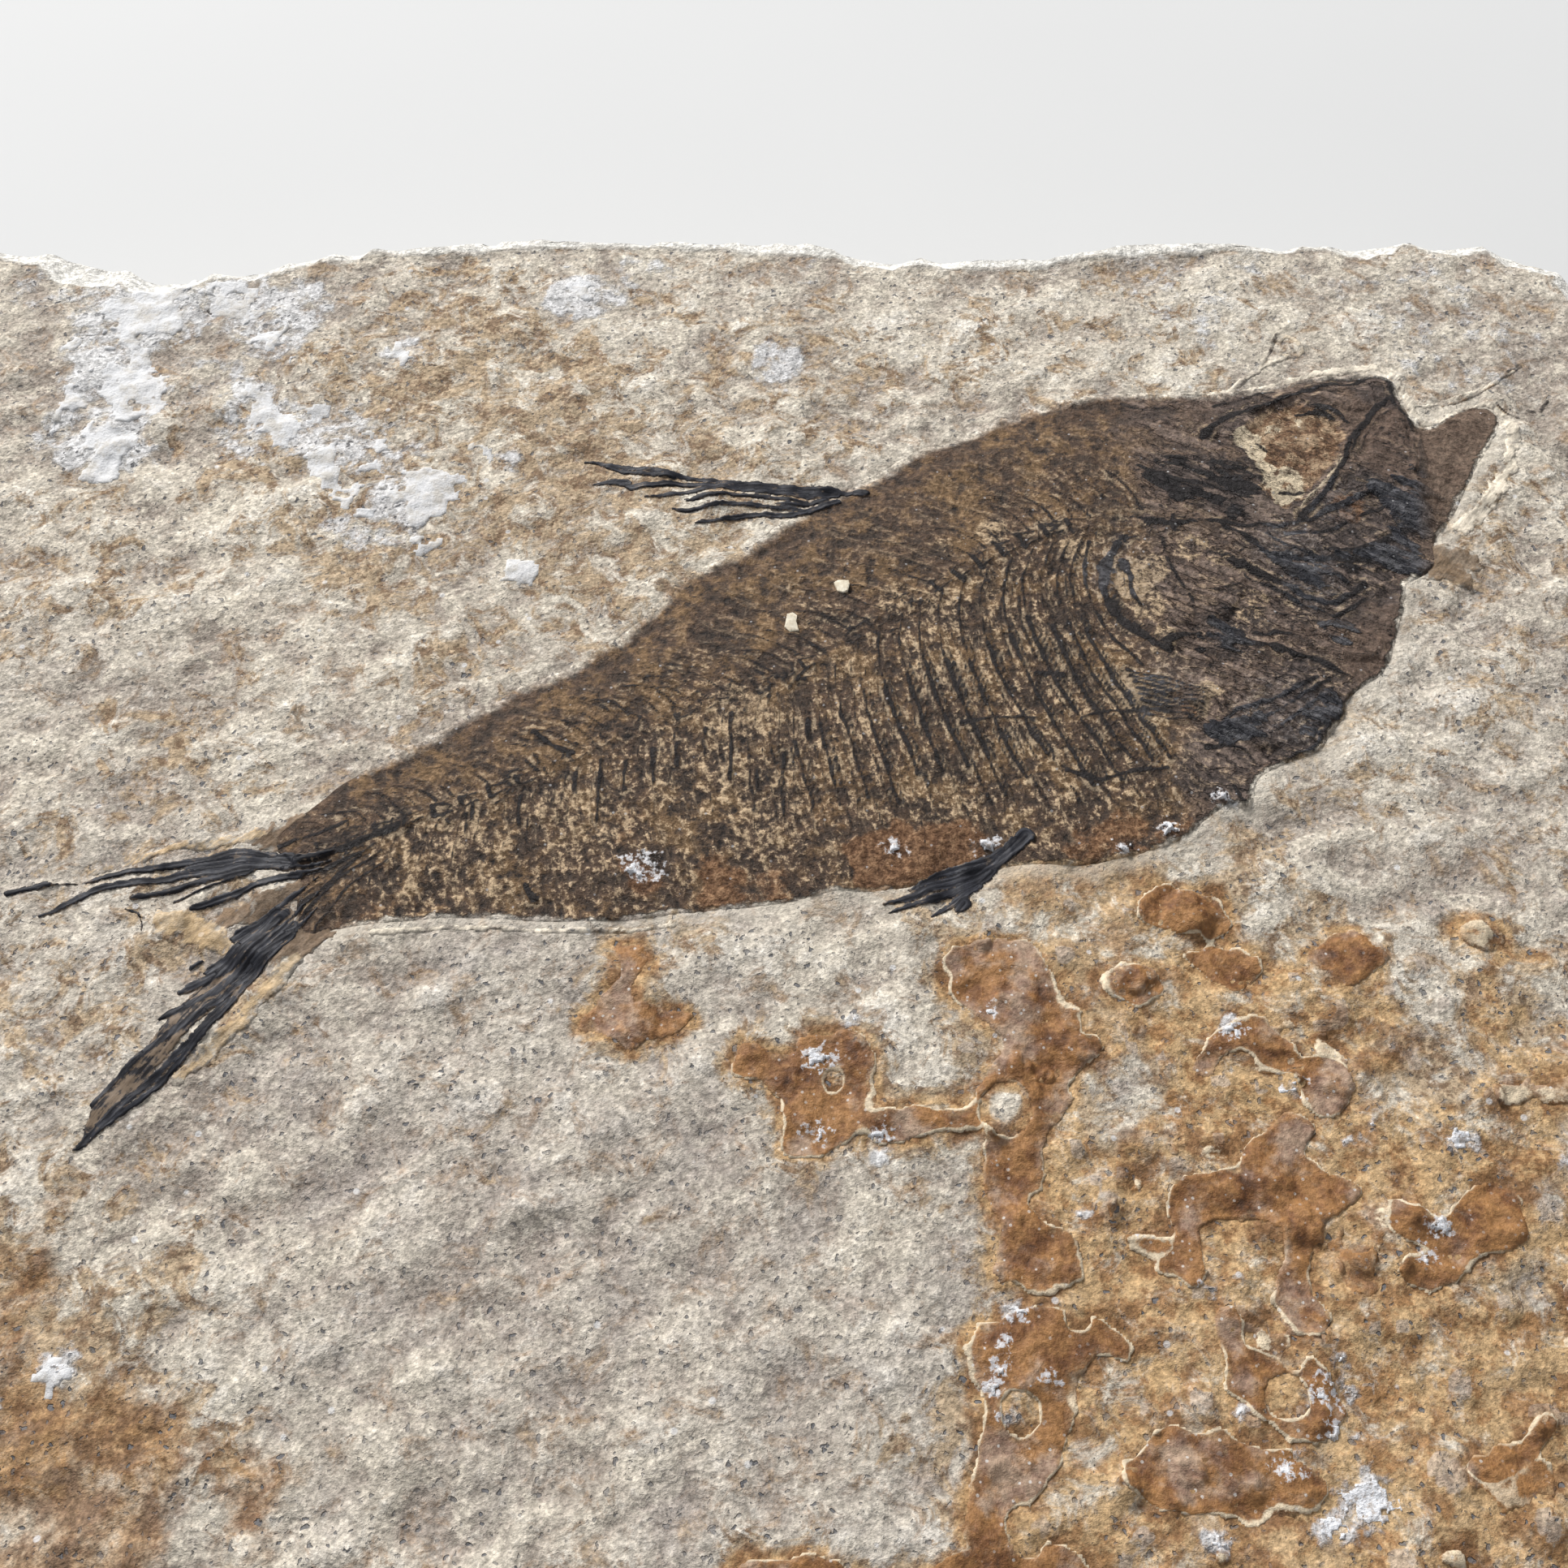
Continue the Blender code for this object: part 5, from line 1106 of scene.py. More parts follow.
# chalky flakes left on the upper left of the face
chalkPatches = [
    [(-55, 45), (-54.5, 42), (-56, 38), (-57, 34), (-57.8, 32), (-58.5, 30.5), (-60, 31.5), (-62, 34),
     (-64, 37.5), (-64.5, 41), (-63.5, 45), (-64, 50), (-62, 55), (-58, 56), (-56.6, 52), (-55, 49)],
    [(-50, 40), (-47.5, 43), (-46, 42), (-45, 40.5), (-42, 40), (-41, 38), (-42, 35.5), (-46, 35),
     (-49, 36.5)],
    [(-39.5, 36), (-37, 37.5), (-35, 37), (-34.5, 35), (-38, 35)],
    [(-40, 30), (-37, 31), (-33, 33), (-29, 31.5), (-27.5, 30), (-28.5, 28), (-30.5, 26), (-34, 26.5),
     (-38, 27.5)],
    [(-34, 24.5), (-28, 24.4), (-29.8, 22.8), (-32, 23)],
    [(-50.6, 52), (-49, 52.4), (-46, 48.6), (-44, 45.8), (-45.4, 45.2), (-48, 48)],
    [(-36, 46.5), (-35, 47.8), (-33.4, 47.4), (-33.2, 45.6), (-35, 45)],
    [(-21, 57), (-19.6, 57.2), (-17, 52), (-18, 51.4)],
    [(-47.4, -42.6), (-44.8, -42.4), (-44.6, -44.2), (-47, -44.6)],
    [(-58, 57.6), (-52, 57), (-48.6, 54), (-47, 50.4), (-50, 50.4), (-54, 53), (-57.4, 54)],
    [(-42, 34.6), (-38, 34.6), (-35, 32.8), (-33, 33.6), (-36, 30.4), (-41, 31.8)],
    [(-67, 47), (-65, 48), (-64.6, 45), (-66.4, 44.2)],
                [(-27.6, 35), (-25.6, 34.8), (-25.8, 33), (-27.4, 33.2)],
    [(-23, 21.6), (-21.2, 21.8), (-21.6, 20.2), (-23.2, 20)],
]


chalkLooks = {"pitch": 0.20, "sheet": 0.05, "step": 0.05, "ripple": 0.03, "sunk": 0.35}


def chalkField(x, y):
    field = np.full(x.shape, -9.0)
    torn = 0.85 * roughNoise(x, y, 2.1, 451, 5, 0.70) + 0.06
    for outline in chalkPatches:
        outline = smoothLine(outline, 3, closed=True)
        here = near(x, y, outline, 2.2)
        inside = np.minimum(insideDistance(x[here], y[here], outline), 0.55)
        field[here] = np.maximum(field[here], 0.8 * inside + torn[here])
    return field


def buildChalk(material):
    def top(x, y, onRim):
        field = chalkField(x, y)
        steps = chalkLooks["step"] * blendStep(roughNoise(x, y, 1.7, 461, 4, 0.6), -0.05, 0.05)
        sheet = chalkLooks["sheet"] * blendStep(field, 0.0, 0.2) + steps * blendStep(field, 0.1, 0.4)
        ripple = chalkLooks["ripple"] * roughNoise(x, y, 1.0, 471, 3, 0.6)
        return faceHeight(x, y) + np.where(onRim | (field < 0.02), -0.12,
                                           sheet + ripple * blendStep(field, 0.1, 0.8))

    def attributes(x, y):
        masks = stoneMasks(x, y)
        masks["rim"] = np.clip(chalkField(x, y), -1, 3)
        return masks

    piece = reliefPiece("chalk_flakes", -69, -15, -46, 60, chalkLooks["pitch"], chalkField, top,
                        lambda x, y: faceHeight(x, y) - chalkLooks["sunk"], attributes)
    return finishPiece(piece, material, "limestone")


crystalSpots = [  # (x, y, radius)
    (35.2, -43.2, 0.5), (35.4, -44.6, 0.6), (35.3, -46.2, 0.5), (13.8, -42.2, 0.6), (13.9, -46.4, 0.5),
    (2.5, -22.5, 1.2), (2.3, -28, 0.8), (6.5, -28.3, 0.9), (31.5, -20.3, 0.9), (34.8, -24.6, 0.9),
    (46, -28.5, 1.2), (43.2, -34.5, 0.9), (34, -45, 1.1), (34.2, -47.4, 0.8), (31, -49.5, 0.9),
    (26, -53.5, 1.0), (35.7, -51.5, 1.8), (13.5, -43.6, 0.7), (13.2, -45, 0.6), (15, -40, 0.8),
    (-10.6, -7.5, 1.5), (29, -4.3, 0.7), (25.5, -6, 0.6), (8.5, -5.8, 0.8), (15.3, -5.5, 0.8),
    (16.8, -44.2, 0.5), (22.8, -35, 0.5), (-46, -43.5, 0.8), (33.6, -1.4, 0.7), (5, -19.6, 0.5),
    (19.6, -33.6, 0.5), (27.2, -38.6, 0.6), (38.2, -28.6, 0.6), (14.6, -19, 0.5), (40.2, -27.4, 0.5),
    (42, -36.4, 0.6), (28.4, -46.4, 0.5), (33, -53, 1.2)]


crystalLooks = {"pitch": 0.12, "spread": 1.12, "thickness": 0.07, "overFish": 0.42, "sunk": 0.4}


def frostField(x, y):
    field = np.full(x.shape, -9.0)
    grit = 0.28 * roughNoise(x, y, 0.50, 481, 2, 0.9) + 0.24 * softNoise(x, y, 0.26, 487)
    for cx, cy, radius in crystalSpots:
        radius *= crystalLooks["spread"]
        here = near(x, y, [(cx, cy)], radius + 1.3)
        reach = radius - np.hypot(x[here] - cx, (y[here] - cy) * 1.25)
        field[here] = np.maximum(field[here], 0.75 * np.minimum(reach, 0.7) - 0.20 + grit[here])
    return field


def buildCrystals(material):  # white crystal dust in torn little patches
    def top(x, y, onRim):
        field = frostField(x, y)
        sheet, thick = crustField(x, y)
        lift = 0.9 * thick * blendStep(sheet, 0.0, 0.5)
        lift += np.where(insideDistance(x, y, fishOutline) > 0, crystalLooks["overFish"], 0.0)
        spiky = crystalLooks["thickness"] + 0.07 * roughNoise(x, y, 0.30, 491, 2)
        return faceHeight(x, y) + lift + np.where(onRim | (field < 0.02), -0.15, np.maximum(spiky, 0.04))

    piece = reliefPiece("white_crystals", -48, 48, -56, 0, crystalLooks["pitch"], frostField, top,
                        lambda x, y: faceHeight(x, y) - crystalLooks["sunk"], lambda x, y: {})
    return finishPiece(piece, material, "pale_chip")


# faint traces on the stone: lines are (points, width at the start, width at the end, tone),
# patches are (outline, tone); the tone runs from -1, black, over -0.5, brown, and 0, tan, to 1, cream
traceLines = [
    ([(36, 41.0), (39.2, 41.5), (42.9, 42.3), (46.7, 43.5), (50.9, 44.6), (53.1, 44.7)], 0.5, 0.8, 1.0),
    ([(53.6, 44.9), (54.9, 43.9), (55.7, 41.4), (56.2, 39.0), (57.0, 37.8), (58.9, 38.2), (61.0, 39.4),
      (62.9, 40.3),
      (64.2, 39.2)], 0.7, 0.6, 1.0),
    ([(55.6, 43.6), (56.5, 40.0), (59.4, 40.6), (62.6, 41.9), (64.7, 43.2), (66.4, 44.5)], 0.35, 0.35, 0.9),
    ([(65.4, 43.8), (67.0, 45.1)], 0.35, 0.55, -1.0),
              ([(59.0, 40.0), (61.6, 41.0), (64.6, 42.8)], 0.16, 0.16, -0.4),
    ([(40.3, 41.9), (42.0, 43.5), (43.7, 44.9), (45.8, 46.1)], 0.45, 0.35, 0.9),
    ([(43.7, 45.2), (44.6, 46.9), (45.3, 48.6), (45.9, 49.5), (47.0, 49.8)], 0.35, 0.25, -0.8),
    ([(45.6, 46.4), (47.2, 46.4), (47.5, 48.0), (46.4, 48.8), (45.8, 48.2)], 0.4, 0.4, 0.5),
    ([(63.9, 40.0), (65.5, 38.7)], 0.38, 0.38, -0.8), ([(66.7, 39.9), (67.2, 39.7)], 0.4, 0.3, -1.0),
    ([(67.9, 39.8), (68.6, 40.7)], 0.25, 0.3, -0.9),
              ([(56.0, 23.9), (57.5, 22.9), (58.6, 21.5)], 0.5, 0.35, -0.7),
    ([(64.1, 37.7), (64.3, 36.0), (63.0, 32.2), (60.5, 28.6), (57.8, 25.9)], 1.0, 1.6, 0.7),
    ([(-51.8, -7.6), (-49.1, -6.9), (-46.0, -5.6), (-41.3, -4.9), (-38.0, -4.4)], 0.5, 1.1, 0.1),
    ([(-35.1, -14.0), (-35.9, -15.8), (-37.6, -18.4), (-39.4, -21.0), (-41.0, -23.0), (-42.2, -24.0)], 1.3,
     1.2, 0.15),
    ([(-30, -12.9), (-24, -12.4), (-16, -12.7), (-8, -12.1)], 0.3, 0.3, 0.7),
    ([(-54.0, 52.8), (-53.8, 52.6)], 0.7, 0.6, -0.9), ([(-39.2, 7.8), (-38.0, 5.2)], 0.7, 0.4, -0.3),
    ([(10.6, -53.0), (11.6, -50.0)], 0.3, 0.3, 0.6)]
tracePatches = [
    ([(54.2, 23.7), (56.0, 23.8), (57.9, 23.0), (58.6, 21.5), (57.5, 20.9), (57.3, 19.0), (55.3, 20.3),
      (53.6, 20.3)], -0.38),
    ([(-46.6, -10.9), (-45.4, -10.5), (-43.0, -11.2), (-40.1, -13.3), (-40.6, -13.9), (-41.9, -14.2),
      (-45.3, -13.0),
      (-46.2, -11.9)], 0.12),
    ([(-40.0, -4.6), (-38.0, -3.2), (-35.6, -2.6), (-34.6, -5.0), (-36.6, -6.6), (-40.8, -5.8)], -0.45),
    ([(-34.6, -7.6), (-36.6, -8.6), (-39.0, -9.8), (-41.6, -11.2), (-41.4, -12.2), (-38.4, -12.0),
      (-36.8, -11.0),
      (-34.8, -9.6)], -0.42),
    ([(-34.2, -8.8), (-35.6, -10.8), (-37.6, -13.6), (-37.2, -15.4), (-35.0, -15.0), (-32.8, -12.6)],
     -0.42)]


traceLooks = {"pitch": 0.16, "thickness": 0.14, "sunk": 0.35}


def traceField(x, y):  # distance inside the nearest trace, and its tone
    field, tone = np.full(x.shape, -9.0), np.zeros(x.shape)
    torn = roughNoise(x, y, 1.0, 501, 3, 0.6)
    for points, widthA, widthB, shade in traceLines:
        line = smoothLine(points, 4)
        here = near(x, y, line, 1.6)
        d, place = lineDistance(x[here], y[here], line)
        value = 0.5 * (widthA + (widthB - widthA) * place) * (1 + 0.5 * torn[here]) - d + 0.02
        takeOver(here, value, field, (tone, shade))
    for outline, shade in tracePatches:
        here = near(x, y, outline, 1.0)
        value = insideDistance(x[here], y[here], smoothLine(outline, 3, closed=True)) + 0.45 * torn[here]
        takeOver(here, value, field, (tone, shade))
    return field, tone


def buildTraces(material):
    def keep(x, y):
        return np.where(insideDistance(x, y, fishOutline) < 0.35, traceField(x, y)[0] + 0.24, -1.0)

    def top(x, y, onRim):
        field, _ = traceField(x, y)
        lift = traceLooks["thickness"] * blendStep(field, -0.22, 0.02) - 0.08
        lift = lift + 0.02 * roughNoise(x, y, 0.9, 511, 2)
        return faceHeight(x, y) + np.where(onRim, -0.14, lift)

    def attributes(x, y):
        masks = stoneMasks(x, y)
        field, masks["tone"] = traceField(x, y)
        masks["rim"] = np.clip(field, -1, 3)
        return masks

    piece = reliefPiece("stone_traces", -58, 70, -25, 54, traceLooks["pitch"], keep, top,
                        lambda x, y: faceHeight(x, y) - traceLooks["sunk"], attributes)
    return finishPiece(piece, material, "limestone")


chipShapes = {  # corners about the chip's middle, mm, and how its top is tilted
    "stone_chip_upper": {
        "node": "chip_upper", "at": (4.75, 18.65), "tilt": (0.10, 0.12),
        "outline": [(-0.62, 0.40), (-0.30, 0.58), (0.56, 0.52), (0.66, 0.20), (0.52, -0.40), (0.14, -0.60),
                    (-0.34, -0.46)]},
    "stone_chip_lower": {
        "node": "chip_lower", "at": (0.65, 15.0), "tilt": (-0.12, 0.10),
        "outline": [(-0.40, 0.72), (0.06, 0.92), (0.44, 0.66), (0.34, 0.10), (0.56, -0.74), (-0.16, -0.92),
                    (-0.60, -0.52), (-0.50, 0.06)]},
}


def buildChip(name, material):  # a loose flat flake of stone lying on the fish
    chip = chipShapes[name]
    low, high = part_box(chip["node"])
    rng = np.random.default_rng(len(chip["outline"]))
    corners = np.array(chip["outline"])
    ring = []
    for k in range(len(corners)):  # straight sides with a little roughness
        a, b = corners[k], corners[(k + 1) % len(corners)]
        for t in np.arange(6) / 6:
            ring.append(a + (b - a) * t + rng.uniform(-0.018, 0.018, 2))
    ring = np.array(ring)
    centre = np.array([chip["at"]], float)
    top = min(fishFace(centre[:, 0], centre[:, 1])[0] + 0.24, high.z / mm - 0.05)
    foot = min(top - 0.5, low.z / mm - 0.1)
    points, faces, count = [], [], len(ring)
    for share, drop in ((0.98, None), (1.02, 0.14), (1.0, 0.03), (0.94, 0.0), (0.6, 0.0), (0.3, -0.01)):
        spot = ring * share
        if drop is None:
            z = np.full(count, foot)
        else:
            slope = spot @ np.array(chip["tilt"])
            z = top - drop + slope + rng.uniform(-0.01, 0.01, count)
        points.append(np.column_stack([spot + chip["at"], z]))
    for level in range(len(points) - 1):
        for k in range(count):
            n = (k + 1) % count
            faces.append([level * count + k, level * count + n, (level + 1) * count + n,
                          (level + 1) * count + k])
    order = 1 if np.cross(ring[0], ring[6]) > 0 else -1
    if order < 0:
        faces = [face[::-1] for face in faces]
    last = (len(points) - 1) * count
    faces += [list(range(last, last + count))[::order], list(range(count))[::-order]]
    piece = newMesh(name, np.vstack(points), faces, {})
    return finishPiece(piece, material, "pale_chip", chip["node"], sharpAngle=32)


# small tools for materials
def addNode(tree, kind, inputs=None, **settings):
    made = tree.nodes.new(kind)
    for key, value in settings.items():
        setattr(made, key, value)
    for key, value in (inputs or {}).items():
        if isinstance(value, bpy.types.NodeSocket):
            tree.links.new(value, made.inputs[key])
        else:
            made.inputs[key].default_value = value
    return made


def calc(tree, operation, a, b=0.5):
    return addNode(tree, "ShaderNodeMath", {0: a, 1: b}, operation=operation).outputs[0]


def times(tree, a, b):
    return calc(tree, "MULTIPLY", a, b)


def plus(tree, a, b):
    return calc(tree, "ADD", a, b)


def swing(tree, noise, reach, middle=0.5):  # a noise about its middle, this strong
    return times(tree, calc(tree, "SUBTRACT", noise, middle), reach)


def swayed(tree, value, noise, reach, middle=0.5):  # a value moved up and down by a noise
    return plus(tree, value, swing(tree, noise, reach, middle))


def weighted(tree, *parts):  # the sum of (value, weight)
    total = times(tree, *parts[0])
    for part in parts[1:]:
        total = plus(tree, total, times(tree, *part))
    return total


def mixed(tree, share, a, b):
    return addNode(tree, "ShaderNodeMix", {0: share, 2: a, 3: b}).outputs[0]


def shaded(tree, colour, shade):
    return addNode(tree, "ShaderNodeVectorMath", {0: colour, 3: shade}, operation="SCALE").outputs[0]


def blendColour(tree, share, a, b):
    a, b = (value if isinstance(value, bpy.types.NodeSocket) else (*value, 1.0) for value in (a, b))
    return addNode(tree, "ShaderNodeMix", {0: share, 6: a, 7: b}, data_type="RGBA").outputs[2]


def rampTo(tree, value, low, high, start=0.0, end=1.0):
    return addNode(tree, "ShaderNodeMapRange", {0: value, 1: low, 2: high, 3: start, 4: end},
                   interpolation_type="SMOOTHSTEP").outputs[0]


def noiseAt(tree, where, size, detail=4.0, rough=0.55, warp=0.0):  # a field with features of this size, mm
    return addNode(tree, "ShaderNodeTexNoise",
                   {"Vector": where, "Scale": 1.0 / size, "Detail": detail, "Roughness": rough,
                    "Distortion": warp}).outputs[0]


def millimetres(tree, turn=0.0, stretch=(1.0, 1.0, 1.0), shift=0.0):
    coords = addNode(tree, "ShaderNodeTexCoord").outputs["Object"]
    scale = [1.0 / (mm * s) for s in stretch]
    turned = addNode(tree, "ShaderNodeMapping",
                     {"Vector": coords, "Rotation": (0, 0, math.radians(turn))}).outputs[0]
    return addNode(tree, "ShaderNodeMapping",
                   {"Vector": turned, "Location": (shift, shift, shift), "Scale": scale}).outputs[0]


def attribute(tree, name):
    return addNode(tree, "ShaderNodeAttribute", attribute_name=name).outputs["Fac"]


def newGroup(name, takes, gives):
    group = bpy.data.node_groups.new(name, "ShaderNodeTree")
    for label, kind, value in takes:
        socket = group.interface.new_socket(label, in_out="INPUT", socket_type=kind)
        socket.default_value = value
    for label, kind in gives:
        group.interface.new_socket(label, in_out="OUTPUT", socket_type=kind)
    return group, group.nodes.new("NodeGroupInput").outputs, group.nodes.new("NodeGroupOutput")


def newMaterial(name, specular):
    material = bpy.data.materials.new(name)
    material.use_nodes = True
    shader = material.node_tree.nodes["Principled BSDF"]
    shader.inputs["Specular IOR Level"].default_value = specular
    return material, material.node_tree, shader


stoneColours = {
    # crest and hollow: the face is painted lighter on its crests and darker in its hollows, as light and
    # shade of the relief
    "crest": (0.668, 0.602, 0.506),
    "hollow": (0.398, 0.340, 0.290),
    "pale": (0.800, 0.750, 0.672),
    "golden": (0.590, 0.392, 0.198),
    "goldenDark": (0.360, 0.188, 0.072),
    "sepia": (0.520, 0.395, 0.262),
    "sepiaDark": (0.240, 0.155, 0.092),
    "rust": (0.47, 0.275, 0.125),
    "rustDark": (0.22, 0.115, 0.055),
    "chalk": (0.75, 0.75, 0.765),
    "lilac": (0.435, 0.390, 0.362),
    "fresh": (0.70, 0.67, 0.61),  # newly broken stone along the edges
    "paintedLipHighlight": (0.92, 0.90, 0.85),  # painted highlight along the thin far lip
    "speck": (0.150, 0.150, 0.160),
    "veil": (0.350, 0.245, 0.170),  # brown mottling
    "cream": (0.745, 0.674, 0.560),
    "lump": (0.520, 0.440, 0.375),  # dusty tops of the little domes
    "halo": (0.66, 0.60, 0.51),  # pale stone round the fish
    "edgeStain": (0.20, 0.15, 0.11),
}


def spotsAt(tree, where, spacing, size, share):  # scattered dots of this size, mm
    cells = addNode(tree, "ShaderNodeTexVoronoi",
                    {"Vector": where, "Scale": 1.0 / spacing, "Randomness": 1.0})
    round_ = rampTo(tree, cells.outputs["Distance"], size / spacing, 0.65 * size / spacing)
    tint = addNode(tree, "ShaderNodeSeparateColor", {0: cells.outputs["Color"]}).outputs[0]
    chosen = calc(tree, "LESS_THAN", tint, share)
    return times(tree, round_, chosen)


stoneStainNames = ("Ochre", "Rust", "Chalk", "Grey", "Broken", "Rise")


def stoneGroup():
    colours = stoneColours
    group, takes, out = newGroup("stone grain", [(key, "NodeSocketFloat", 0.0) for key in stoneStainNames],
                                 [("Color", "NodeSocketColor"), ("Roughness", "NodeSocketFloat"),
                                  ("Height", "NodeSocketFloat")])
    where = millimetres(group)
    streaky = millimetres(group, turn=-20, stretch=(2.0, 1.0, 1.0), shift=7.0)
    wide = noiseAt(group, where, 15.0, 5.0, 0.6)
    patchy = noiseAt(group, where, 4.2, 8.0, 0.68)
    blotchy = noiseAt(group, where, 2.1, 7.0, 0.68)
    grain = noiseAt(group, where, 0.62, 5.0, 0.68)
    sand = addNode(group, "ShaderNodeTexVoronoi",
                   {"Vector": where, "Scale": 1.0 / 0.48}).outputs["Distance"]
    fine = noiseAt(group, where, 0.24, 3.0, 0.65)
    streak = noiseAt(group, streaky, 1.3, 6.0, 0.66)

    def stained(key, reach, noise=patchy, low=0.30, high=0.80):
        return rampTo(group, swayed(group, takes[key], noise, reach), low, high)

    # crests are painted cream and hollows lilac brown: painted light and shade of the lumps, over the
    # stone's own broad mottling
    tufts = noiseAt(group, millimetres(group, turn=-20, stretch=(1.25, 1.0, 1.0)), 2.3, 6.0, 0.60)
    mottle = noiseAt(group, where, 2.7, 9.0, 0.74, 0.6)
    crest = swayed(group, swayed(group, times(group, takes["Rise"], 0.48), tufts, 1.8), wide, 1.4)
    colour = blendColour(group, rampTo(group, crest, -0.45, 0.30), colours["hollow"], colours["crest"])
    colour = blendColour(group, rampTo(group, crest, 0.15, 0.80), colour, colours["pale"])
    chips = noiseAt(group, where, 1.25, 6.0, 0.72)
    colour = blendColour(group, rampTo(group, chips, 0.54, 0.66, 0.0, 0.55), colour, colours["pale"])
    colour = blendColour(group, rampTo(group, mottle, 0.515, 0.60, 0.0, 0.62), colour, colours["veil"])
    colour = blendColour(group, rampTo(group, mottle, 0.47, 0.40, 0.0, 0.70), colour, colours["cream"])
    colour = blendColour(group, times(group, takes["Grey"], rampTo(group, patchy, 0.32, 0.55, 0.75, 0.30)),
                         colour, colours["lilac"])
    golden = blendColour(group, rampTo(group, blotchy, 0.45, 0.57), colours["golden"],
                         colours["goldenDark"])
    sepia = blendColour(group, rampTo(group, chips, 0.47, 0.57), colours["sepia"], colours["sepiaDark"])
    rich = rampTo(group, takes["Ochre"], 0.76, 0.92)  # a full golden stain rather than brown mottles
    golden = blendColour(group, rich, sepia, golden)
    wash = mixed(group, rich, stained("Ochre", 5.0, mottle, 0.34, 0.90),
                 stained("Ochre", 3.4, mottle, 0.36, 0.96))
    colour = blendColour(group, times(group, wash, 0.90), colour, golden)
    dome = rampTo(group, swayed(group, takes["Grey"], grain, 0.25), 0.80, 0.92)
    colour = blendColour(group, times(group, dome, 0.60), colour, colours["lump"])
    rusty = blendColour(group, rampTo(group, blotchy, 0.40, 0.60), colours["rust"], colours["rustDark"])
    colour = blendColour(group, times(group, stained("Rust", 2.4, patchy, 0.45, 1.05), 0.85), colour, rusty)
    chalk = stained("Chalk", 2.2, blotchy, 0.42, 0.80)
    colour = blendColour(group, times(group, chalk, 0.85), colour, colours["chalk"])
    broken = stained("Broken", 0.9, grain, 0.25, 0.80)
    fresh = blendColour(group, rampTo(group, streak, 0.42, 0.62, 0.0, 0.55), colours["fresh"],
                        colours["hollow"])
    # Broken stain above 1 paints the far lip and the flakes beside it with a bright highlight
    fresh = blendColour(group, rampTo(group, takes["Broken"], 1.05, 1.55), fresh, colours["paintedLipHighlight"])
    colour = blendColour(group, times(group, broken, 0.85), colour, fresh)
    # the colour darker in the low spots of the fine grain and lighter on its tops, painted shade and light
    # of its relief; then dark specks and the odd white fleck
    shade = rampTo(group, grain, 0.30, 0.70, 0.64, 1.25)
    shade = times(group, shade, rampTo(group, fine, 0.3, 0.7, 0.76, 1.22))
    shade = times(group, shade, rampTo(group, sand, 0.05, 0.75, 1.07, 0.90))
    colour = shaded(group, colour, shade)
    bend = addNode(group, "ShaderNodeTexNoise",
                   {"Vector": where, "Scale": 1.6, "Detail": 2.0}).outputs["Color"]
    bent = addNode(group, "ShaderNodeVectorMath", {0: where, 1: bend}).outputs[0]
    specks = spotsAt(group, bent, 1.0, 0.215, 0.75)
    small = spotsAt(group, bent, 0.60, 0.14, 0.55)
    thick = rampTo(group, noiseAt(group, where, 8.0, 2.0), 0.40, 0.62, 0.60, 1.0)
    quiet = rampTo(group, takes["Broken"], 0.2, 0.8, 1.0, 0.25)
    dots = times(group, calc(group, "MAXIMUM", times(group, specks, 0.95), times(group, small, 0.6)),
                 times(group, thick, quiet))
    colour = blendColour(group, dots, colour, colours["speck"])
    flecks = spotsAt(group, where, 2.4, 0.28, 0.35)
    colour = blendColour(group, times(group, flecks, 0.6), colour, colours["chalk"])
    height = weighted(group, (grain, 0.17), (fine, 0.055), (sand, -0.05), (tufts, 0.48), (streak, 0.06),
                      (dots, -0.14), (chalk, 0.10))
    layered = millimetres(group, stretch=(9.0, 9.0, 0.55), shift=3.0)
    side = times(group, calc(group, "MINIMUM", takes["Broken"], 1.0), 0.30)
    layers = times(group, noiseAt(group, layered, 1.0, 5.0, 0.6), side)
    height = plus(group, height, layers)
    group.links.new(colour, out.inputs["Color"])
    group.links.new(rampTo(group, grain, 0.3, 0.7, 0.95, 0.78), out.inputs["Roughness"])
    group.links.new(height, out.inputs["Height"])
    return group


def stoneOn(tree, group):  # the shared stone surface, driven by a piece's own stains
    values = {key: attribute(tree, key.lower()) for key in stoneStainNames}
    return addNode(tree, "ShaderNodeGroup", values, node_tree=group).outputs


def wire(tree, shader, colour, roughness, height, depth=1.0):
    tree.links.new(colour, shader.inputs["Base Color"])
    tree.links.new(roughness, shader.inputs["Roughness"])
    bump = addNode(tree, "ShaderNodeBump", {"Height": height, "Strength": depth, "Distance": mm})
    tree.links.new(bump.outputs[0], shader.inputs["Normal"])


def limestoneMaterial(grain):
    colours = stoneColours
    material, tree, shader = newMaterial("weathered limestone", 0.22)
    stone = stoneOn(tree, grain)
    edge = attribute(tree, "fishEdge")
    where = millimetres(tree)
    ragged = swing(tree, noiseAt(tree, where, 2.4, 6.0, 0.65), 3.2)
    rimLine = plus(tree, edge, ragged)
    halo = times(tree, rampTo(tree, rimLine, -1.9, -0.5), rampTo(tree, rimLine, -0.15, 0.25, 1.0, 0.0))
    halo = times(tree, halo, rampTo(tree, attribute(tree, "backEdge"), 0.8, 3.0, 0.10, 1.0))
    colour = blendColour(tree, times(tree, halo, 0.45), stone["Color"], colours["halo"])
    stain = rampTo(tree, plus(tree, edge, times(tree, ragged, 0.5)), -0.35, 0.5, 0.0, 0.75)
    colour = blendColour(tree, stain, colour, colours["edgeStain"])
    wire(tree, shader, colour, stone["Roughness"], stone["Height"])
    return material


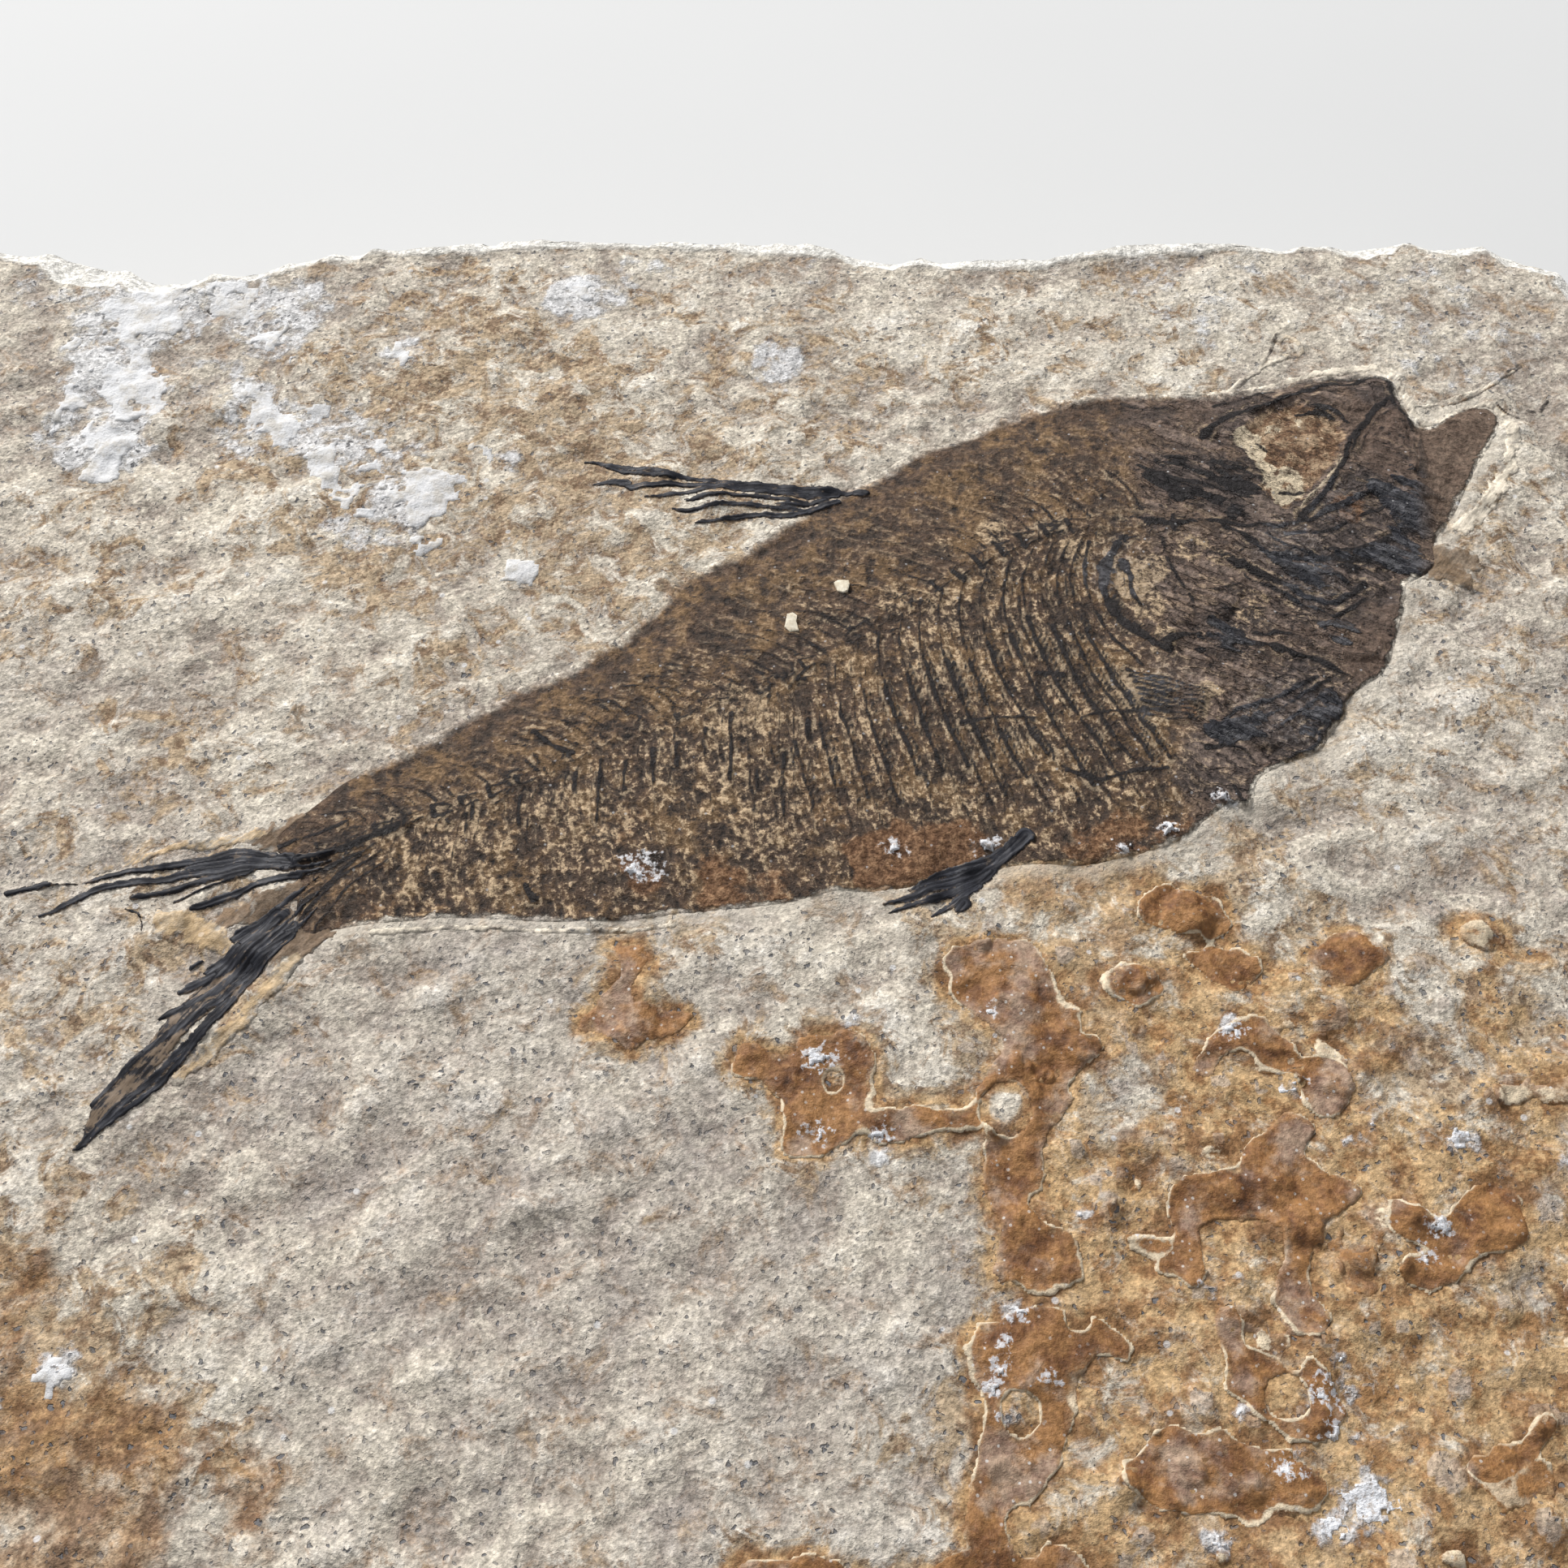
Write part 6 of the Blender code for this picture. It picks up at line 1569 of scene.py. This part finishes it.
fishColours = {
    "film": (0.130, 0.081, 0.054),
    "filmDark": (0.060, 0.042, 0.032),
    "filmWarm": (0.225, 0.138, 0.070),
    "tan": (0.555, 0.410, 0.262),
    "greyed": (0.172, 0.124, 0.103),
    "ink": (0.020, 0.017, 0.018),
    "blueInk": (0.032, 0.033, 0.041),
    # sheen: a painted grey-blue reflection on the bones
    "sheen": (0.205, 0.200, 0.212),
    "cream": (0.68, 0.57, 0.41),
    "rust": (0.170, 0.076, 0.034),
    "snout": (0.150, 0.100, 0.072),
    "snoutPale": (0.235, 0.168, 0.124),
    "smooth": (0.112, 0.075, 0.057),
    "smoothPale": (0.180, 0.123, 0.094),
    "shadow": (0.084, 0.067, 0.063),
    "headTan": (0.410, 0.300, 0.215),
    # painted highlight for the ridges of the skull's folds
    "paintedFoldHighlight": (0.300, 0.225, 0.185),
    # painted highlight of the raised streaks along ribs, spines and skull
    "streak": (0.330, 0.240, 0.160),
    # the painted highlight beside the raised bones
    "paintedBoneHighlight": (0.42, 0.320, 0.215),
    "rustPale": (0.285, 0.155, 0.080),
    "eye": (0.200, 0.112, 0.062),
    "eyePale": (0.475, 0.335, 0.215),
    "eyeDark": (0.075, 0.045, 0.030),
    "dust": (0.66, 0.66, 0.69),
    "glint": (0.55, 0.54, 0.55),
}


def pressedBoneMaterial(grain):
    colours = fishColours
    material, tree, shader = newMaterial("pressed bone film", 0.24)
    stone = stoneOn(tree, grain)
    where = millimetres(tree)
    edge, backEdge = attribute(tree, "fishEdge"), attribute(tree, "backEdge")
    flank, head = attribute(tree, "flank"), attribute(tree, "head")
    broad = noiseAt(tree, where, 4.5, 6.0, 0.62)
    mottled = noiseAt(tree, where, 1.5, 7.0, 0.70)
    grains = noiseAt(tree, where, 0.50, 5.0, 0.68)
    alongRibs = noiseAt(tree, millimetres(tree, turn=74, stretch=(6.0, 1.0, 1.0)), 0.52, 4.0, 0.62)
    alongSpines = noiseAt(tree, millimetres(tree, turn=24, stretch=(7.0, 1.0, 1.0)), 0.62, 4.0, 0.62)
    alongSkull = noiseAt(tree, millimetres(tree, turn=24, stretch=(4.5, 1.0, 1.0)), 0.60, 5.0, 0.66)
    streaks = mixed(tree, flank, alongSpines, alongRibs)
    streaks = mixed(tree, head, streaks, alongSkull)
    smooth, shadeFilm = attribute(tree, "smooth"), attribute(tree, "shade")

    def over(share, below, above, strength=1.0):
        return blendColour(tree, times(tree, share, strength), below, above)

    # the film: dark brown, worn to warm brown and tan in grains and streaks
    film = blendColour(tree, rampTo(tree, mottled, 0.38, 0.58), colours["filmDark"], colours["film"])
    film = blendColour(tree, rampTo(tree, plus(tree, mottled, times(tree, broad, 0.8)), 0.86, 1.06), film,
                       colours["filmWarm"])
    film = over(rampTo(tree, head, 0.1, 0.9, 0.0, 0.62), film, colours["greyed"])
    film = over(rampTo(tree, smooth, 0.2, 0.8), film,
                blendColour(tree, rampTo(tree, alongSkull, 0.35, 0.62), colours["smooth"],
                            colours["smoothPale"]), 0.85)
    film = over(rampTo(tree, plus(tree, shadeFilm, calc(tree, "SUBTRACT", alongSkull, 0.5)), 0.25, 0.75),
                film, colours["shadow"], 0.75)
    wornness = weighted(tree, (grains, 1.0), (streaks, 0.50), (mottled, 0.75))
    flankShow = times(tree, rampTo(tree, backEdge, 1.5, 5.5, 0.15, 1.0), mixed(tree, flank, 0.26, 1.0))
    headShow = times(tree, rampTo(tree, head, 0.2, 0.9, 1.0, 0.78),
                     rampTo(tree, smooth, 0.2, 0.8, 1.0, 0.12))
    tan = times(tree, rampTo(tree, wornness, 1.15, 1.31), times(tree, flankShow, headShow))
    film = over(tan, film, blendColour(tree, head, colours["tan"], colours["headTan"]), 0.88)
    # creases in the crushed skull, darkened as painted shade; the folds painted pale on their ridges as
    # highlights and dark in their hollows as shade
    folded = noiseAt(tree, millimetres(tree, turn=30, stretch=(2.6, 1.0, 1.0), shift=11.0), 1.25, 3.0, 0.55)
    crease = rampTo(tree, calc(tree, "ABSOLUTE", calc(tree, "SUBTRACT", folded, 0.5)), 0.030, 0.004)
    crease = times(tree, crease, times(tree, rampTo(tree, head, 0.3, 0.9),
                                       rampTo(tree, smooth, 0.2, 0.8, 1.0, 0.15)))
    rumpled = times(tree, rampTo(tree, head, 0.3, 0.9), rampTo(tree, smooth, 0.2, 0.8, 1.0, 0.25))
    # painted highlight on the fold ridges
    film = over(times(tree, rumpled, rampTo(tree, folded, 0.53, 0.63)), film, colours["paintedFoldHighlight"], 0.55)
    # painted shade in the fold hollows
    film = over(times(tree, rumpled, rampTo(tree, folded, 0.46, 0.38)), film, colours["ink"], 0.50)
    # painted highlight on the raised streaks along ribs, spines and skull
    paintedStreakHighlight = times(tree, rampTo(tree, streaks, 0.55, 0.66), rampTo(tree, backEdge, 1.0, 4.0, 0.35, 1.0))
    film = over(paintedStreakHighlight, film, colours["streak"], 0.40)
    # painted shade in the recessed creases
    film = over(crease, film, colours["ink"], 0.55)
    pale = rampTo(tree, swayed(tree, attribute(tree, "pale"), wornness, 2.1, 1.125), 0.40, 0.95)
    film = over(pale, film, colours["tan"], 0.85)
    # the painted highlight beside the raised bones
    bright = rampTo(tree, swayed(tree, attribute(tree, "bright"), grains, 1.4), 0.30, 0.80)
    film = over(times(tree, bright, headShow), film, colours["paintedBoneHighlight"], 0.85)
    dark = rampTo(tree, wornness, 1.01, 0.88)
    film = over(times(tree, dark, rampTo(tree, backEdge, 1.0, 4.0, 0.5, 1.0)), film, colours["ink"], 0.80)
    rust = rampTo(tree, swayed(tree, attribute(tree, "rust"), mottled, 1.8), 0.35, 0.75)
    film = over(rust, film, blendColour(tree, rampTo(tree, grains, 0.35, 0.65), colours["rust"],
                                        colours["rustPale"]), 0.88)
    # the eye
    eye = attribute(tree, "eye")
    eyeRagged = swayed(tree, eye, mottled, 3.6)
    eyeTone = blendColour(tree, rampTo(tree, mottled, 0.44, 0.58), colours["eye"], colours["eyePale"])
    film = over(rampTo(tree, eyeRagged, -0.1, 0.45), film, eyeTone)
    creamy = swayed(tree, attribute(tree, "cream"), mottled, 2.4)
    creamy = swayed(tree, creamy, grains, 1.2)
    film = over(times(tree, rampTo(tree, creamy, 0.46, 0.66), rampTo(tree, eye, -0.7, 0.0)), film,
                colours["cream"], 0.9)
    eyeDark = times(tree, rampTo(tree, mottled, 0.46, 0.39), rampTo(tree, eye, 0.3, 1.4))
    film = over(eyeDark, film, colours["eyeDark"], 0.8)
    # bones: blue-black to brown-black marks, worn through by the grain, with a painted grey-blue sheen on
    # them
    rough = swing(tree, grains, 0.42)
    stroke = rampTo(tree, plus(tree, attribute(tree, "line"), rough), -0.07, 0.05)
    worn = swayed(tree, attribute(tree, "ink"), mottled, 0.8)
    worn = plus(tree, worn, times(tree, calc(tree, "SUBTRACT", streaks, 0.52), times(tree, head, 2.4)))
    inked = times(tree, stroke, rampTo(tree, worn, 0.06, 0.50, 0.0, 0.98))
    blue = rampTo(tree, swayed(tree, attribute(tree, "blue"), mottled, 1.6), 0.25, 0.75)
    inkColour = blendColour(tree, blue, colours["ink"], colours["blueInk"])
    # painted sheen: a grey-blue reflection on the blue bones
    blueSheen = times(tree, blue, rampTo(tree, grains, 0.42, 0.64))
    film = over(blueSheen, film, colours["sheen"], 0.36)
    film = over(inked, film, inkColour)
    # painted sheen along the skull's streaks on the inked bones
    film = over(times(tree, times(tree, blue, rampTo(tree, alongSkull, 0.47, 0.60)), inked), film,
                colours["sheen"], 0.50)
    film = over(attribute(tree, "snout"), film,
                blendColour(tree, rampTo(tree, mottled, 0.35, 0.65), colours["snout"],
                            colours["snoutPale"]), 0.88)
    frost = swayed(tree, attribute(tree, "chalk"), grains, 2.6)
    film = over(rampTo(tree, frost, 0.50, 0.80), film, colours["dust"], 0.85)
    # the film ends crisply along the belly and fades out along the back
    raggedEdge = swing(tree, noiseAt(tree, where, 1.8, 7.0, 0.68), 1.9)
    softness = rampTo(tree, backEdge, 0.5, 4.0, 1.0, 0.25)
    rooted = plus(tree, edge, times(tree, attribute(tree, "root"), 1.6))
    reach = calc(tree, "DIVIDE", plus(tree, rooted, raggedEdge), softness)
    cover = rampTo(tree, reach, -0.15, 1.0)
    colour = blendColour(tree, cover, stone["Color"], film)
    # darker where the grains' bump is low and lighter where it is high: painted shade and light of the fine
    # relief
    shade = rampTo(tree, grains, 0.28, 0.72, 0.50, 1.52)
    colour = shaded(tree, colour, shade)
    glints = spotsAt(tree, where, 1.0, 0.13, 0.35)
    colour = blendColour(tree, times(tree, times(tree, glints, cover), 0.6), colour, colours["glint"])
    gloss = plus(tree, rampTo(tree, grains, 0.3, 0.7, 0.64, 0.48), times(tree, inked, -0.13))
    roughness = mixed(tree, cover, stone["Roughness"], gloss)
    height = weighted(tree, (grains, 0.40), (mottled, 0.50), (streaks, 0.20), (inked, 0.06),
                      (crease, -0.16), (times(tree, folded, head), 0.75))
    height = mixed(tree, cover, stone["Height"], height)
    wire(tree, shader, colour, roughness, height)
    return material


# the ray's grey-blue colour is a painted sheen streaked along the black rays
rayColours = {"black": (0.010, 0.010, 0.014), "blue": (0.048, 0.050, 0.062),
              "worn": (0.20, 0.150, 0.110), "web": (0.225, 0.165, 0.115),
              "root": (0.195, 0.135, 0.090)}


def blackRayMaterial(grain):
    colours = rayColours
    material, tree, shader = newMaterial("black fin ray", 0.20)
    stone = stoneOn(tree, grain)
    where = millimetres(tree)
    patch = noiseAt(tree, where, 0.9, 5.0, 0.65)
    lengthwise = addNode(tree, "ShaderNodeCombineXYZ",
                         {0: times(tree, attribute(tree, "across"), 3.4),
                          1: times(tree, attribute(tree, "travel"), 0.42)})
    fibres = noiseAt(tree, lengthwise.outputs[0], 1.0, 4.0, 0.62)
    # lighter grey-blue streaks on the fibres' raised lines: painted sheen
    colour = blendColour(tree, rampTo(tree, fibres, 0.38, 0.66), colours["black"], colours["blue"])
    worn = weighted(tree, (patch, 0.6), (fibres, 0.5))
    colour = blendColour(tree, rampTo(tree, worn, 0.62, 0.70, 0.0, 0.55), colour, colours["worn"])
    thin = times(tree, attribute(tree, "web"), rampTo(tree, worn, 0.49, 0.59, 0.05, 1.0))
    colour = blendColour(tree, times(tree, thin, 0.90), colour, colours["web"])
    cover = rampTo(tree, swayed(tree, attribute(tree, "ray"), worn, 3.0, 0.55), -0.20, 0.20)
    # the brown film round the fin's root
    rooted = rampTo(tree, attribute(tree, "fishEdge"), -3.2, -1.0, 0.0, 0.85)
    bed = blendColour(tree, rooted, stone["Color"], colours["root"])
    colour = blendColour(tree, cover, bed, colour)
    roughness = mixed(tree, cover, stone["Roughness"], rampTo(tree, fibres, 0.3, 0.7, 0.68, 0.52))
    height = weighted(tree, (patch, 0.05), (fibres, 0.06))
    wire(tree, shader, colour, roughness, height)
    return material


crustColours = {"rust": (0.172, 0.072, 0.027), "orange": (0.345, 0.172, 0.064),
                "dusky": (0.300, 0.195, 0.145), "buff": (0.430, 0.320, 0.240),
                "core": (0.090, 0.046, 0.028), "thread": (0.74, 0.62, 0.45),
                "grit": (0.66, 0.63, 0.60), "frost": (0.66, 0.66, 0.69)}


def rustCrustMaterial(grain):
    colours = crustColours
    material, tree, shader = newMaterial("iron crust", 0.36)
    stone = stoneOn(tree, grain)
    where = millimetres(tree)
    broad = noiseAt(tree, where, 5.0, 5.0, 0.6)
    patch = noiseAt(tree, where, 1.9, 7.0, 0.68)
    fine = noiseAt(tree, where, 0.42, 4.0, 0.62)
    colour = blendColour(tree, rampTo(tree, patch, 0.38, 0.60), colours["rust"], colours["orange"])
    colour = blendColour(tree, rampTo(tree, broad, 0.50, 0.62, 0.0, 0.80), colour,
                         blendColour(tree, rampTo(tree, patch, 0.40, 0.60), colours["dusky"],
                                     colours["buff"]))
    colour = blendColour(tree, rampTo(tree, patch, 0.42, 0.32, 0.0, 0.8), colour, colours["core"])
    rim = attribute(tree, "rim")
    fading = swayed(tree, rim, patch, 4.2)
    cover = rampTo(tree, fading, -0.40, 0.70, 0.10, 1.0)
    colour = blendColour(tree, cover, stone["Color"], colour)
    wavering = swayed(tree, rim, fine, 0.30)
    thread = times(tree, rampTo(tree, wavering, 0.12, 0.20), rampTo(tree, wavering, 0.42, 0.30))
    thread = times(tree, thread, attribute(tree, "thread"))
    colour = blendColour(tree, times(tree, thread, 0.90), colour, colours["thread"])
    # darker where the fine bump is low and lighter where it is high: painted shade and light of the relief
    shade = rampTo(tree, fine, 0.25, 0.75, 0.66, 1.30)
    colour = shaded(tree, colour, shade)
    dusty = times(tree, spotsAt(tree, where, 0.62, 0.13, 0.55), rampTo(tree, broad, 0.40, 0.58, 0.25, 1.0))
    colour = blendColour(tree, times(tree, dusty, 0.75), colour, colours["grit"])
    frost = swayed(tree, attribute(tree, "chalk"), fine, 2.6)
    colour = blendColour(tree, rampTo(tree, frost, 0.50, 0.80, 0.0, 0.85), colour, colours["frost"])
    height = weighted(tree, (patch, 0.34), (fine, 0.13))
    wire(tree, shader, colour, rampTo(tree, fine, 0.3, 0.7, 0.74, 0.48), height)
    return material


traceColours = {"tan": (0.50, 0.360, 0.205), "cream": (0.74, 0.665, 0.55),
                "brown": (0.185, 0.125, 0.080), "black": (0.045, 0.038, 0.036)}


def traceMaterial(grain):
    colours = traceColours
    material, tree, shader = newMaterial("trace on stone", 0.22)
    stone = stoneOn(tree, grain)
    where = millimetres(tree)
    patch = noiseAt(tree, where, 1.0, 6.0, 0.66)
    lengthwise = noiseAt(tree, millimetres(tree, turn=-50, stretch=(5.0, 1.0, 1.0)), 0.55, 4.0, 0.6)
    tone = attribute(tree, "tone")
    colour = blendColour(tree, rampTo(tree, tone, 0.1, 0.8), colours["tan"], colours["cream"])
    colour = blendColour(tree, rampTo(tree, tone, 0.05, -0.45), colour, colours["brown"])
    colour = blendColour(tree, rampTo(tree, tone, -0.5, -0.85), colour, colours["black"])
    grains = noiseAt(tree, where, 0.5, 5.0, 0.68)
    strong = rampTo(tree, calc(tree, "ABSOLUTE", tone), 0.25, 0.5)
    cover = swayed(tree, attribute(tree, "rim"), patch, 3.0)
    cover = swayed(tree, cover, lengthwise, 2.4)
    cover = plus(tree, cover, times(tree, strong, 0.15))
    cover = times(tree, rampTo(tree, cover, -0.10, 0.45), rampTo(tree, strong, 0.0, 1.0, 0.70, 0.92))
    colour = blendColour(tree, cover, stone["Color"], colour)
    # darker where the grain and streak bump is low and lighter where it is high: painted shade and light of
    # the relief
    shade = times(tree, rampTo(tree, lengthwise, 0.35, 0.65, 0.66, 1.26),
                  rampTo(tree, grains, 0.3, 0.7, 0.78, 1.20))
    colour = shaded(tree, colour, shade)
    height = weighted(tree, (grains, 0.16), (lengthwise, 0.10))
    wire(tree, shader, colour, stone["Roughness"], height)
    return material


chalkColours = {"white": (0.77, 0.775, 0.795), "worn": (0.60, 0.575, 0.54)}


def chalkMaterial(grain):
    colours = chalkColours
    material, tree, shader = newMaterial("chalky flake", 0.2)
    stone = stoneOn(tree, grain)
    where = millimetres(tree)
    patch = noiseAt(tree, where, 1.8, 8.0, 0.70)
    fine = noiseAt(tree, where, 0.35, 4.0, 0.6)
    chalky = blendColour(tree, rampTo(tree, patch, 0.46, 0.64), colours["white"], colours["worn"])
    cover = rampTo(tree, swayed(tree, attribute(tree, "rim"), patch, 3.0), -0.25, 0.45, 0.0, 0.88)
    colour = blendColour(tree, cover, stone["Color"], chalky)
    height = weighted(tree, (patch, 0.26), (fine, 0.10))
    wire(tree, shader, colour, rampTo(tree, fine, 0.3, 0.7, 0.92, 0.84), height)
    return material


crystalColours = {"white": (0.80, 0.81, 0.85), "dusty": (0.52, 0.47, 0.44), "gap": (0.40, 0.35, 0.32)}


def paleCrystalMaterial():
    colours = crystalColours
    material, tree, shader = newMaterial("pale crystal", 0.5)
    where = millimetres(tree)
    tone = noiseAt(tree, where, 0.5, 4.0, 0.7)
    colour = blendColour(tree, rampTo(tree, tone, 0.50, 0.62), colours["white"], colours["dusty"])
    grit = noiseAt(tree, where, 0.22, 3.0, 0.7)
    colour = blendColour(tree, rampTo(tree, grit, 0.42, 0.34, 0.0, 0.55), colour, colours["gap"])
    wire(tree, shader, colour, rampTo(tree, tone, 0.3, 0.7, 0.5, 0.7), times(tree, grit, 0.16))
    return material


crumbColours = {"pale": (0.90, 0.83, 0.68), "tan": (0.76, 0.66, 0.50)}


def crumbMaterial():
    colours = crumbColours
    material, tree, shader = newMaterial("loose crumb", 0.3)
    where = millimetres(tree)
    tone = noiseAt(tree, where, 0.5, 5.0, 0.65)
    colour = blendColour(tree, rampTo(tree, tone, 0.35, 0.62), colours["pale"], colours["tan"])
    wire(tree, shader, colour, rampTo(tree, tone, 0.3, 0.7, 0.85, 0.7), times(tree, tone, 0.10))
    return material


# the view: camera, light and floor
cameraPlace = {"lens": 38.6, "at": (0.0, -68.6, 121.8), "lookAt": (0.0, 0.0, 12.0)}
lamps = {
    "keyLight": {"at": (-760, 1180, 930), "size": 420, "power": 43.0, "colour": (1.0, 0.985, 0.96)},
    "softFill": {"at": (900, -700, 1200), "size": 1200, "power": 3.5, "colour": (0.95, 0.975, 1.0)},
}
skyLight = {"colour": (0.93, 0.96, 1.0), "strength": 0.24}
floorColours = [(0.655, 0.66, 0.665), (0.685, 0.69, 0.695)]


def pointAt(thing, spot):
    thing.rotation_euler = (Vector(spot) * mm - thing.location).to_track_quat("-Z", "Y").to_euler()


def setStage():
    scene = bpy.context.scene
    scene.view_settings.view_transform = "Standard"
    camera = bpy.data.objects.new("camera", bpy.data.cameras.new("camera"))
    camera.data.sensor_width = 36.0
    camera.data.lens = cameraPlace["lens"]
    camera.data.clip_start = 0.01
    camera.location = Vector(cameraPlace["at"]) * mm
    pointAt(camera, cameraPlace["lookAt"])
    scene.collection.objects.link(camera)
    scene.camera = camera
    for name, lamp in lamps.items():
        data = bpy.data.lights.new(name, "AREA")
        data.energy, data.color = lamp["power"], lamp["colour"]
        data.size = lamp["size"] * mm
        light = bpy.data.objects.new(name, data)
        light.location = Vector(lamp["at"]) * mm
        pointAt(light, (0, 0, 6))
        scene.collection.objects.link(light)
    world = bpy.data.worlds.new("pale room")
    world.use_nodes = True
    sky = world.node_tree.nodes["Background"]
    sky.inputs["Color"].default_value = (*skyLight["colour"], 1.0)
    sky.inputs["Strength"].default_value = skyLight["strength"]
    scene.world = world
    mesh = bmesh.new()
    bmesh.ops.create_grid(mesh, x_segments=8, y_segments=8, size=3.0)
    floorMesh = bpy.data.meshes.new("paleFloor")
    mesh.to_mesh(floorMesh)
    mesh.free()
    floor = bpy.data.objects.new("paleFloor", floorMesh)
    scene.collection.objects.link(floor)
    material, tree, shader = newMaterial("pale table", 0.0)
    shader.inputs["Roughness"].default_value = 1.0
    where = millimetres(tree)
    tone = noiseAt(tree, where, 60.0, 3.0)
    tree.links.new(blendColour(tree, tone, *floorColours), shader.inputs["Base Color"])
    floorMesh.materials.append(material)


setStage()
print("stage set")
grain = stoneGroup()
buildSlab(limestoneMaterial(grain))
print("slab built")
buildFish(pressedBoneMaterial(grain))
print("fish built")
rayFinish = blackRayMaterial(grain)
for name, node in (("dorsal_fin_rays", "dorsal_fin"), ("upper_tail_rays", "tail_fin_upper_lobe"),
                   ("lower_tail_rays", "tail_fin_lower_lobe"), ("pelvic_rays", "pelvic_fin")):
    buildFin(name, node, rayFinish)
print("fins built")
buildCrust(rustCrustMaterial(grain))
buildChalk(chalkMaterial(grain))
buildTraces(traceMaterial(grain))
buildCrystals(paleCrystalMaterial())
crumb = crumbMaterial()
for name in chipShapes:
    buildChip(name, crumb)
print("crusts, crystals and crumbs built")
for piece in bpy.context.scene.objects:
    if piece.type == "MESH" and not piece.get("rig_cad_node"):
        print(piece.name, sum(len(face.vertices) - 2 for face in piece.data.polygons), "triangles")
